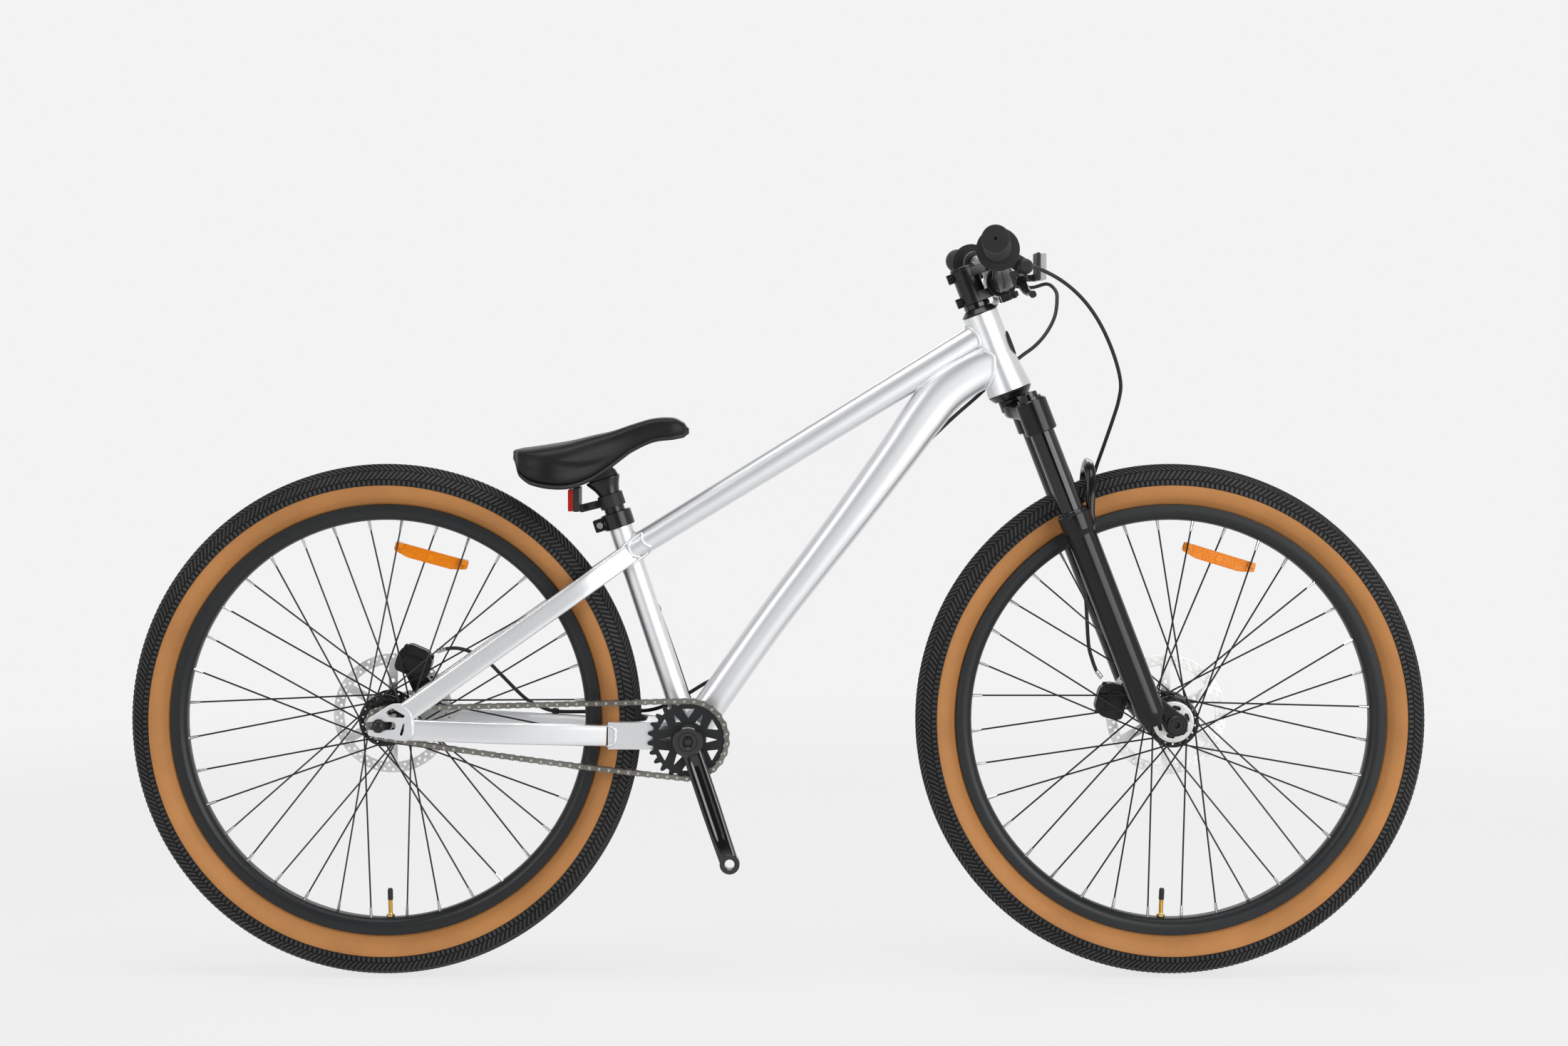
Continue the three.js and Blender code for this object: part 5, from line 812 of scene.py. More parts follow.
# Rear reflector: a moulded red lens in a black plastic backing, under the saddle's tail.
# An arm with two screws holds it to a plastic ring round the seatpost.
REAR_LENS_BACK = -277
REAR_LENS_SEAT = -270
REAR_LENS_FRONT = -262
REAR_LENS = (612, 641)
REAR_LENS_HALF = 23
REAR_RING = (318, 336)
REAR_RING_RADIUS = 17
REAR_ARM_HALF_HEIGHT = 5.2
REAR_ARM_OUT = (-4.5, 4.5)
REAR_SCREW_SHARES = (0.32, 0.78)


def lens_plastic(name, colour, deep):
    """Clear coloured plastic, moulded inside into small prisms that throw light back; their pits are painted
    darker, as painted shade.
    """
    made, tree, shader = surface(name)
    place = node(tree, "TexCoord", {}).outputs["Object"]
    prisms = node(tree, "TexVoronoi", {"Scale": 420, "Vector": place}, distance="CHEBYCHEV")
    feed(tree, prisms, {"Randomness": 0.0})
    depth = prisms.outputs["Distance"]
    # Each prism's pit takes the deep colour: painted shade in the pits, over the lens's own colour.
    tint = ramp(tree, depth, (0.15, deep), (0.75, colour))
    relief = node(tree, "Bump", {"Strength": 0.25, "Distance": MM, "Height": depth}).outputs["Normal"]
    feed(tree, shader, {"Roughness": 0.12, "Specular IOR Level": 0.35, "Base Color": tint, "Normal": relief})
    return made


def block(low, high, round_off=1.2):
    """A moulded block between two corners, its upright edges rounded."""
    corners = [(low[0], low[2]), (high[0], low[2]), (high[0], high[2]), (low[0], high[2])]
    return plate(rounded(corners, round_off), low[1], high[1], min(0.8, round_off), steps=2)


red_lens = lens_plastic("red_lens", (0.62, 0.03, 0.02), (0.2, 0.006, 0.004))
lens_low, lens_high = REAR_LENS
lens = block((REAR_LENS_BACK, -REAR_LENS_HALF, lens_low), (REAR_LENS_SEAT, REAR_LENS_HALF, lens_high), 2)
backing = block((REAR_LENS_SEAT, -REAR_LENS_HALF - 1, lens_low - 0.5),
                (REAR_LENS_FRONT, REAR_LENS_HALF + 1, lens_high + 2), 1.5)
ring_spot = seat_point(REAR_RING[0])
arm_start = Vector((REAR_LENS_FRONT - 2, lens_low + 2))
arm_end = Vector((ring_spot.x - POST_RADIUS, ring_spot.z + 5))
arm_turn = (arm_end - arm_start).normalized()
arm_side = Vector((-arm_turn.y, arm_turn.x)) * REAR_ARM_HALF_HEIGHT
arm_corners = [arm_start - arm_side, arm_end - arm_side, arm_end + arm_side, arm_start + arm_side]
arm = plate(rounded(arm_corners, 4), *REAR_ARM_OUT, 0.8)
post_ring = turned(collar(POST_RADIUS + 0.2, REAR_RING_RADIUS, *REAR_RING, 0.8), closed=True)
screws = []
for share in REAR_SCREW_SHARES:
    spot = arm_start.lerp(arm_end, share)
    screws.append(hex_bolt((spot.x, REAR_ARM_OUT[0], spot.y), -LATERAL, 3.6, 1.6))
piece("rear_reflector_lens", lens, red_lens, "seat", None, "rear_reflector")
piece("rear_reflector_bracket", joined(backing, arm, placed(post_ring, seat_place)), black_plastic, "seat",
      crease=40)
piece("rear_reflector_screws", joined(*screws), black_alloy, "seat")


# Head and bracket fittings: black headset cups pressed into the head tube, a plain plate on its front,
# and black threaded cups that hold the bearings of the bracket shell.
CUP_PROFILES = {
    "upper": [(18, 110.3), (24.5, 110.3), (24.5, 111.2), (23.2, 112.4), (18.6, 117.2), (17.4, 118), (15.2, 118),
              (15.2, 112)],
    "lower": [(21, -0.3), (29.6, -0.3), (30, -0.7), (24.6, -8), (23.6, -8.7), (21, -8.7)],
}
HEAD_PLATE_HEIGHT = 59
HEAD_PLATE_HALF = (12, 17)
HEAD_PLATE_LAYERS = [(21.2, 0), (24.6, 0), (25.4, -0.8)]
CUP_OUT = (34.3, 41.3)
CUP_RADIUS = 20.5
CUP_BORE = 12.6
CUP_NOTCHES = 16
NOTCH_DEPTH = 1.6
SIDES = ((-1, "right"), (1, "left"))


def around(radius, turn):
    """A point at a radius, turned from straight up towards the front."""
    return radius * math.sin(turn), radius * math.cos(turn)


def toothed(low, high, count):
    """The outline of a ring with square notches: count lands at radius high, gaps at radius low."""
    corners = [(low, -0.5), (low, -0.27), (high, -0.23), (high, 0), (high, 0.23), (low, 0.27)]
    outline = []
    for k in range(count):
        for radius, turn in corners:
            angle = (k + turn) * math.tau / count
            outline.append(Vector((radius * math.cos(angle), radius * math.sin(angle))))
    return outline


for name, profile in CUP_PROFILES.items():
    piece(f"headset_{name}", turned(profile, count=64, closed=True), black_alloy, "frame", steering_place,
          f"headset_{name}_cup")
head_plate = []
for out, grow in HEAD_PLATE_LAYERS:
    half = [wide + grow for wide in HEAD_PLATE_HALF]
    head_plate.append(section(Vector((out, 0, HEAD_PLATE_HEIGHT)), LATERAL, UPWARD, *half, 0.15, 40))
piece("head_plate", skin(head_plate), black_plastic, "frame", steering_place)
for side, name in SIDES:
    low, high = sorted(side * out for out in CUP_OUT)
    cup = plate(toothed(CUP_RADIUS - NOTCH_DEPTH, CUP_RADIUS, CUP_NOTCHES), low, high, 0.5,
                [ring_outline(0, 0, CUP_BORE, 40)])
    piece(f"bracket_cup_{name}", moved(cup, bracket), black_alloy, "frame", None, f"bottom_bracket_cup_{name}")


# Rear axle: a black steel bolt, turned and threaded at both ends, with a spacer inside the dropout.
# Domed nuts with their own washers hold it in the slots of the dropouts.
AXLE_RADIUS = 5
AXLE_END = 78.9
AXLE_SPACER = (-67.3, -52.3)
AXLE_SPACER_RADIUS = 9
NUT_FOOT = 73.9
NUT_FLANGE = 75.5
NUT_DOME = 79.3
NUT_DOME_HEIGHT = 3.6
NUT_DOME_RADIUS = 7.4
NUT_RADIUS = 8.8
black_steel = finish("black_steel", (0.014, 0.014, 0.015), 0.3, grain=900, bump=0.03,
                     mottle=0.1)


def hexagon(radius):
    """Six flats, radius from the middle to a corner."""
    return ring_outline(0, 0, radius, 6)


def axle_nut(side):
    """A domed nut: six flats on a round flange, closed by a cap."""
    low, high = sorted((side * NUT_FLANGE, side * NUT_DOME))
    flats = plate(rounded(hexagon(NUT_RADIUS), 0.8, 2), low, high, 0.5)
    foot, top = side * NUT_FOOT, side * NUT_FLANGE
    flange = turned([(AXLE_RADIUS, foot), (NUT_RADIUS, foot), (NUT_RADIUS, top), (AXLE_RADIUS, top)], "Y",
                    closed=True)
    dome = [(NUT_DOME_RADIUS, side * (NUT_FOOT + 2))]
    for step in range(8):
        turn = step * math.pi / 16
        dome.append((NUT_DOME_RADIUS * math.cos(turn), side * (NUT_DOME + NUT_DOME_HEIGHT * math.sin(turn))))
    return joined(flats, flange, turned(dome, "Y"))


axle_bar = turned([(AXLE_RADIUS, -AXLE_END), (AXLE_RADIUS, AXLE_END)], "Y", count=24)
near, far = AXLE_SPACER
spacer = turned([(AXLE_RADIUS, near), (AXLE_SPACER_RADIUS, near), (AXLE_SPACER_RADIUS, far), (AXLE_RADIUS, far)],
                "Y", closed=True)
axle_skin = joined(axle_bar, spacer, axle_nut(-1), axle_nut(1))
piece("rear_axle_and_nuts", moved(axle_skin, rear_axle), black_steel, "frame", None, "rear_axle")


# Tyres: tan rubber side walls over the casing, with a black tread of fine slanted blocks cemented on.
# The tread wraps to just outside the widest place, and ends in a row of edge blocks.
TYRE_RADIUS = 337
TYRE_BEAD = 274
TYRE_HALF_WIDTH = 28.4
TYRE_WALL = 2.4
TYRE_SHARES = [
    (0, 0.41), (0.09, 0.405), (0.18, 0.43), (0.33, 0.81), (0.52, 1), (0.72, 0.95), (0.88, 0.7), (0.97, 0.36),
    (1, 0),
]
TREAD_EDGE = 309
TREAD_DEPTH = 2.2
BAND_STEPS = 20
BLOCKS_ROUND = 300
BLOCK_ROWS = [
    {"from": 0.02, "to": 0.15, "slant": 0.5, "fill": 0.6},
    {"from": 0.19, "to": 0.5, "slant": 1.5, "fill": 0.5},
    {"from": 0.54, "to": 0.81, "slant": -1.2, "fill": 0.5},
    {"from": 0.85, "to": 0.985, "slant": 0, "fill": 0.6},
]
BLOCK_FACES = [(0, 1, 3, 2), (4, 6, 7, 5), (2, 3, 7, 6), (0, 2, 6, 4), (1, 5, 7, 3), (0, 4, 5, 1)]
WHEEL_STEPS = 144
tan_rubber = finish("tan_rubber", (0.39, 0.172, 0.053), 0.62, grain=260, bump=0.12,
                    mottle=0.09)
tread_rubber = finish("tread_rubber", (0.03, 0.03, 0.031), 0.6, grain=600, bump=0.1,
                      mottle=0.2)
# The band between the blocks is the tread's own rubber painted darker: painted shade in the grooves.
groove_painted_shade = finish("groove_painted_shade", (0.006, 0.006, 0.006), 0.8, grain=600, bump=0.1,
                       mottle=0.2)
wheel_places = {"front": Matrix.Translation(front_axle), "rear": Matrix.Translation(rear_axle)}
casing_rise = TYRE_RADIUS - TREAD_DEPTH - TYRE_BEAD
casing_spots = [(TYRE_BEAD + up * casing_rise, wide * TYRE_HALF_WIDTH) for up, wide in TYRE_SHARES]
casing_outline = smooth_path(casing_spots, 6)
tread_outline = [p for p in casing_outline if p.x >= TREAD_EDGE][::-1]
tread_lengths = [0.0]
for a, b in zip(tread_outline, tread_outline[1:]):
    tread_lengths.append(tread_lengths[-1] + (b - a).length)


def both_wheels(name, skin_made, material, replaces=None, crease=35):
    for end, hub_place in wheel_places.items():
        piece(f"{end}_{name}", skin_made, material, f"{end}_wheel", hub_place,
              replaces and f"{end}_{replaces}", crease)


def both_halves(half):
    """A wheel's whole profile, from its right half that ends in the middle."""
    return half + [(r, -y) for r, y in reversed(half[:-1])]


def casing():
    outside = [(p.x, p.y) for p in casing_outline]
    inside = []
    for radius, out in outside:
        under = radius - TYRE_WALL * 0.6 * (radius > TYRE_BEAD + 12)
        out = max(0, out - TYRE_WALL)
        inside.append((under - (TYRE_WALL if out < 8 and under > TYRE_BEAD + 30 else 0), out))
    profile = both_halves(outside) + both_halves([(r, -y) for r, y in inside])
    return turned(profile, "Y", count=WHEEL_STEPS, closed=True)


def tread_point(share, lift):
    """A point of the tread at a share of the way from crown to edge, lifted off the casing."""
    want = share * tread_lengths[-1]
    i = 0
    while i < len(tread_lengths) - 2 and tread_lengths[i + 1] < want:
        i += 1
    t = (want - tread_lengths[i]) / (tread_lengths[i + 1] - tread_lengths[i])
    along = (tread_outline[i + 1] - tread_outline[i]).normalized()
    outward = Vector((along.y, -along.x))
    return tread_outline[i].lerp(tread_outline[i + 1], t) + (-outward if outward.x < 0 else outward) * lift


def tread_band():
    half = [tread_point(k / BAND_STEPS, 0.5) for k in range(BAND_STEPS + 1)]
    outer = [(p.x, -p.y) for p in [tread_point(1, -0.6), *reversed(half)]]
    inner = [(p.x - 1.4, p.y * 0.97) for p in reversed(half)]
    return turned(both_halves(outer) + both_halves(inner), "Y", count=WHEEL_STEPS, closed=True)


def tread_blocks():
    points, faces = [], []
    pitch = math.tau / BLOCKS_ROUND
    for row in BLOCK_ROWS:
        half = row["fill"] * pitch / 2
        ends = [(row["from"], row["slant"] * pitch / -2), (row["to"], row["slant"] * pitch / 2)]
        corners = [(tread_point(share, 0), tread_point(share, TREAD_DEPTH), shift) for share, shift in ends]
        for side in (-1, 1):
            for k in range(BLOCKS_ROUND):
                start = len(points)
                centre = (k + (0.5 if side > 0 else 0)) * pitch
                for foot, top, shift in corners:
                    for spot, width in ((foot, half), (top, half * 0.84)):
                        for edge in (-width, width):
                            ahead, up = around(spot.x, centre + shift + edge)
                            points.append(Vector((ahead, side * spot.y, up)))
                for face in BLOCK_FACES:
                    faces.append(tuple(start + i for i in (face if side < 0 else reversed(face))))
    return points, faces


both_wheels("tyre_walls", casing(), tan_rubber, "tyre", 60)
both_wheels("tyre_band", tread_band(), groove_painted_shade, crease=30)
both_wheels("tyre_blocks", tread_blocks(), tread_rubber, crease=30)


# Rims: deep black aluminium hoops, extruded, rolled and satin anodised.
# Each has a lip on both sides that holds the tyre's bead.
RIM_RADIUS = 284.3
RIM_INNER = 262.6
RIM_HALF = 15.5
RIM_WALL = 3.2
RIM_FLOOR = 271
satin_black = finish("satin_black", (0.014, 0.015, 0.016), 0.36, grain=900, bump=0.005,
                     mottle=0.06)
rim_side = [
    (RIM_INNER, 0), (RIM_INNER + 0.6, RIM_HALF * 0.42), (RIM_INNER + 3.6, RIM_HALF * 0.74),
    (RIM_INNER + 9.5, RIM_HALF * 0.97), (RIM_RADIUS - 3, RIM_HALF), (RIM_RADIUS - 0.6, RIM_HALF),
]
rim_bed = [
    (RIM_RADIUS, RIM_HALF - 0.9), (RIM_RADIUS, RIM_HALF - RIM_WALL + 0.6), (RIM_FLOOR + 1, RIM_HALF - RIM_WALL),
    (RIM_FLOOR - 1, RIM_HALF - RIM_WALL - 2), (RIM_FLOOR - RIM_WALL, RIM_HALF / 3),
]
rim_half = [(p.x, p.y) for p in smooth_path(rim_side, 4)] + rim_bed
rim_profile = rim_half + [(r, -y) for r, y in reversed(rim_half[1:])]
both_wheels("rim_hoop", turned(rim_profile, "Y", count=WHEEL_STEPS, closed=True), satin_black, "rim", 50)


# Spokes: black steel wire, crossed three times on each side of the wheel.
# They are hooked in the hub's flanges and screwed into silver nipples in the rim.
SPOKES_A_SIDE = 18
SPOKE_CROSSES = 3
SPOKE_RADIUS = 1.15
SPOKE_CIRCLE = 29.5
SPOKE_HEAD_OUT = 5.05
SPOKE_HOOK_IN = 2.4
SPOKE_WEAVE = 0.78
SPOKE_RIM_SPREAD = 5
SPOKE_SIDES = 10
NIPPLE_LENGTH = 13
NIPPLE_RADIUS = 2.1
FLANGES = {"front": (-31, 19), "rear": (-20, 32)}
LACING = {"front": (-13.5, 0), "rear": (4.45, 1)}


def rod(start, end, radius, sides=12, end_radius=None):
    """A straight round bar from start to end."""
    start, end = Vector(start), Vector(end)
    along = (end - start).normalized()
    side = along.orthogonal().normalized()
    up = along.cross(side)
    ends = ((start, radius), (end, radius if end_radius is None else end_radius))
    return skin([section(spot, side, up, half, half, 0, sides) for spot, half in ends])


def ball(centre, radius, flat=1.0, steps=6, sides=10):
    """A round or flattened head."""
    turns = [math.pi * k / steps for k in range(1, steps)]
    profile = [(radius * math.sin(turn), -radius * flat * math.cos(turn)) for turn in turns]
    return placed(turned(profile, count=sides), faced(centre, LATERAL))


def lace(side, flange, angle, first):
    """Spokes and nipples of one side of a wheel."""
    wires, nipples = [], []
    step = 360 / SPOKES_A_SIDE
    for i in range(SPOKES_A_SIDE):
        lead = 1 if i % 2 == 0 else -1
        rim_turn = math.radians(angle + (i + first) * step)
        hub_x, hub_z = around(SPOKE_CIRCLE, rim_turn + lead * math.radians(SPOKE_CROSSES * step))
        rim_x, rim_z = around(RIM_INNER, rim_turn)
        start = Vector((hub_x, side * (flange + SPOKE_HEAD_OUT) + side * lead * SPOKE_WEAVE, hub_z))
        hook = Vector((start.x, side * (flange - SPOKE_HOOK_IN), start.z))
        end = Vector((rim_x, side * SPOKE_RIM_SPREAD, rim_z))
        along = (end - start).normalized()
        wires += [
            rod(start, end - along * 4, SPOKE_RADIUS, SPOKE_SIDES), rod(start, hook, SPOKE_RADIUS, SPOKE_SIDES),
            ball(start, SPOKE_RADIUS * 1.04, sides=SPOKE_SIDES), ball(hook, 2.2, 0.55),
        ]
        neck = end - along * 3
        nipples.append(rod(end - along * NIPPLE_LENGTH, neck, NIPPLE_RADIUS * 0.8, 8, NIPPLE_RADIUS))
        nipples.append(rod(neck, end + along * 3, NIPPLE_RADIUS, 8))
    return joined(*wires), joined(*nipples)


for end, hub_place in wheel_places.items():
    angle, first = LACING[end]
    silver_ends = []
    for (side, name), flange, turn in zip(SIDES, FLANGES[end], (0, 180 / SPOKES_A_SIDE)):
        wires, nipples = lace(side, abs(flange), angle + turn, first)
        piece(f"{end}_spoke_wires_{name}", wires, black_steel, f"{end}_wheel", hub_place, f"{end}_spokes_{name}")
        silver_ends.append(nipples)
    piece(f"{end}_nipples", joined(*silver_ends), bolt_steel, f"{end}_wheel", hub_place)


# Hubs: turned black shells with drilled flanges that carry the spokes, on sealed bearings.
# The front one is closed on the chain side by a bright pressed cap with oval slots.
FLANGE_RADIUS = 34
FLANGE_HALF = 1.75
HUB_HOLES = 9
HUB_HOLE_CIRCLE = 22.6
HUBS = {"front": {"low": -49.8, "end": 10.8, "bore": 7.8}, "rear": {"low": -25, "end": 13, "bore": 5.3}}
HUB_BODY_RADIUS = 16
ROTOR_SEAT_RADIUS = 22
ROTOR_LIP_RADIUS = 14.1
ROTOR_AT = {"front": 37, "rear": 52}
HUB_CAP_RADIUS = 27
HUB_CAP_OUT = (-36.2, -34.6)
HUB_CAP_SLOT = [(-2.6, -0.2), (-2.6, 0.2), (0, 0.34), (2.6, 0.2), (2.6, -0.2), (0, -0.34)]


def holes_round(circle, radius, count, sides, shift=0):
    """Round holes at an even spacing on a circle."""
    return [ring_outline(*around(circle, (k + shift) * math.tau / count), radius, sides) for k in range(count)]


def hub_flange(out):
    holes = holes_round(SPOKE_CIRCLE, 1.5, SPOKES_A_SIDE, 10) + holes_round(HUB_HOLE_CIRCLE, 3.1, HUB_HOLES, 16)
    low, high = out - FLANGE_HALF, out + FLANGE_HALF
    lip = [(FLANGE_RADIUS - 2.6, low - 0.4), (FLANGE_RADIUS, low), (FLANGE_RADIUS, high),
           (FLANGE_RADIUS - 2.6, high + 0.4)]
    web = plate(ring_outline(0, 0, FLANGE_RADIUS - 1, 72), low, high, 0.4, holes)
    return joined(web, turned(lip, "Y", count=72, closed=True))


for end, hub_place in wheel_places.items():
    hub, (right, left), rotor = HUBS[end], FLANGES[end], ROTOR_AT[end]
    body, bore, low = HUB_BODY_RADIUS, hub["bore"], hub["low"]
    profile = [
        (bore, low), (hub["end"], low), (hub["end"], right - 4), (body, right - 1.7), (body + 3, right + 1.7),
        (body, right + 7), (body - 1.5, (right + left) / 2), (body, left - 7), (body + 3, left - 1.7),
        (ROTOR_SEAT_RADIUS, left + 1.7), (ROTOR_SEAT_RADIUS, rotor - 1.2), (ROTOR_LIP_RADIUS, rotor - 1.2),
        (ROTOR_LIP_RADIUS, rotor + 2), (12, rotor + 3.6), (bore, rotor + 3.6),
    ]
    shell = joined(turned(profile, "Y", count=56, closed=True), hub_flange(right), hub_flange(left))
    piece(f"{end}_hub_shell", shell, black_alloy, f"{end}_wheel", hub_place, f"{end}_hub")
slots_round = []
for k in range(6):
    middle = math.radians(60 * k + 12)
    slots_round.append(rounded([around(19 + reach, middle + turn) for reach, turn in HUB_CAP_SLOT], 1.6))
cap_outline = ring_outline(0, 0, HUB_CAP_RADIUS, 64)
cap_plate = plate(cap_outline, *HUB_CAP_OUT, 0.5, slots_round + [ring_outline(0, 0, 11.2, 32)])
cap_wall = turned([(HUB_CAP_RADIUS - 0.6, -35), (HUB_CAP_RADIUS, -34.6), (HUB_CAP_RADIUS, -33),
                   (HUB_CAP_RADIUS - 0.6, -33)], "Y", count=64, closed=True)
piece("front_hub_cap", joined(cap_plate, cap_wall), bolt_steel, "front_wheel", wheel_places["front"])


# Brake rotors: stainless steel, stamped with six arms and two rows of holes, ground flat on the track.
# Each is bolted to its hub's seat by six small screws.
ROTOR_RADIUS = 80
ROTOR_WINDOW = (26, 66)
ROTOR_HALF_THICK = 0.9
ROTOR_BORE = 14.4
ROTOR_ARMS = 6
ROTOR_ARM_HALF = 6
ROTOR_ARM_HOLE_AT = 44
ROTOR_ROWS = [(76, 0), (70.4, 0.5)]
ROTOR_ROW_HOLES = 42
ROTOR_SCREW_CIRCLE = 19.2
rotor_steel = finish("rotor_steel", (0.78, 0.78, 0.765), 0.38, grain=1600, bump=0.05, metal=1.0,
                     stretch=(1, 0.1, 1))
rotor_holes = [ring_outline(0, 0, ROTOR_BORE, 40)]
for k in range(ROTOR_ARMS):
    middle = (k + 0.5) * math.tau / ROTOR_ARMS
    window = []
    for radius, forward in zip(ROTOR_WINDOW, (1, -1)):
        half = math.tau / 12 - math.asin(ROTOR_ARM_HALF / radius)
        window += [around(radius, middle + half * (s / 5 - 1)) for s in range(11)][::forward]
    rotor_holes.append(rounded(window, 1.2, 2))
    rotor_holes.append(ring_outline(*around(ROTOR_ARM_HOLE_AT, middle - math.tau / 12), 2.6, 14))
for circle, shift in ROTOR_ROWS:
    rotor_holes += holes_round(circle, 1.9, ROTOR_ROW_HOLES, 10, shift)
for end, hub_place in wheel_places.items():
    near, far = ROTOR_AT[end] - ROTOR_HALF_THICK, ROTOR_AT[end] + ROTOR_HALF_THICK
    disc = plate(ring_outline(0, 0, ROTOR_RADIUS, 144), near, far, 0.2, rotor_holes)
    piece(f"{end}_rotor_disc", disc, rotor_steel, f"{end}_wheel", hub_place, f"{end}_rotor")
    heads = []
    for k in range(6):
        ahead, up = around(ROTOR_SCREW_CIRCLE, math.radians(60 * k + 30))
        heads.append(hex_bolt((ahead, far, up), LATERAL, 3.4, 1.8))
    piece(f"{end}_rotor_screws", joined(*heads), black_steel, f"{end}_wheel", hub_place)


# Inner tubes: closed tubes of black rubber, blown up inside the tyres.
# Their brass valves are nutted through the rims and closed by ribbed plastic caps.
TUBE_REACH = (276, 331.5)
TUBE_HALF_WIDTH = 24
TUBE_STEPS = 28
VALVE_TURNS = {"front": 2.6, "rear": -1}
VALVE_TIP = 225
VALVE_CAP_TOP = 240
VALVE_THREADS = 22
VALVE_CAP_RIBS = 10
black_rubber = finish("black_rubber", (0.014, 0.014, 0.014), 0.72, grain=800, bump=0.12,
                      mottle=0.15)
valve_brass = finish("valve_brass", (0.62, 0.44, 0.16), 0.3, grain=900, bump=0.03, metal=1.0)
tube_low, tube_high = TUBE_REACH
tube_profile = []
for k in range(TUBE_STEPS):
    turn = k / TUBE_STEPS * math.tau
    radius = (tube_low + tube_high) / 2 + (tube_high - tube_low) / 2 * math.cos(turn)
    tube_profile.append((radius, TUBE_HALF_WIDTH * math.sin(turn) * (0.78 + 0.22 * math.cos(turn))))
tube_ring = turned(tube_profile, "Y", count=WHEEL_STEPS, closed=True)
both_wheels("tube_ring", tube_ring, black_rubber, "inner_tube")
stem = [(2.7, VALVE_TIP + 4), (2.7, VALVE_CAP_TOP), (3.1, VALVE_CAP_TOP)]
for k in range(VALVE_THREADS):
    height = VALVE_CAP_TOP + k * 0.8
    stem += [(3.1, height), (2.7, height + 0.4)]
stem += [(3.3, RIM_INNER - 4), (3.3, tube_low)]
valve_nut = plate(hexagon(5.6), RIM_INNER - 3.4, RIM_INNER - 0.4, 0.3, upright=False)
cap = [(0.4, VALVE_TIP), (2.4, VALVE_TIP), (3.4, VALVE_TIP + 1.6), (3.4, VALVE_CAP_TOP), (2.8, VALVE_CAP_TOP)]
cap_parts = [turned(cap, count=24)]
for spot in ring_outline(0, 0, 3.1, VALVE_CAP_RIBS):
    cap_parts.append(rod((*spot, VALVE_TIP + 3), (*spot, VALVE_CAP_TOP - 1), 0.45, 6))
for end, hub_place in wheel_places.items():
    valve_place = hub_place @ Matrix.Rotation(math.pi + math.radians(VALVE_TURNS[end]), 4, "Y")
    stem_skin = joined(turned(stem, count=20), valve_nut)
    piece(f"{end}_valve_stem", stem_skin, valve_brass, f"{end}_wheel", valve_place)
    piece(f"{end}_valve_cap", joined(*cap_parts), black_plastic, f"{end}_wheel", valve_place)


# Wheel reflectors: amber plastic, moulded with long ribs and a small round boss.
# Each is clipped over a pair of spokes near the rim.
REFLECTOR_HALF = 50
REFLECTOR_AT = 221
REFLECTOR_HEIGHT = 17
REFLECTOR_HALF_THICK = 3
REFLECTOR_SHARES = [(-1, -0.2), (-1, 0.5), (1, 0.5), (1, -0.2), (0.6, -0.5), (-0.6, -0.5)]
REFLECTOR_RIBS = 5
REFLECTORS = {"front": {"turn": 17, "clip_half": 6.05}, "rear": {"turn": 15.2, "clip_half": 7.2}}
amber_lens = lens_plastic("amber_lens", (0.92, 0.3, 0.012), (0.62, 0.16, 0.004))
lens_corners = []
for along, up in REFLECTOR_SHARES:
    lens_corners.append((REFLECTOR_HALF * along, REFLECTOR_AT + REFLECTOR_HEIGHT * up))
lens_parts = [plate(rounded(lens_corners, 2.5), 0.6 - REFLECTOR_HALF_THICK, REFLECTOR_HALF_THICK - 0.6)]
for k in range(REFLECTOR_RIBS):
    height = REFLECTOR_AT + REFLECTOR_HEIGHT * (0.38 - 0.76 * k / (REFLECTOR_RIBS - 1))
    reach = (REFLECTOR_HALF - 4 if height > REFLECTOR_AT - 3 else REFLECTOR_HALF * 0.66) - 10
    for side in (-1, 1):
        out = side * (REFLECTOR_HALF_THICK - 0.7)
        lens_parts.append(rod((-reach, out, height), (reach, out, height), 0.7, 8))
boss_foot = Vector((0, 0.4 - REFLECTOR_HALF_THICK, REFLECTOR_AT))
lens_parts.append(rod(boss_foot, boss_foot - LATERAL * 0.6, 4.4, 24))
for end, hub_place in wheel_places.items():
    half = REFLECTORS[end]["clip_half"]
    turn_place = hub_place @ Matrix.Rotation(math.radians(REFLECTORS[end]["turn"]), 4, "Y")
    clips = []
    for low in (-49, 39):
        clips.append(block((low, -half, REFLECTOR_AT + 1), (low + 10, half, REFLECTOR_AT + 8.5), 1.5))
    piece(f"{end}_reflector_lens", joined(*lens_parts), amber_lens, f"{end}_wheel", turn_place,
          f"{end}_wheel_reflector")
    piece(f"{end}_reflector_clips", joined(*clips), amber_lens, f"{end}_wheel", turn_place)


# Chainring: black aluminium plate, machined with pointed teeth and twelve three-cornered windows.
# Its turned hub sits on the spindle, inside the right crank arm.
CHAIN_PITCH = 12.7
CHAIN_OUT = -47
RING_TEETH = 25
COG_TEETH = 9
RING_PITCH_RADIUS = CHAIN_PITCH / 2 / math.sin(math.pi / RING_TEETH)
COG_PITCH_RADIUS = CHAIN_PITCH / 2 / math.sin(math.pi / COG_TEETH)
SPROCKET_HALF_THICK = 1.2
TOOTH_SHARES = [(-0.34, -3.9), (-0.2, 0.9), (-0.09, 3.0), (0.09, 3.0), (0.2, 0.9), (0.34, -3.9)]
RING_WINDOWS = 12
RING_WINDOW_CORNERS = [[(28.4, 0), (41.2, 0.39), (41.2, -0.39)], [(23.4, -0.32), (38.2, 0), (23.4, 0.32)]]
RING_HUB = (-51.7, -42.5)
RING_HUB_RADIUS = 20
RING_BORE = 12.6


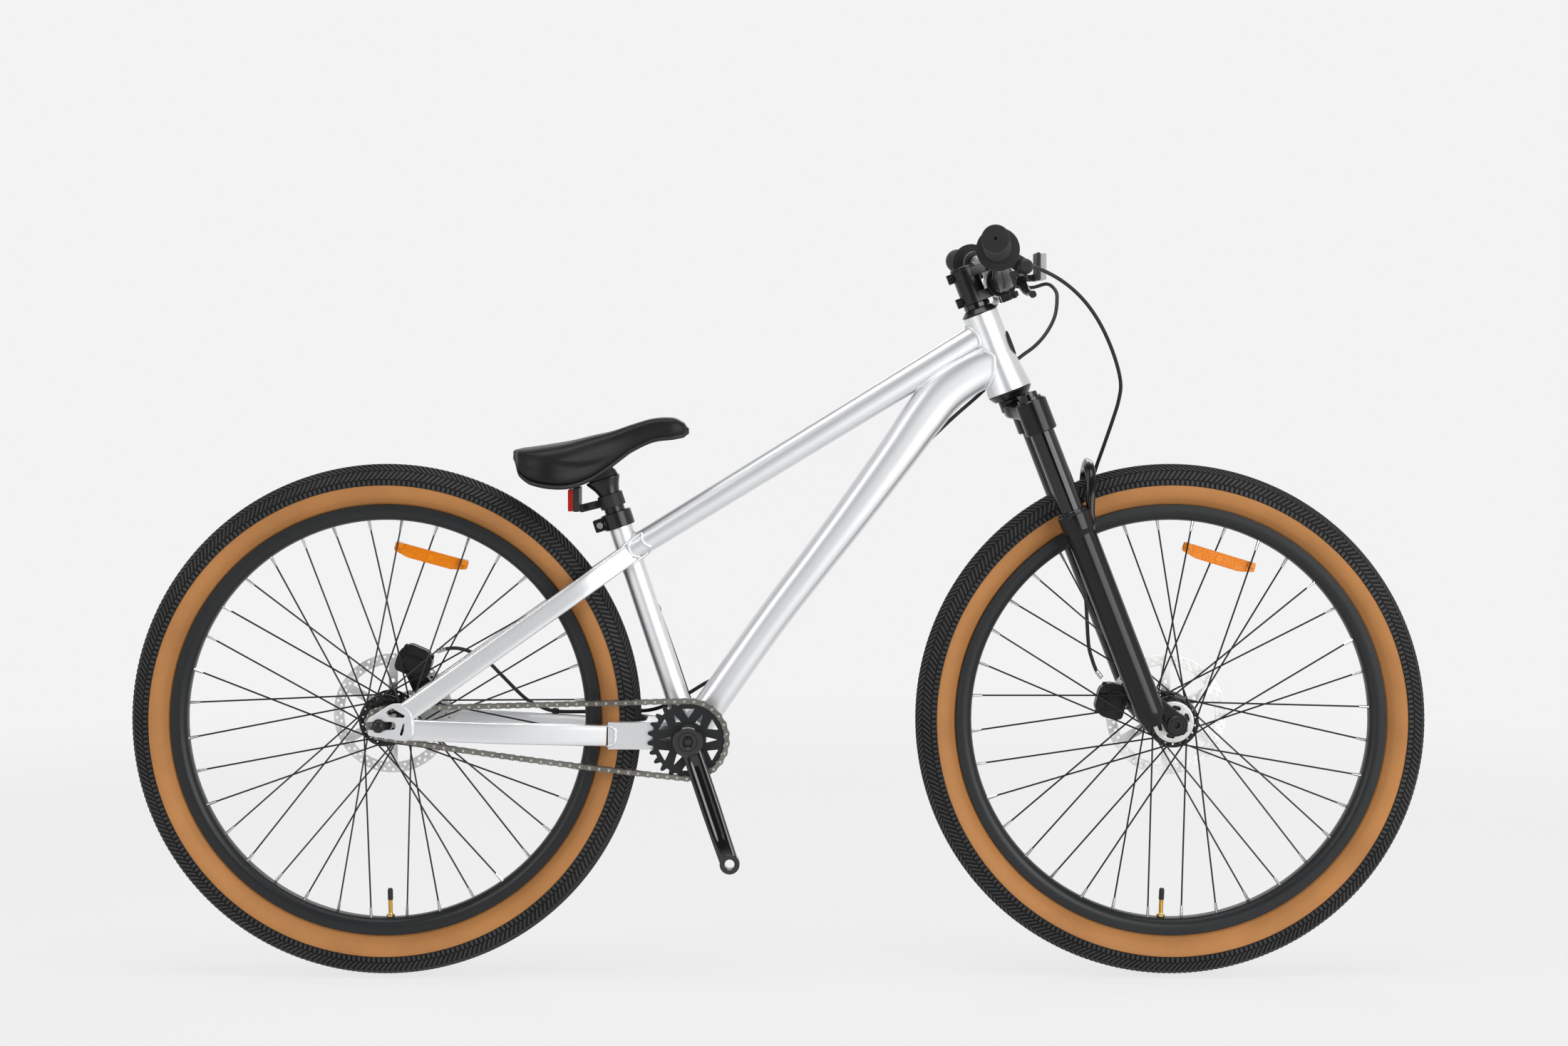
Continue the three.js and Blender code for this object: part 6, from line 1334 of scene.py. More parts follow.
def sprocket(radius, teeth, turn, bevel, holes):
    """A toothed plate in the chain's plane, its first tooth at turn from straight up."""
    outline = []
    for k in range(teeth):
        for share, out in TOOTH_SHARES:
            outline.append(around(radius + out, turn + (k + share) * math.tau / teeth))
    return plate(outline, CHAIN_OUT - SPROCKET_HALF_THICK, CHAIN_OUT + SPROCKET_HALF_THICK, bevel, holes)


chain_along = (bracket - rear_axle).normalized()
chain_above = chain_along.cross(LATERAL)
chain_lean = math.asin((RING_PITCH_RADIUS - COG_PITCH_RADIUS) / (bracket - rear_axle).length)
top_out = chain_along * -math.sin(chain_lean) + chain_above * math.cos(chain_lean)
bottom_out = chain_along * -math.sin(chain_lean) - chain_above * math.cos(chain_lean)
top_turn = math.atan2(top_out.x, top_out.z)
ring_holes = []
for k in range(RING_WINDOWS):
    spots = RING_WINDOW_CORNERS[k % 2]
    corners = [around(radius, (k + shift) * math.tau / RING_WINDOWS) for radius, shift in spots]
    ring_holes.append(rounded(corners, 1.4, 3))
ring_holes.append(ring_outline(0, 0, RING_BORE, 40))
ring_plate = sprocket(RING_PITCH_RADIUS, RING_TEETH, top_turn + math.pi / RING_TEETH, 0.45, ring_holes)
ring_hub = turned(collar(RING_BORE, RING_HUB_RADIUS, *RING_HUB, 1), "Y", count=56, closed=True)
piece("chainring_plate", moved(joined(ring_plate, ring_hub), bracket), satin_black, "crank", None, "chainring")


# Cog: a small sprocket of hardened steel, ground flat, with the chainring's teeth.
# It is pressed on the rear hub's driver, under the chain.
COG_BORE = 13.2
cog_plate = sprocket(COG_PITCH_RADIUS, COG_TEETH, top_turn - math.pi / COG_TEETH, 0.3,
                     [ring_outline(0, 0, COG_BORE, 32)])
piece("rear_cog_plate", moved(cog_plate, rear_axle), rotor_steel, "cog", None, "rear_cog")


# Chain: outer and inner links in turn, stamped from grey-olive steel and joined by bright rivets.
# It runs over the chainring and the cog, a hair slack below.
CHAIN_SAG = 3
RUN_STEPS = 40
LINK_HALF_HEIGHT = 4.2
LINK_WAIST = 2.9
LINK_THICK = 1.05
LINK_ROUND = 62
INNER_OUT = 1.75
OUTER_OUT = 2.95
ROLLER_RADIUS = 3.7
RIVET_RADIUS = 1.7
RIVET_OUT = 4.35
chain_steel = finish("chain_steel", (0.22, 0.213, 0.192), 0.32, grain=1200, bump=0.06,
                     mottle=0.25, metal=0.85)
rivet_steel = finish("rivet_steel", (0.6, 0.58, 0.52), 0.25, grain=1200, bump=0.03, metal=1.0)


def even_turns(start, stop, steps):
    return [start + (stop - start) * k / steps for k in range(steps + 1)]


def chain_arc(centre, radius, start, stop, steps):
    turns = even_turns(start, stop, steps)[:-1]
    return [centre + Vector((math.sin(turn), 0, math.cos(turn))) * radius for turn in turns]


def chain_course():
    """The chain's line, from the cog's top forward round the ring and back below, in small steps."""
    bottom_turn = math.atan2(bottom_out.x, bottom_out.z)
    bottom_turn += math.tau if bottom_turn < top_turn else 0
    runs = []
    for out, sag in ((top_out, 0), (bottom_out, CHAIN_SAG)):
        ends = [rear_axle + out * COG_PITCH_RADIUS, bracket + out * RING_PITCH_RADIUS]
        start, stop = ends if out is top_out else reversed(ends)
        shares = [k / RUN_STEPS for k in range(RUN_STEPS)]
        runs.append([start.lerp(stop, t) + out * sag * 4 * t * (1 - t) for t in shares])
    return (runs[0] + chain_arc(bracket, RING_PITCH_RADIUS, top_turn, bottom_turn, 60)
            + runs[1] + chain_arc(rear_axle, COG_PITCH_RADIUS, bottom_turn, top_turn + math.tau, 30))


def link_plate(a, b, low, high):
    """A waisted side plate between two rivets, stamped from sheet."""
    across = (b - a).normalized()
    up = Vector((-across.z, 0, across.x))
    outline = []
    for centre, facing in ((b, 1), (a, -1)):
        for turn in even_turns(-math.radians(LINK_ROUND), math.radians(LINK_ROUND), 8):
            outward = across * math.cos(turn) + up * math.sin(turn)
            outline.append(centre + outward * facing * LINK_HALF_HEIGHT)
        outline.append((a + b) / 2 + up * LINK_WAIST * facing)
    return plate([p.xz for p in outline], low, high, 0.22)


course = chain_course()
whole = sum((b - a).length for a, b in zip(course, course[1:] + course[:1]))
link_count = round(whole / CHAIN_PITCH / 2) * 2
spots = even_steps(course, whole / link_count)[:-1]
links, rivets = [], []
for k, spot in enumerate(spots):
    out = INNER_OUT if k % 2 else OUTER_OUT
    for side in (-1, 1):
        low, high = sorted((CHAIN_OUT + side * out, CHAIN_OUT + side * (out + LINK_THICK)))
        links.append(link_plate(spot, spots[(k + 1) % link_count], low, high))
    centre = Vector((spot.x, CHAIN_OUT, spot.z))
    links.append(rod(centre - LATERAL * INNER_OUT, centre + LATERAL * INNER_OUT, ROLLER_RADIUS, 14))
    rivets.append(rod(centre - LATERAL * RIVET_OUT, centre + LATERAL * RIVET_OUT, RIVET_RADIUS, 10))
piece("chain_links", joined(*links), chain_steel, "frame", None, "chain")
piece("chain_rivets", joined(*rivets), rivet_steel, "frame")


# Crank: two forged black arms on a spline through the bracket, each held by a bolt sunk in its boss.
# They widen to a boss at the spindle, carry a shallow flute, and end in an open eye.
CRANK_TURN = math.radians(19.4)
CRANK_LENGTH = 165
CRANK_STEPS = 44
CRANK_HALF_WIDTHS = (13, 11.8)
CRANK_HALF_THICK = 6.5
CRANK_INNER = 52
CRANK_FLARE = 21
CRANK_SHOULDER = (5, 3.8)
CRANK_BEVEL = 2.4
CRANK_FLUTE = 1.8
FLUTE_SHARES = [(0.2, 1), (0.3, 0.75), (0.4, 0.25), (0.48, 0)]
CRANK_EYE = [(6.4, 0), (12.2, -0.3), (13, 0.6), (13, 12.2), (12.1, 13), (7.4, 13), (6.4, 12)]
CRANK_EYE_HOLE = 6.4
CRANK_BOSS = [
    (0, 63), (7.4, 63), (7.4, 67), (8.6, 68), (11.4, 68), (11.8, 67.2), (12.6, 67.2), (13, 68), (17.8, 68),
    (19.5, 66.4), (19.5, 52), (0, 52),
]
CRANK_BOLT_OUT = 63
SPINDLE = [(12, -53), (12, 64)]
gloss_black = finish("gloss_black", (0.006, 0.006, 0.007), 0.13, grain=900, bump=0.002,
                     mottle=0.05, shine=0.65)


def arm_outline(wide, flute):
    """The section of an arm: soft shoulders and a shallow flute outside, small bevels inside."""
    thick = CRANK_HALF_THICK
    half = [(wide * across, thick - flute * deep) for across, deep in FLUTE_SHARES]
    for turn in even_turns(0, math.pi / 2, 5):
        inward, downward = CRANK_SHOULDER
        half.append((wide - inward * (1 - math.sin(turn)), thick - downward * (1 - math.cos(turn))))
    half += [(wide, CRANK_BEVEL - thick), (wide - CRANK_BEVEL, -thick)]
    return half[::-1] + [(-u, v) for u, v in half]


def eased(value, low, high):
    """A smooth rise from 0 at low to 1 at high."""
    share = clamped((value - low) / (high - low))
    return share * share * (3 - 2 * share)


def crank_arm(side):
    """One arm pointing down its own line; side -1 is the chain side."""
    rings = []
    for k in range(CRANK_STEPS + 1):
        reach = k / CRANK_STEPS * (CRANK_LENGTH - CRANK_EYE_HOLE + 2) - 2
        wide, narrow = CRANK_HALF_WIDTHS
        wide += (narrow - wide) * clamped((reach - 90) / 75)
        middle = side * (CRANK_INNER + CRANK_HALF_THICK + CRANK_FLARE * eased(reach, 8, CRANK_LENGTH))
        flute = CRANK_FLUTE * eased(reach, 20, 34) * (1 - eased(reach, 122, 140))
        rings.append([Vector((u, middle + side * v, -reach)) for u, v in arm_outline(wide, flute)])
    boss = [(radius, side * out) for radius, out in CRANK_BOSS]
    eye = [(radius, side * (CRANK_INNER + CRANK_FLARE + out)) for radius, out in CRANK_EYE]
    eye_ring = turned(eye, "Y", (0, 0, -CRANK_LENGTH), closed=True)
    return [skin(rings), turned(boss, "Y", count=56), eye_ring]


for (side, name), turn in zip(SIDES, (-CRANK_TURN, math.pi - CRANK_TURN)):
    crank_place = Matrix.Translation(bracket) @ Matrix.Rotation(turn, 4, "Y")
    arm_parts = crank_arm(side) + ([turned(SPINDLE, "Y", count=40)] if name == "right" else [])
    crank_bolt = hex_bolt((0, side * CRANK_BOLT_OUT, 0), LATERAL * side, 6.8, 3.6, 0.62)
    piece(f"crank_arm_{name}_forged", joined(*arm_parts), gloss_black, "crank", crank_place, f"crank_arm_{name}")
    piece(f"crank_bolt_{name}", crank_bolt, black_steel, "crank", crank_place)


# Fork crown: a bridge of forged aluminium, painted black, with a turned socket at each end.
# It is clamped on the two stanchions and pressed on the steerer tube.
CROWN_PATH = [
    (15.5, -62, -36), (7.75, -31, -28), (0, -12.5, -24), (0, 12.5, -24), (7.75, 31, -28), (15.5, 62, -36),
]
CROWN_HALF = (17, 12)
LEG_AHEAD = 15.5
LEG_SPREAD = 62
SOCKET_PROFILE = [(16.2, -62), (20, -62), (21, -60.5), (21, -20), (19, -18), (13.2, -18), (13.2, -20)]
STEERER_RADIUS = 14.3
STEERER_TOP = 170
STEERER_BORE = 12
RACE = [(STEERER_BORE, -24), (20, -24), (20, -10.3), (19, -9.3), (STEERER_RADIUS, -9.3)]
fork_black = finish("fork_black", (0.005, 0.005, 0.006), 0.2, grain=900, bump=0.002,
                    mottle=0.05, shine=0.3)
leg_places = {name: (LEG_AHEAD, side * LEG_SPREAD, 0) for side, name in SIDES}
crown_path = smooth_path(CROWN_PATH, 6)
crown_rings = [section(spot, FORWARD, UPWARD, *CROWN_HALF, CAST_SQUARE, 40) for spot in crown_path]
sockets = [turned(SOCKET_PROFILE, centre=centre, count=56, closed=True) for centre in leg_places.values()]
steerer_profile = RACE[1:] + [(STEERER_RADIUS, STEERER_TOP), (STEERER_BORE, STEERER_TOP), RACE[0]]
crown_skin = joined(skin(crown_rings), *sockets, turned(steerer_profile, count=56, closed=True))
piece("fork_crown_forged", crown_skin, fork_black, "steering", steering_place, "fork_crown")


# Stanchions: steel tubes, ground and coated glossy black, with turned caps in their tops.
# They are held by the crown and slide through seals into the lower legs.
STANCHION_PROFILE = [
    (0, -330), (15.5, -330), (16, -329.5), (16, -14.5), (12.6, -14), (12.6, -9.2), (11.6, -8), (7, -8),
    (6.4, -9.6), (0, -9.6),
]
ground_black = finish("ground_black", (0.004, 0.004, 0.005), 0.09, grain=900, bump=0.001,
                      mottle=0.05, shine=0.5)
for name, centre in leg_places.items():
    stanchion = turned(STANCHION_PROFILE, centre=centre, count=56)
    piece(f"stanchion_{name}_ground", stanchion, ground_black, "steering", steering_place, f"stanchion_{name}")


# Fork lowers: two legs and the arch between them, cast in one piece and painted black.
# Rubber wiper seals are pressed in the tops, and a lug under each leg takes the axle.
LEG_PROFILE = [
    (16.3, -172), (18.6, -171), (19.8, -172.2), (19.8, -175), (21.2, -175.8), (22, -177), (22, -197), (21.2, -199),
    (19.8, -203.9), (19.5, -206), (19.5, -451), (18.5, -459), (16.2, -465), (15.6, -466), (14.8, -470), (5, -470),
    (5, -467), (0, -467),
]
SEAL_PROFILE = [(16.15, -171.4), (18.9, -171.4), (18.9, -172.6), (16.15, -172.6)]
ARCH_PATH = [
    (23.5, -62, -208), (33, -58.9, -196), (38.13, -57.04, -180.13), (50.01, -49.6, -154.6),
    (58.11, -33.48, -135.28), (60, 0, -127),
]
ARCH_HALF = (5.5, 8)
ARCH_LEAN = Vector((-0.75, 0, 0.66)).normalized()
LUG_CENTRE = (41.6, -480.3)
LUG_RADIUS = 15.7
LUG_NECK = [(15.5, -443), (17.5, -417), (31.25, -417), (33.25, -437)]
LUG_OUT = (50.3, 61.3)
FRONT_AXLE_RADIUS = 7.5


def axle_lug(side):
    low, high = sorted(side * out for out in LUG_OUT)
    outline = []
    for angle in range(40, 290, 10):
        ahead, up = around(LUG_RADIUS, math.radians(angle))
        outline.append((LUG_CENTRE[0] + ahead, LUG_CENTRE[1] + up))
    return plate(outline + LUG_NECK, low, high, 1.2, [ring_outline(*LUG_CENTRE, FRONT_AXLE_RADIUS, 28)], 2)


arch_path = smooth_path(ARCH_PATH + [(x, -y, z) for x, y, z in ARCH_PATH[-2::-1]], 6)
arch = skin(tube(arch_path, ARCH_LEAN, ARCH_HALF, CAST_SQUARE, 32))
legs = [turned(LEG_PROFILE, centre=centre, count=56) for centre in leg_places.values()]
seals = [turned(SEAL_PROFILE, centre=centre, closed=True) for centre in leg_places.values()]
piece("fork_lower_casting", joined(*legs, arch, axle_lug(-1), axle_lug(1)), fork_black, "fork_slider",
      steering_place, "fork_lowers")
piece("fork_wiper_seals", joined(*seals), black_rubber, "fork_slider", steering_place)


# Front axle: a hollow bolt of black alloy, turned, with a wide head on the chain side.
# It is put through both lugs and the hub, and tightened in its socket.
FRONT_AXLE_PROFILE = [
    (FRONT_AXLE_RADIUS, 62), (FRONT_AXLE_RADIUS, -61.4), (12, -61.4), (12, -64.6), (11, -65.6), (9.4, -65.6),
    (9, -64.9), (7.6, -64.9), (7.2, -65.6), (4.6, -65.6), (4.6, -60.6), (0, -60.6),
]
FAR_PLUG = [(0, 62.2), (FRONT_AXLE_RADIUS, 62.2), (FRONT_AXLE_RADIUS, 50)]
front_bolt = joined(turned(FRONT_AXLE_PROFILE, "Y"), turned(FAR_PLUG, "Y", count=40))
piece("front_axle_bolt", moved(front_bolt, front_axle), black_steel, "fork_slider", None, "front_axle")


# Brake calipers: forged black bodies in two halves over the rotor, on their mounts by two bolts each.
# The front one sits behind the left leg, the rear one on an adapter plate over the left seatstay.
CALIPER_BODY = [(-21, 56), (21, 56), (24, 68), (22, 87), (12, 96), (-15, 96), (-24, 84), (-24, 66)]
CALIPER_COVER = [(-15, 61), (15, 61), (15, 83), (-15, 83)]
CALIPER_BRIDGE = [(-22, 82), (22, 82), (21, 93), (-21, 93)]
CALIPER_SLOT_HALF = 2.5
CALIPER_BODY_OUT = 10
CALIPER_COVER_OUT = 13.5
CALIPER_ANGLES = {"front": math.radians(165), "rear": math.radians(67)}
ADAPTER_OUT = (59, 65)
ADAPTER_LENGTH = 48
ADAPTER_REACH = 64
ADAPTER_HALF = 17


def caliper(out):
    """The body about the rotor's plane at out, its length ahead and its height up from the axle."""
    body, cover = rounded(CALIPER_BODY, 5), rounded(CALIPER_COVER, 10.5, 6)
    parts = []
    for side in (-1, 1):
        for outline, near, far, bevel in ((body, CALIPER_SLOT_HALF, CALIPER_BODY_OUT, 1.0),
                                          (cover, CALIPER_BODY_OUT, CALIPER_COVER_OUT, 1.4)):
            low, high = sorted((out + side * near, out + side * far))
            parts.append(plate(outline, low, high, bevel, steps=2))
    half = CALIPER_SLOT_HALF + 0.6
    parts.append(plate(rounded(CALIPER_BRIDGE, 3), out - half, out + half, 0.2))
    parts += [hex_bolt((ahead, out - CALIPER_BODY_OUT, 84), -LATERAL, 4.2, 2.4) for ahead in (-18, 18)]
    return joined(*parts)


for end, centre, body in (("front", front_axle, "fork_slider"), ("rear", rear_axle, "frame")):
    reach = Vector((math.cos(CALIPER_ANGLES[end]), 0, math.sin(CALIPER_ANGLES[end])))
    caliper_place = faced(centre, reach)
    piece(f"{end}_caliper_body", caliper(ROTOR_AT[end]), black_alloy, body, caliper_place, f"{end}_caliper")
stay_foot = rear_axle + Vector(SEATSTAY_START)
stay_along = (seat_point(SEATSTAY_MEET_HEIGHT) - stay_foot).normalized()
stay_top = stay_foot + stay_along.cross(LATERAL) * (SEATSTAY_HALF[1] - 4)
adapter_foot = rear_axle + reach * ADAPTER_REACH
adapter_side = Vector((-reach.z, 0, reach.x)) * ADAPTER_HALF
adapter_corners = [stay_top, stay_top + stay_along * ADAPTER_LENGTH, adapter_foot - adapter_side,
                   adapter_foot + adapter_side]
adapter = plate(rounded([p.xz for p in adapter_corners], 4), *ADAPTER_OUT)
piece("rear_caliper_adapter", adapter, black_alloy, "frame")


# Spacer and stem: a black ring and a machined stem, clamped on the steerer by two arms with rear ears.
# Its boss holds the bar between body and front plate, drawn together by four bolts.
SPACER = (118.3, 125.1)
SPACER_RADIUS = 17.6
SPACER_BORE = 15
STEM_LOW = 125.3
STEM_HIGH = 172.3
STEM_ARM_HEIGHT = 13
STEM_ARM_LOWS = (STEM_LOW, STEM_HIGH - STEM_ARM_HEIGHT)
STEM_ARM_HALF = 13
STEM_CLAMP_RADIUS = 18.6
STEM_BORE = 14.5
STEM_EAR_BACK = -24.6
STEM_EAR_HALF = 26 / 3
STEM_COLUMN = [
    (STEM_BORE, STEM_LOW), (17.6, STEM_LOW), (17.6, STEM_HIGH), (17.2, STEM_HIGH + 0.4), (17.6, STEM_HIGH + 0.8),
    (17.6, STEM_HIGH + 3), (16.6, STEM_HIGH + 4), (5.6, STEM_HIGH + 4), (5.6, STEM_HIGH + 1), (0, STEM_HIGH + 1),
]
STEM_REACH = 40.3
BAR_HEIGHT = 139.4
BAR_CLAMP_RADIUS = 15.9
STEM_BOSS_RADIUS = 20.5
STEM_BOSS_HALF = 25
STEM_LUG_DEPTH = 9
FACEPLATE_GAP = 5.3
FOUR_WAYS = [(up, across) for up in (-1, 1) for across in (-1, 1)]
bar_centre = Vector((STEM_REACH, 0, BAR_HEIGHT))


def stem_arm(low):
    """One flat arm from its clamp ring to the boss, with ears behind."""
    turns = even_turns(math.radians(64), math.radians(296), 24)
    clamp = [Vector((math.cos(turn), math.sin(turn))) * STEM_CLAMP_RADIUS for turn in turns]
    clamp = [p for p in clamp if p.x >= 0 or abs(p.y) >= STEM_EAR_HALF]
    ears = [(STEM_EAR_BACK, STEM_EAR_HALF), (STEM_EAR_BACK, 0.7), (-16, 0.7)]
    ears += [(x, -y) for x, y in reversed(ears)]
    nose = [(STEM_REACH - 6, -STEM_ARM_HALF), (STEM_REACH - 6, STEM_ARM_HALF)]
    outline = [p for p in clamp if p.y > 0] + ears + [p for p in clamp if p.y <= 0] + nose
    bore = ring_outline(0, 0, STEM_BORE, 40)
    return plate(outline, low, low + STEM_ARM_HEIGHT, 0.8, [bore], 2, upright=False)


def boss_shell(back, outer_steps, inner_steps, near, far):
    """Half of the clamp round the bar, with its four lugs: back is a whole turn for the stem's own half."""
    outer = math.acos(FACEPLATE_GAP / STEM_BOSS_RADIUS)
    inner = math.acos(FACEPLATE_GAP / (BAR_CLAMP_RADIUS + 0.3))
    outline = []
    for start, stop, steps, radius in ((outer, back - outer, outer_steps, STEM_BOSS_RADIUS),
                                       (back - inner, inner, inner_steps, BAR_CLAMP_RADIUS + 0.2)):
        outline += [Vector((math.cos(a), math.sin(a))) * radius for a in even_turns(start, stop, steps)]
    parts = [plate(outline, -STEM_BOSS_HALF, STEM_BOSS_HALF, 0.8)]
    for up, across in FOUR_WAYS:
        low, high = sorted((across * 11, across * (STEM_BOSS_HALF - 0.5)))
        bottom, top = sorted((up * 17, up * 27))
        parts.append(block((near, low, bottom), (far, high, top), 2))
    return moved(joined(*parts), bar_centre)


stem_half = boss_shell(math.tau, 32, 28, -STEM_LUG_DEPTH, FACEPLATE_GAP)
front_half = boss_shell(0, 20, 16, FACEPLATE_GAP + 0.4, FACEPLATE_GAP + 7)
stem_skin = joined(turned(STEM_COLUMN, count=56), *[stem_arm(low) for low in STEM_ARM_LOWS], stem_half)
spacer_profile = collar(SPACER_BORE, SPACER_RADIUS, *SPACER, 0.6)
stem_bolts = [hex_bolt((0, 0, STEM_HIGH + 1), UPWARD, 5.2, 2.6)]
for up, across in FOUR_WAYS:
    spot = bar_centre + Vector((FACEPLATE_GAP + 7, across * 18, up * 22))
    stem_bolts.append(hex_bolt(spot, FORWARD, 3.6, 2.6))
for low in STEM_ARM_LOWS:
    spot = (STEM_EAR_BACK + 4.2, -STEM_EAR_HALF, low + STEM_ARM_HEIGHT / 2)
    stem_bolts.append(hex_bolt(spot, -LATERAL, 3.4, 2.4))
piece("spacer_ring", turned(spacer_profile, count=56, closed=True), gloss_black, "steering", steering_place,
      "steerer_spacer")
piece("stem_machined", stem_skin, black_alloy, "steering", steering_place, "stem")
piece("stem_front_plate", front_half, black_alloy, "steering", steering_place, "stem_faceplate")
piece("stem_bolts", joined(*stem_bolts), black_steel, "steering", steering_place)


# Handlebar: a black alloy tube, fat at its clamp, bent up and swept back to the grips.
# Slip-on rubber grips have a flange inside and a small hole in the end.
BAR_RADIUS = 11.1
BAR_HALF_LENGTH = 377
BAR_SWEEP = 17.5
BAR_RISE = 50.3
BAR_SHARES = [
    (0, 0, 0, 1), (0.09, 0, 0, 1), (0.16, 0, 0.06, 0.55), (0.265, 0.01, 0.4, 0), (0.37, 0.04, 0.61, 0),
    (0.48, 0.2, 0.69, 0), (0.655, 0.48, 0.77, 0), (1, 1, 1, 0),
]
BAR_STEPS = 5
GRIP_FLANGE = [(11.3, -130), (26.2, -130), (27, -129), (27, -127), (26, -126), (18, -123.6)]
GRIP_RIB = [(17, 0), (17, 1.7), (16.1, 2), (16.1, 2.9)]
GRIP_RIBS = 34
GRIP_RIBS_START = -121
GRIP_RIB_PITCH = 3.2
GRIP_END = [(17, -10), (17, 1.4), (16.3, 3.2), (14.6, 4), (2, 4), (2, 0.4), (0, 0.4)]


def bar_point(shares, side):
    along, back, up = shares[:3]
    return bar_centre + Vector((-back * BAR_SWEEP, side * along * BAR_HALF_LENGTH, up * BAR_RISE))


bar_rows = [(-1, row) for row in reversed(BAR_SHARES)] + [(1, row) for row in BAR_SHARES[1:]]
bar_path = smooth_path([bar_point(row, side) for side, row in bar_rows], BAR_STEPS)
for foot in (0, len(bar_path) - 1 - BAR_STEPS):
    for i in range(BAR_STEPS):
        bar_path[foot + i] = bar_path[foot].lerp(bar_path[foot + BAR_STEPS], i / BAR_STEPS)
swelling = between_rows([row[3] for side, row in bar_rows], BAR_STEPS)
bar_halves = [(BAR_RADIUS + fat * (BAR_CLAMP_RADIUS - BAR_RADIUS),) * 2 for fat in swelling]
bar_skin = skin(tube(bar_path, FORWARD, bar_halves, count=40))
piece("handlebar_tube", bar_skin, black_alloy, "steering", steering_place, "handlebar")
grip_profile = [*GRIP_FLANGE]
for k in range(GRIP_RIBS):
    grip_profile += [(radius, GRIP_RIBS_START + k * GRIP_RIB_PITCH + up) for radius, up in GRIP_RIB]
grip_profile += GRIP_END
for side, name in SIDES:
    tip, bend = bar_point(BAR_SHARES[-1], side), bar_point(BAR_SHARES[-2], side)
    piece(f"grip_{name}_ribbed", turned(grip_profile, count=56), black_rubber, "steering",
          steering_place @ faced(tip, tip - bend), f"grip_{name}", crease=30)


# Brake levers: a black body with its cylinder under the bar, clamped by a ring, and a two-finger blade.
# The blade turns on a pin between two ears of the body, and is long, flat and hooked at its tip.
LEVER_CLAMP_OUT = 212
LEVER_CLAMP_HALF = 7
LEVER_CLAMP_RADIUS = 17
CYLINDER_AHEAD = 23.4
CYLINDER_DROP = 29.5
CYLINDER_RADIUS = 10
CYLINDER_PROFILE = [
    (0, -230), (6, -230), (9, -227), (10, -223), (10, -166), (8.8, -165), (8.8, -161), (5.6, -160), (5, -158),
    (0, -158),
]
LEVER_PIVOT = (12, -44)
LEVER_PIVOT_OUT = 218
LEVER_PIVOT_RADIUS = 4
EAR_GAP = 6.3
EAR_THICK = 4
BLADE_LENGTH = 92
BLADE_REACH = 20
BLADE_HALF = (6, 3.5)
BLADE_SHARES = [(-0.05, -0.05), (0.12, 0.42), (0.28, 0.72), (0.6, 0.9), (0.85, 0.92), (1, 1)]
inner_row, outer_row = BAR_SHARES[5:7]
clamp_share = (LEVER_CLAMP_OUT / BAR_HALF_LENGTH - inner_row[0]) / (outer_row[0] - inner_row[0])
inner_spot, outer_spot = bar_point(inner_row, -1), bar_point(outer_row, -1)
lever_centre = inner_spot.lerp(outer_spot, clamp_share)
lever_pivot = Vector((lever_centre.x + LEVER_PIVOT[0], -LEVER_PIVOT_OUT, lever_centre.z + LEVER_PIVOT[1]))


def lever_body():
    clamp_profile = collar(BAR_RADIUS + 0.2, LEVER_CLAMP_RADIUS, -LEVER_CLAMP_HALF, LEVER_CLAMP_HALF, 1)
    clamp = turned(clamp_profile, count=40, closed=True)
    axis = lever_centre + Vector((CYLINDER_AHEAD, 0, -CYLINDER_DROP))
    neck = tube([lever_centre, axis], LATERAL, (LEVER_CLAMP_HALF, CYLINDER_RADIUS), 0.4, 28)
    x, y, z = lever_pivot
    top = axis.z - CYLINDER_RADIUS + 4
    parts = [
        placed(clamp, faced(lever_centre, outer_spot - inner_spot)),
        turned(CYLINDER_PROFILE, "Y", (axis.x, 0, axis.z), 36), skin(neck),
        block((x - EAR_GAP - EAR_THICK, y - 4, z + 2 * LEVER_PIVOT_RADIUS), (axis.x, y + 4, top + 6), 1.5),
    ]
    for side in (-1, 1):
        low, high = sorted((x + side * EAR_GAP, x + side * (EAR_GAP + EAR_THICK)))
        parts.append(block((low, y - 4, z - 4), (high, y + 4, top), 0.9))
    pin = FORWARD * (EAR_GAP + EAR_THICK + 0.2)
    return joined(*parts, rod(lever_pivot - pin, lever_pivot + pin, LEVER_PIVOT_RADIUS / 2, 16))


def lever_blade():
    path = [lever_pivot + Vector((0, -out * BLADE_LENGTH, -reach * BLADE_REACH)) for out, reach in BLADE_SHARES]
    fine = smooth_path(path, 6)
    halves = []
    for i in range(len(fine)):
        share = i / (len(fine) - 1)
        thin = 1 - 0.25 * math.sin(math.pi * share) + (0.25 if share > 0.96 else 0)
        halves.append((BLADE_HALF[0] * (0.86 + 0.14 * math.cos(math.pi * share)), BLADE_HALF[1] * thin))
    return skin(tube(fine, FORWARD, halves, 0.2, 28))


right_parts = (lever_body(), lever_blade())
left_parts = [mirrored(part) for part in right_parts]
for name, (body_skin, blade_skin) in (("right", right_parts), ("left", left_parts)):
    piece(f"lever_body_{name}", body_skin, black_plastic, "steering", steering_place, f"brake_lever_body_{name}")
    piece(f"lever_blade_{name}", blade_skin, black_alloy, f"lever_{name}", steering_place, f"brake_lever_{name}")


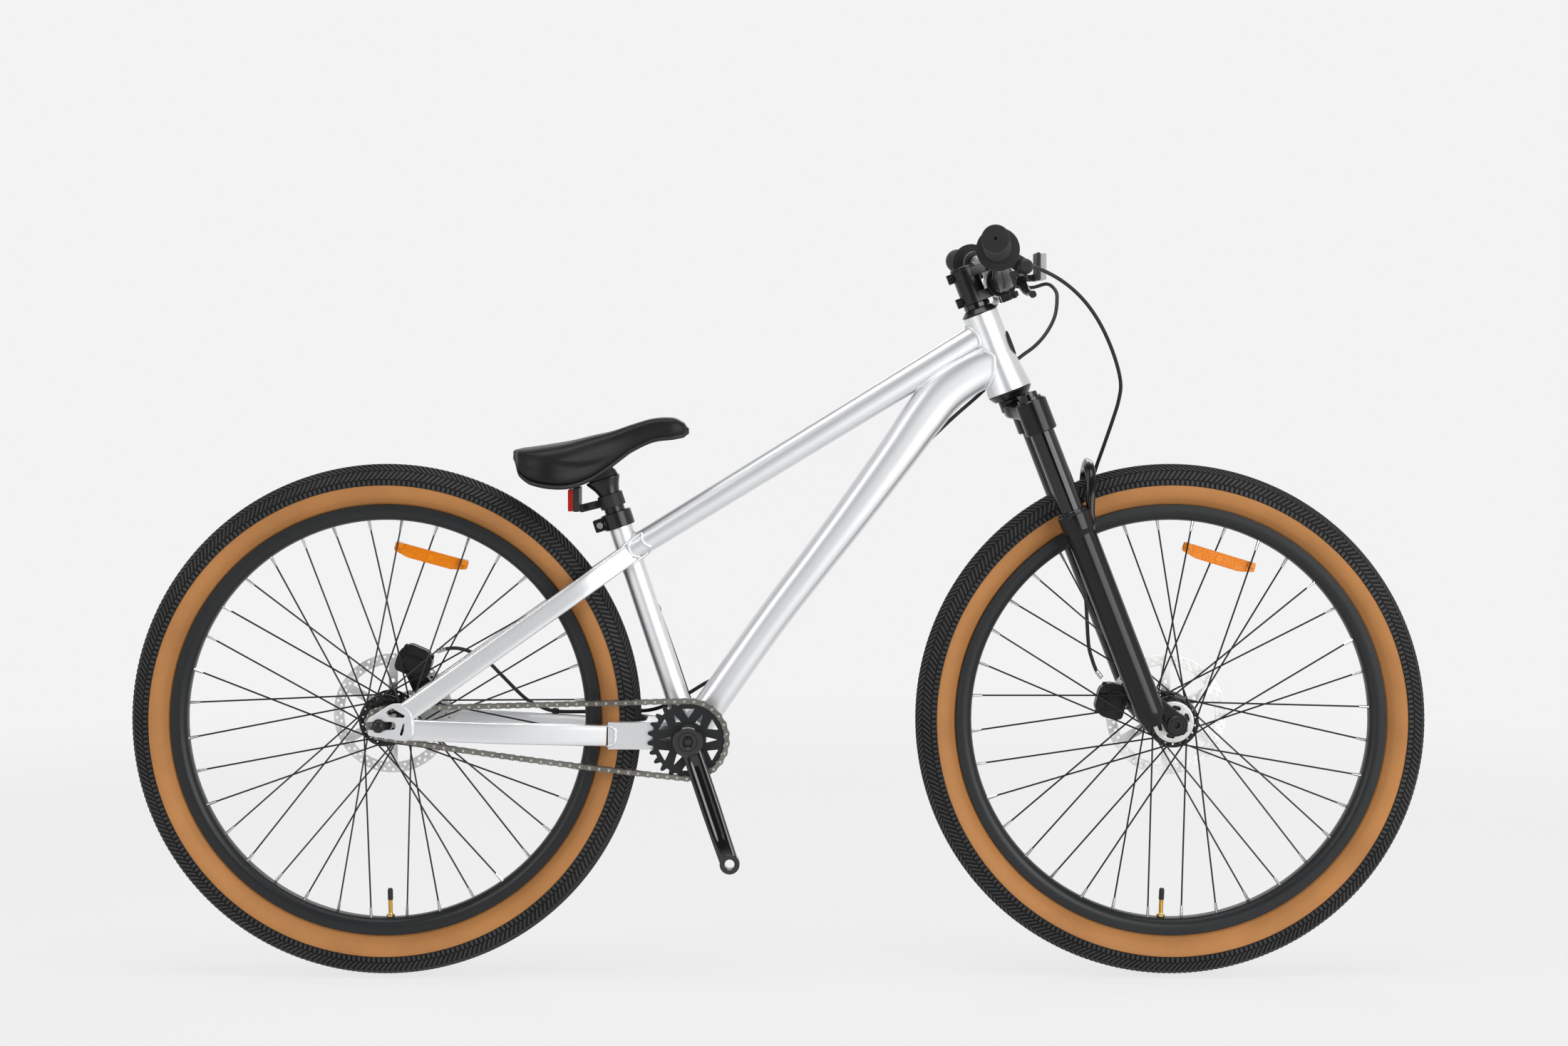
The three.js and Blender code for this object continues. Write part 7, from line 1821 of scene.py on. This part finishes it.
# Front reflector: a moulded clear lens in a black plastic backing.
# An arm from a ring round the bar holds it upright ahead of the stem.
FRONT_LENS_BACK = 45.6
FRONT_LENS_SEAT = 50.6
FRONT_LENS_FRONT = 58.6
FRONT_LENS_HALF = 28
FRONT_LENS_RISE = (1.1, 38.1)
FRONT_ARM = (25.3, 34.3)
FRONT_ARM_HEIGHT = 9
FRONT_RING_RADIUS = 20.4
clear_lens = lens_plastic("clear_lens", (0.5, 0.51, 0.53), (0.26, 0.27, 0.28))
upright_place = steering_place @ Matrix.Translation(bar_centre) @ Matrix.Rotation(HEAD_ANGLE, 4, "Y")
low, high = FRONT_LENS_RISE
arm_low, arm_high = FRONT_ARM
arm_end = (FRONT_LENS_BACK + 4, arm_high, low + FRONT_ARM_HEIGHT)
lens = block((FRONT_LENS_SEAT, 1 - FRONT_LENS_HALF, low + 1),
             (FRONT_LENS_FRONT, FRONT_LENS_HALF - 1, high - 1), 2)
bracket_parts = [
    block((FRONT_LENS_BACK, -FRONT_LENS_HALF, low), (FRONT_LENS_SEAT, FRONT_LENS_HALF, high), 2),
    block((BAR_CLAMP_RADIUS + 1, arm_low, low), arm_end, 1.5),
    block((FRONT_LENS_BACK - 4.5, 4, low), arm_end, 1.5),
    turned(collar(BAR_CLAMP_RADIUS + 0.4, FRONT_RING_RADIUS, *FRONT_ARM, 0.8), "Y", closed=True),
]
piece("front_reflector_lens", lens, clear_lens, "steering", upright_place, "front_reflector")
piece("front_reflector_bracket", joined(*bracket_parts), black_plastic, "steering", upright_place)


# Brake hoses: stiff black lines from each lever to its caliper, clipped along the leg and the stays.
HOSE_RADIUS = 2.5
FRONT_HOSE = [
    (306, -156.8, 926), (309, -146, 928), (326.6, -138, 929.8), (361.7, -120, 914.1), (393.7, -90, 889.8),
    (419.5, -62, 857.8), (439.8, -36, 818.7), (451.4, -14, 783), (451, 2, 758.3), (444.7, 16, 731.6),
    (434.7, 29, 698), (422, 37, 658), (411, 39.6, 610), (404, 39.8, 570), (406, 39.4, 530), (411, 38, 495),
    (414.6, 38, 433.6), (419.5, 37, 411), (426, 37, 394), (432.3, 37, 385.8),
]
REAR_HOSE = [
    (306, 156.6, 926), (309, 146, 922), (320, 138, 913.5), (346.7, 131, 910.5), (366.7, 118, 915),
    (377, 104, 905.8), (378.2, 94, 893.1), (373.9, 80, 870.7), (362.2, 66, 849.4), (345.6, 52, 831.1),
    (324.8, 41, 815.9), (300, 35.5, 796), (268, 32, 765), (226, 29, 728), (180, 28.5, 682), (96, 28, 590),
    (12, 27.5, 478), (-45, 27.5, 409), (-72, 26.3, 391), (-95, 24, 382), (-122, 22.5, 366), (-149, 24, 352),
    (-168, 32, 344.5), (-190, 40, 341.3), (-254.6, 46, 339.6), (-299.8, 51, 339.6), (-322, 54, 346),
    (-342.2, 57, 357), (-374, 62, 387), (-389, 66.6, 401), (-404, 68.2, 411), (-420, 66.6, 419), (-436, 62, 423),
    (-452, 58, 421.6), (-460.2, 56.5, 419.3),
]
hose_rubber = finish("hose_rubber", (0.016, 0.016, 0.017), 0.4, grain=1200, bump=0.04,
                     mottle=0.1)


def brake_line(name, points):
    path = smooth_path(points, 6)
    hose = rope(path, LATERAL, [HOSE_RADIUS] * len(path), 14, False)
    return piece(f"{name}_brake_line", hose, hose_rubber, None, None, f"{name}_brake_hose")


front_line = brake_line("front", FRONT_HOSE)
rear_line = brake_line("rear", REAR_HOSE)
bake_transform(front_line)
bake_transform(rear_line)


# Hose ends and clips: a bright crimped fitting where each hose enters its caliper, rubber boots at the
# levers, and small black clips screwed to the fork leg and the frame.
FITTING_LENGTH = 12
FITTING_RADIUS = 3.4
BOOT_RADIUS = 3.8
CLIP_RADIUS = 4.3
CLIP_HALF = 4
SLEEVE_SHARES = [
    (0, 0.8), (0.06, 1), (0.3, 1), (0.34, 0.9), (0.4, 0.9), (0.44, 1), (0.7, 1), (0.74, 0.9), (0.8, 0.9),
    (0.84, 1), (0.95, 1), (1, 0.8),
]
HOSE_CLIPS = {"front": (FRONT_HOSE, "fork_slider", (13,)), "rear": (REAR_HOSE, "frame", (16, 21, 25))}


def sleeve(a, b, radius):
    """A short crimped sleeve on a hose, with two grooves."""
    along = b - a
    side = along.orthogonal().normalized()
    up = along.normalized().cross(side)
    return skin([section(a + along * s, side, up, radius * r, radius * r, 0, 16) for s, r in SLEEVE_SHARES])


for name, (points, body, clip_spots) in HOSE_CLIPS.items():
    points = [Vector(p) for p in points]
    first, after, before, last = points[0], points[1], points[-2], points[-1]
    fitting = sleeve(last + (before - last).normalized() * FITTING_LENGTH, last, FITTING_RADIUS)
    boot = sleeve(first, first.lerp(after, 0.95), BOOT_RADIUS)
    clips = []
    for i in clip_spots:
        reach = (points[i + 1] - points[i - 1]).normalized() * CLIP_HALF
        clips.append(sleeve(points[i] - reach, points[i] + reach, CLIP_RADIUS))
        clips.append(hex_bolt(points[i] - LATERAL * (CLIP_RADIUS - 0.6), -LATERAL, 2.6, 2))
    piece(f"{name}_hose_fitting", fitting, bolt_steel, body)
    piece(f"{name}_hose_boot", boot, black_rubber, "steering")
    piece(f"{body}_hose_clips", joined(*clips), black_plastic, body)
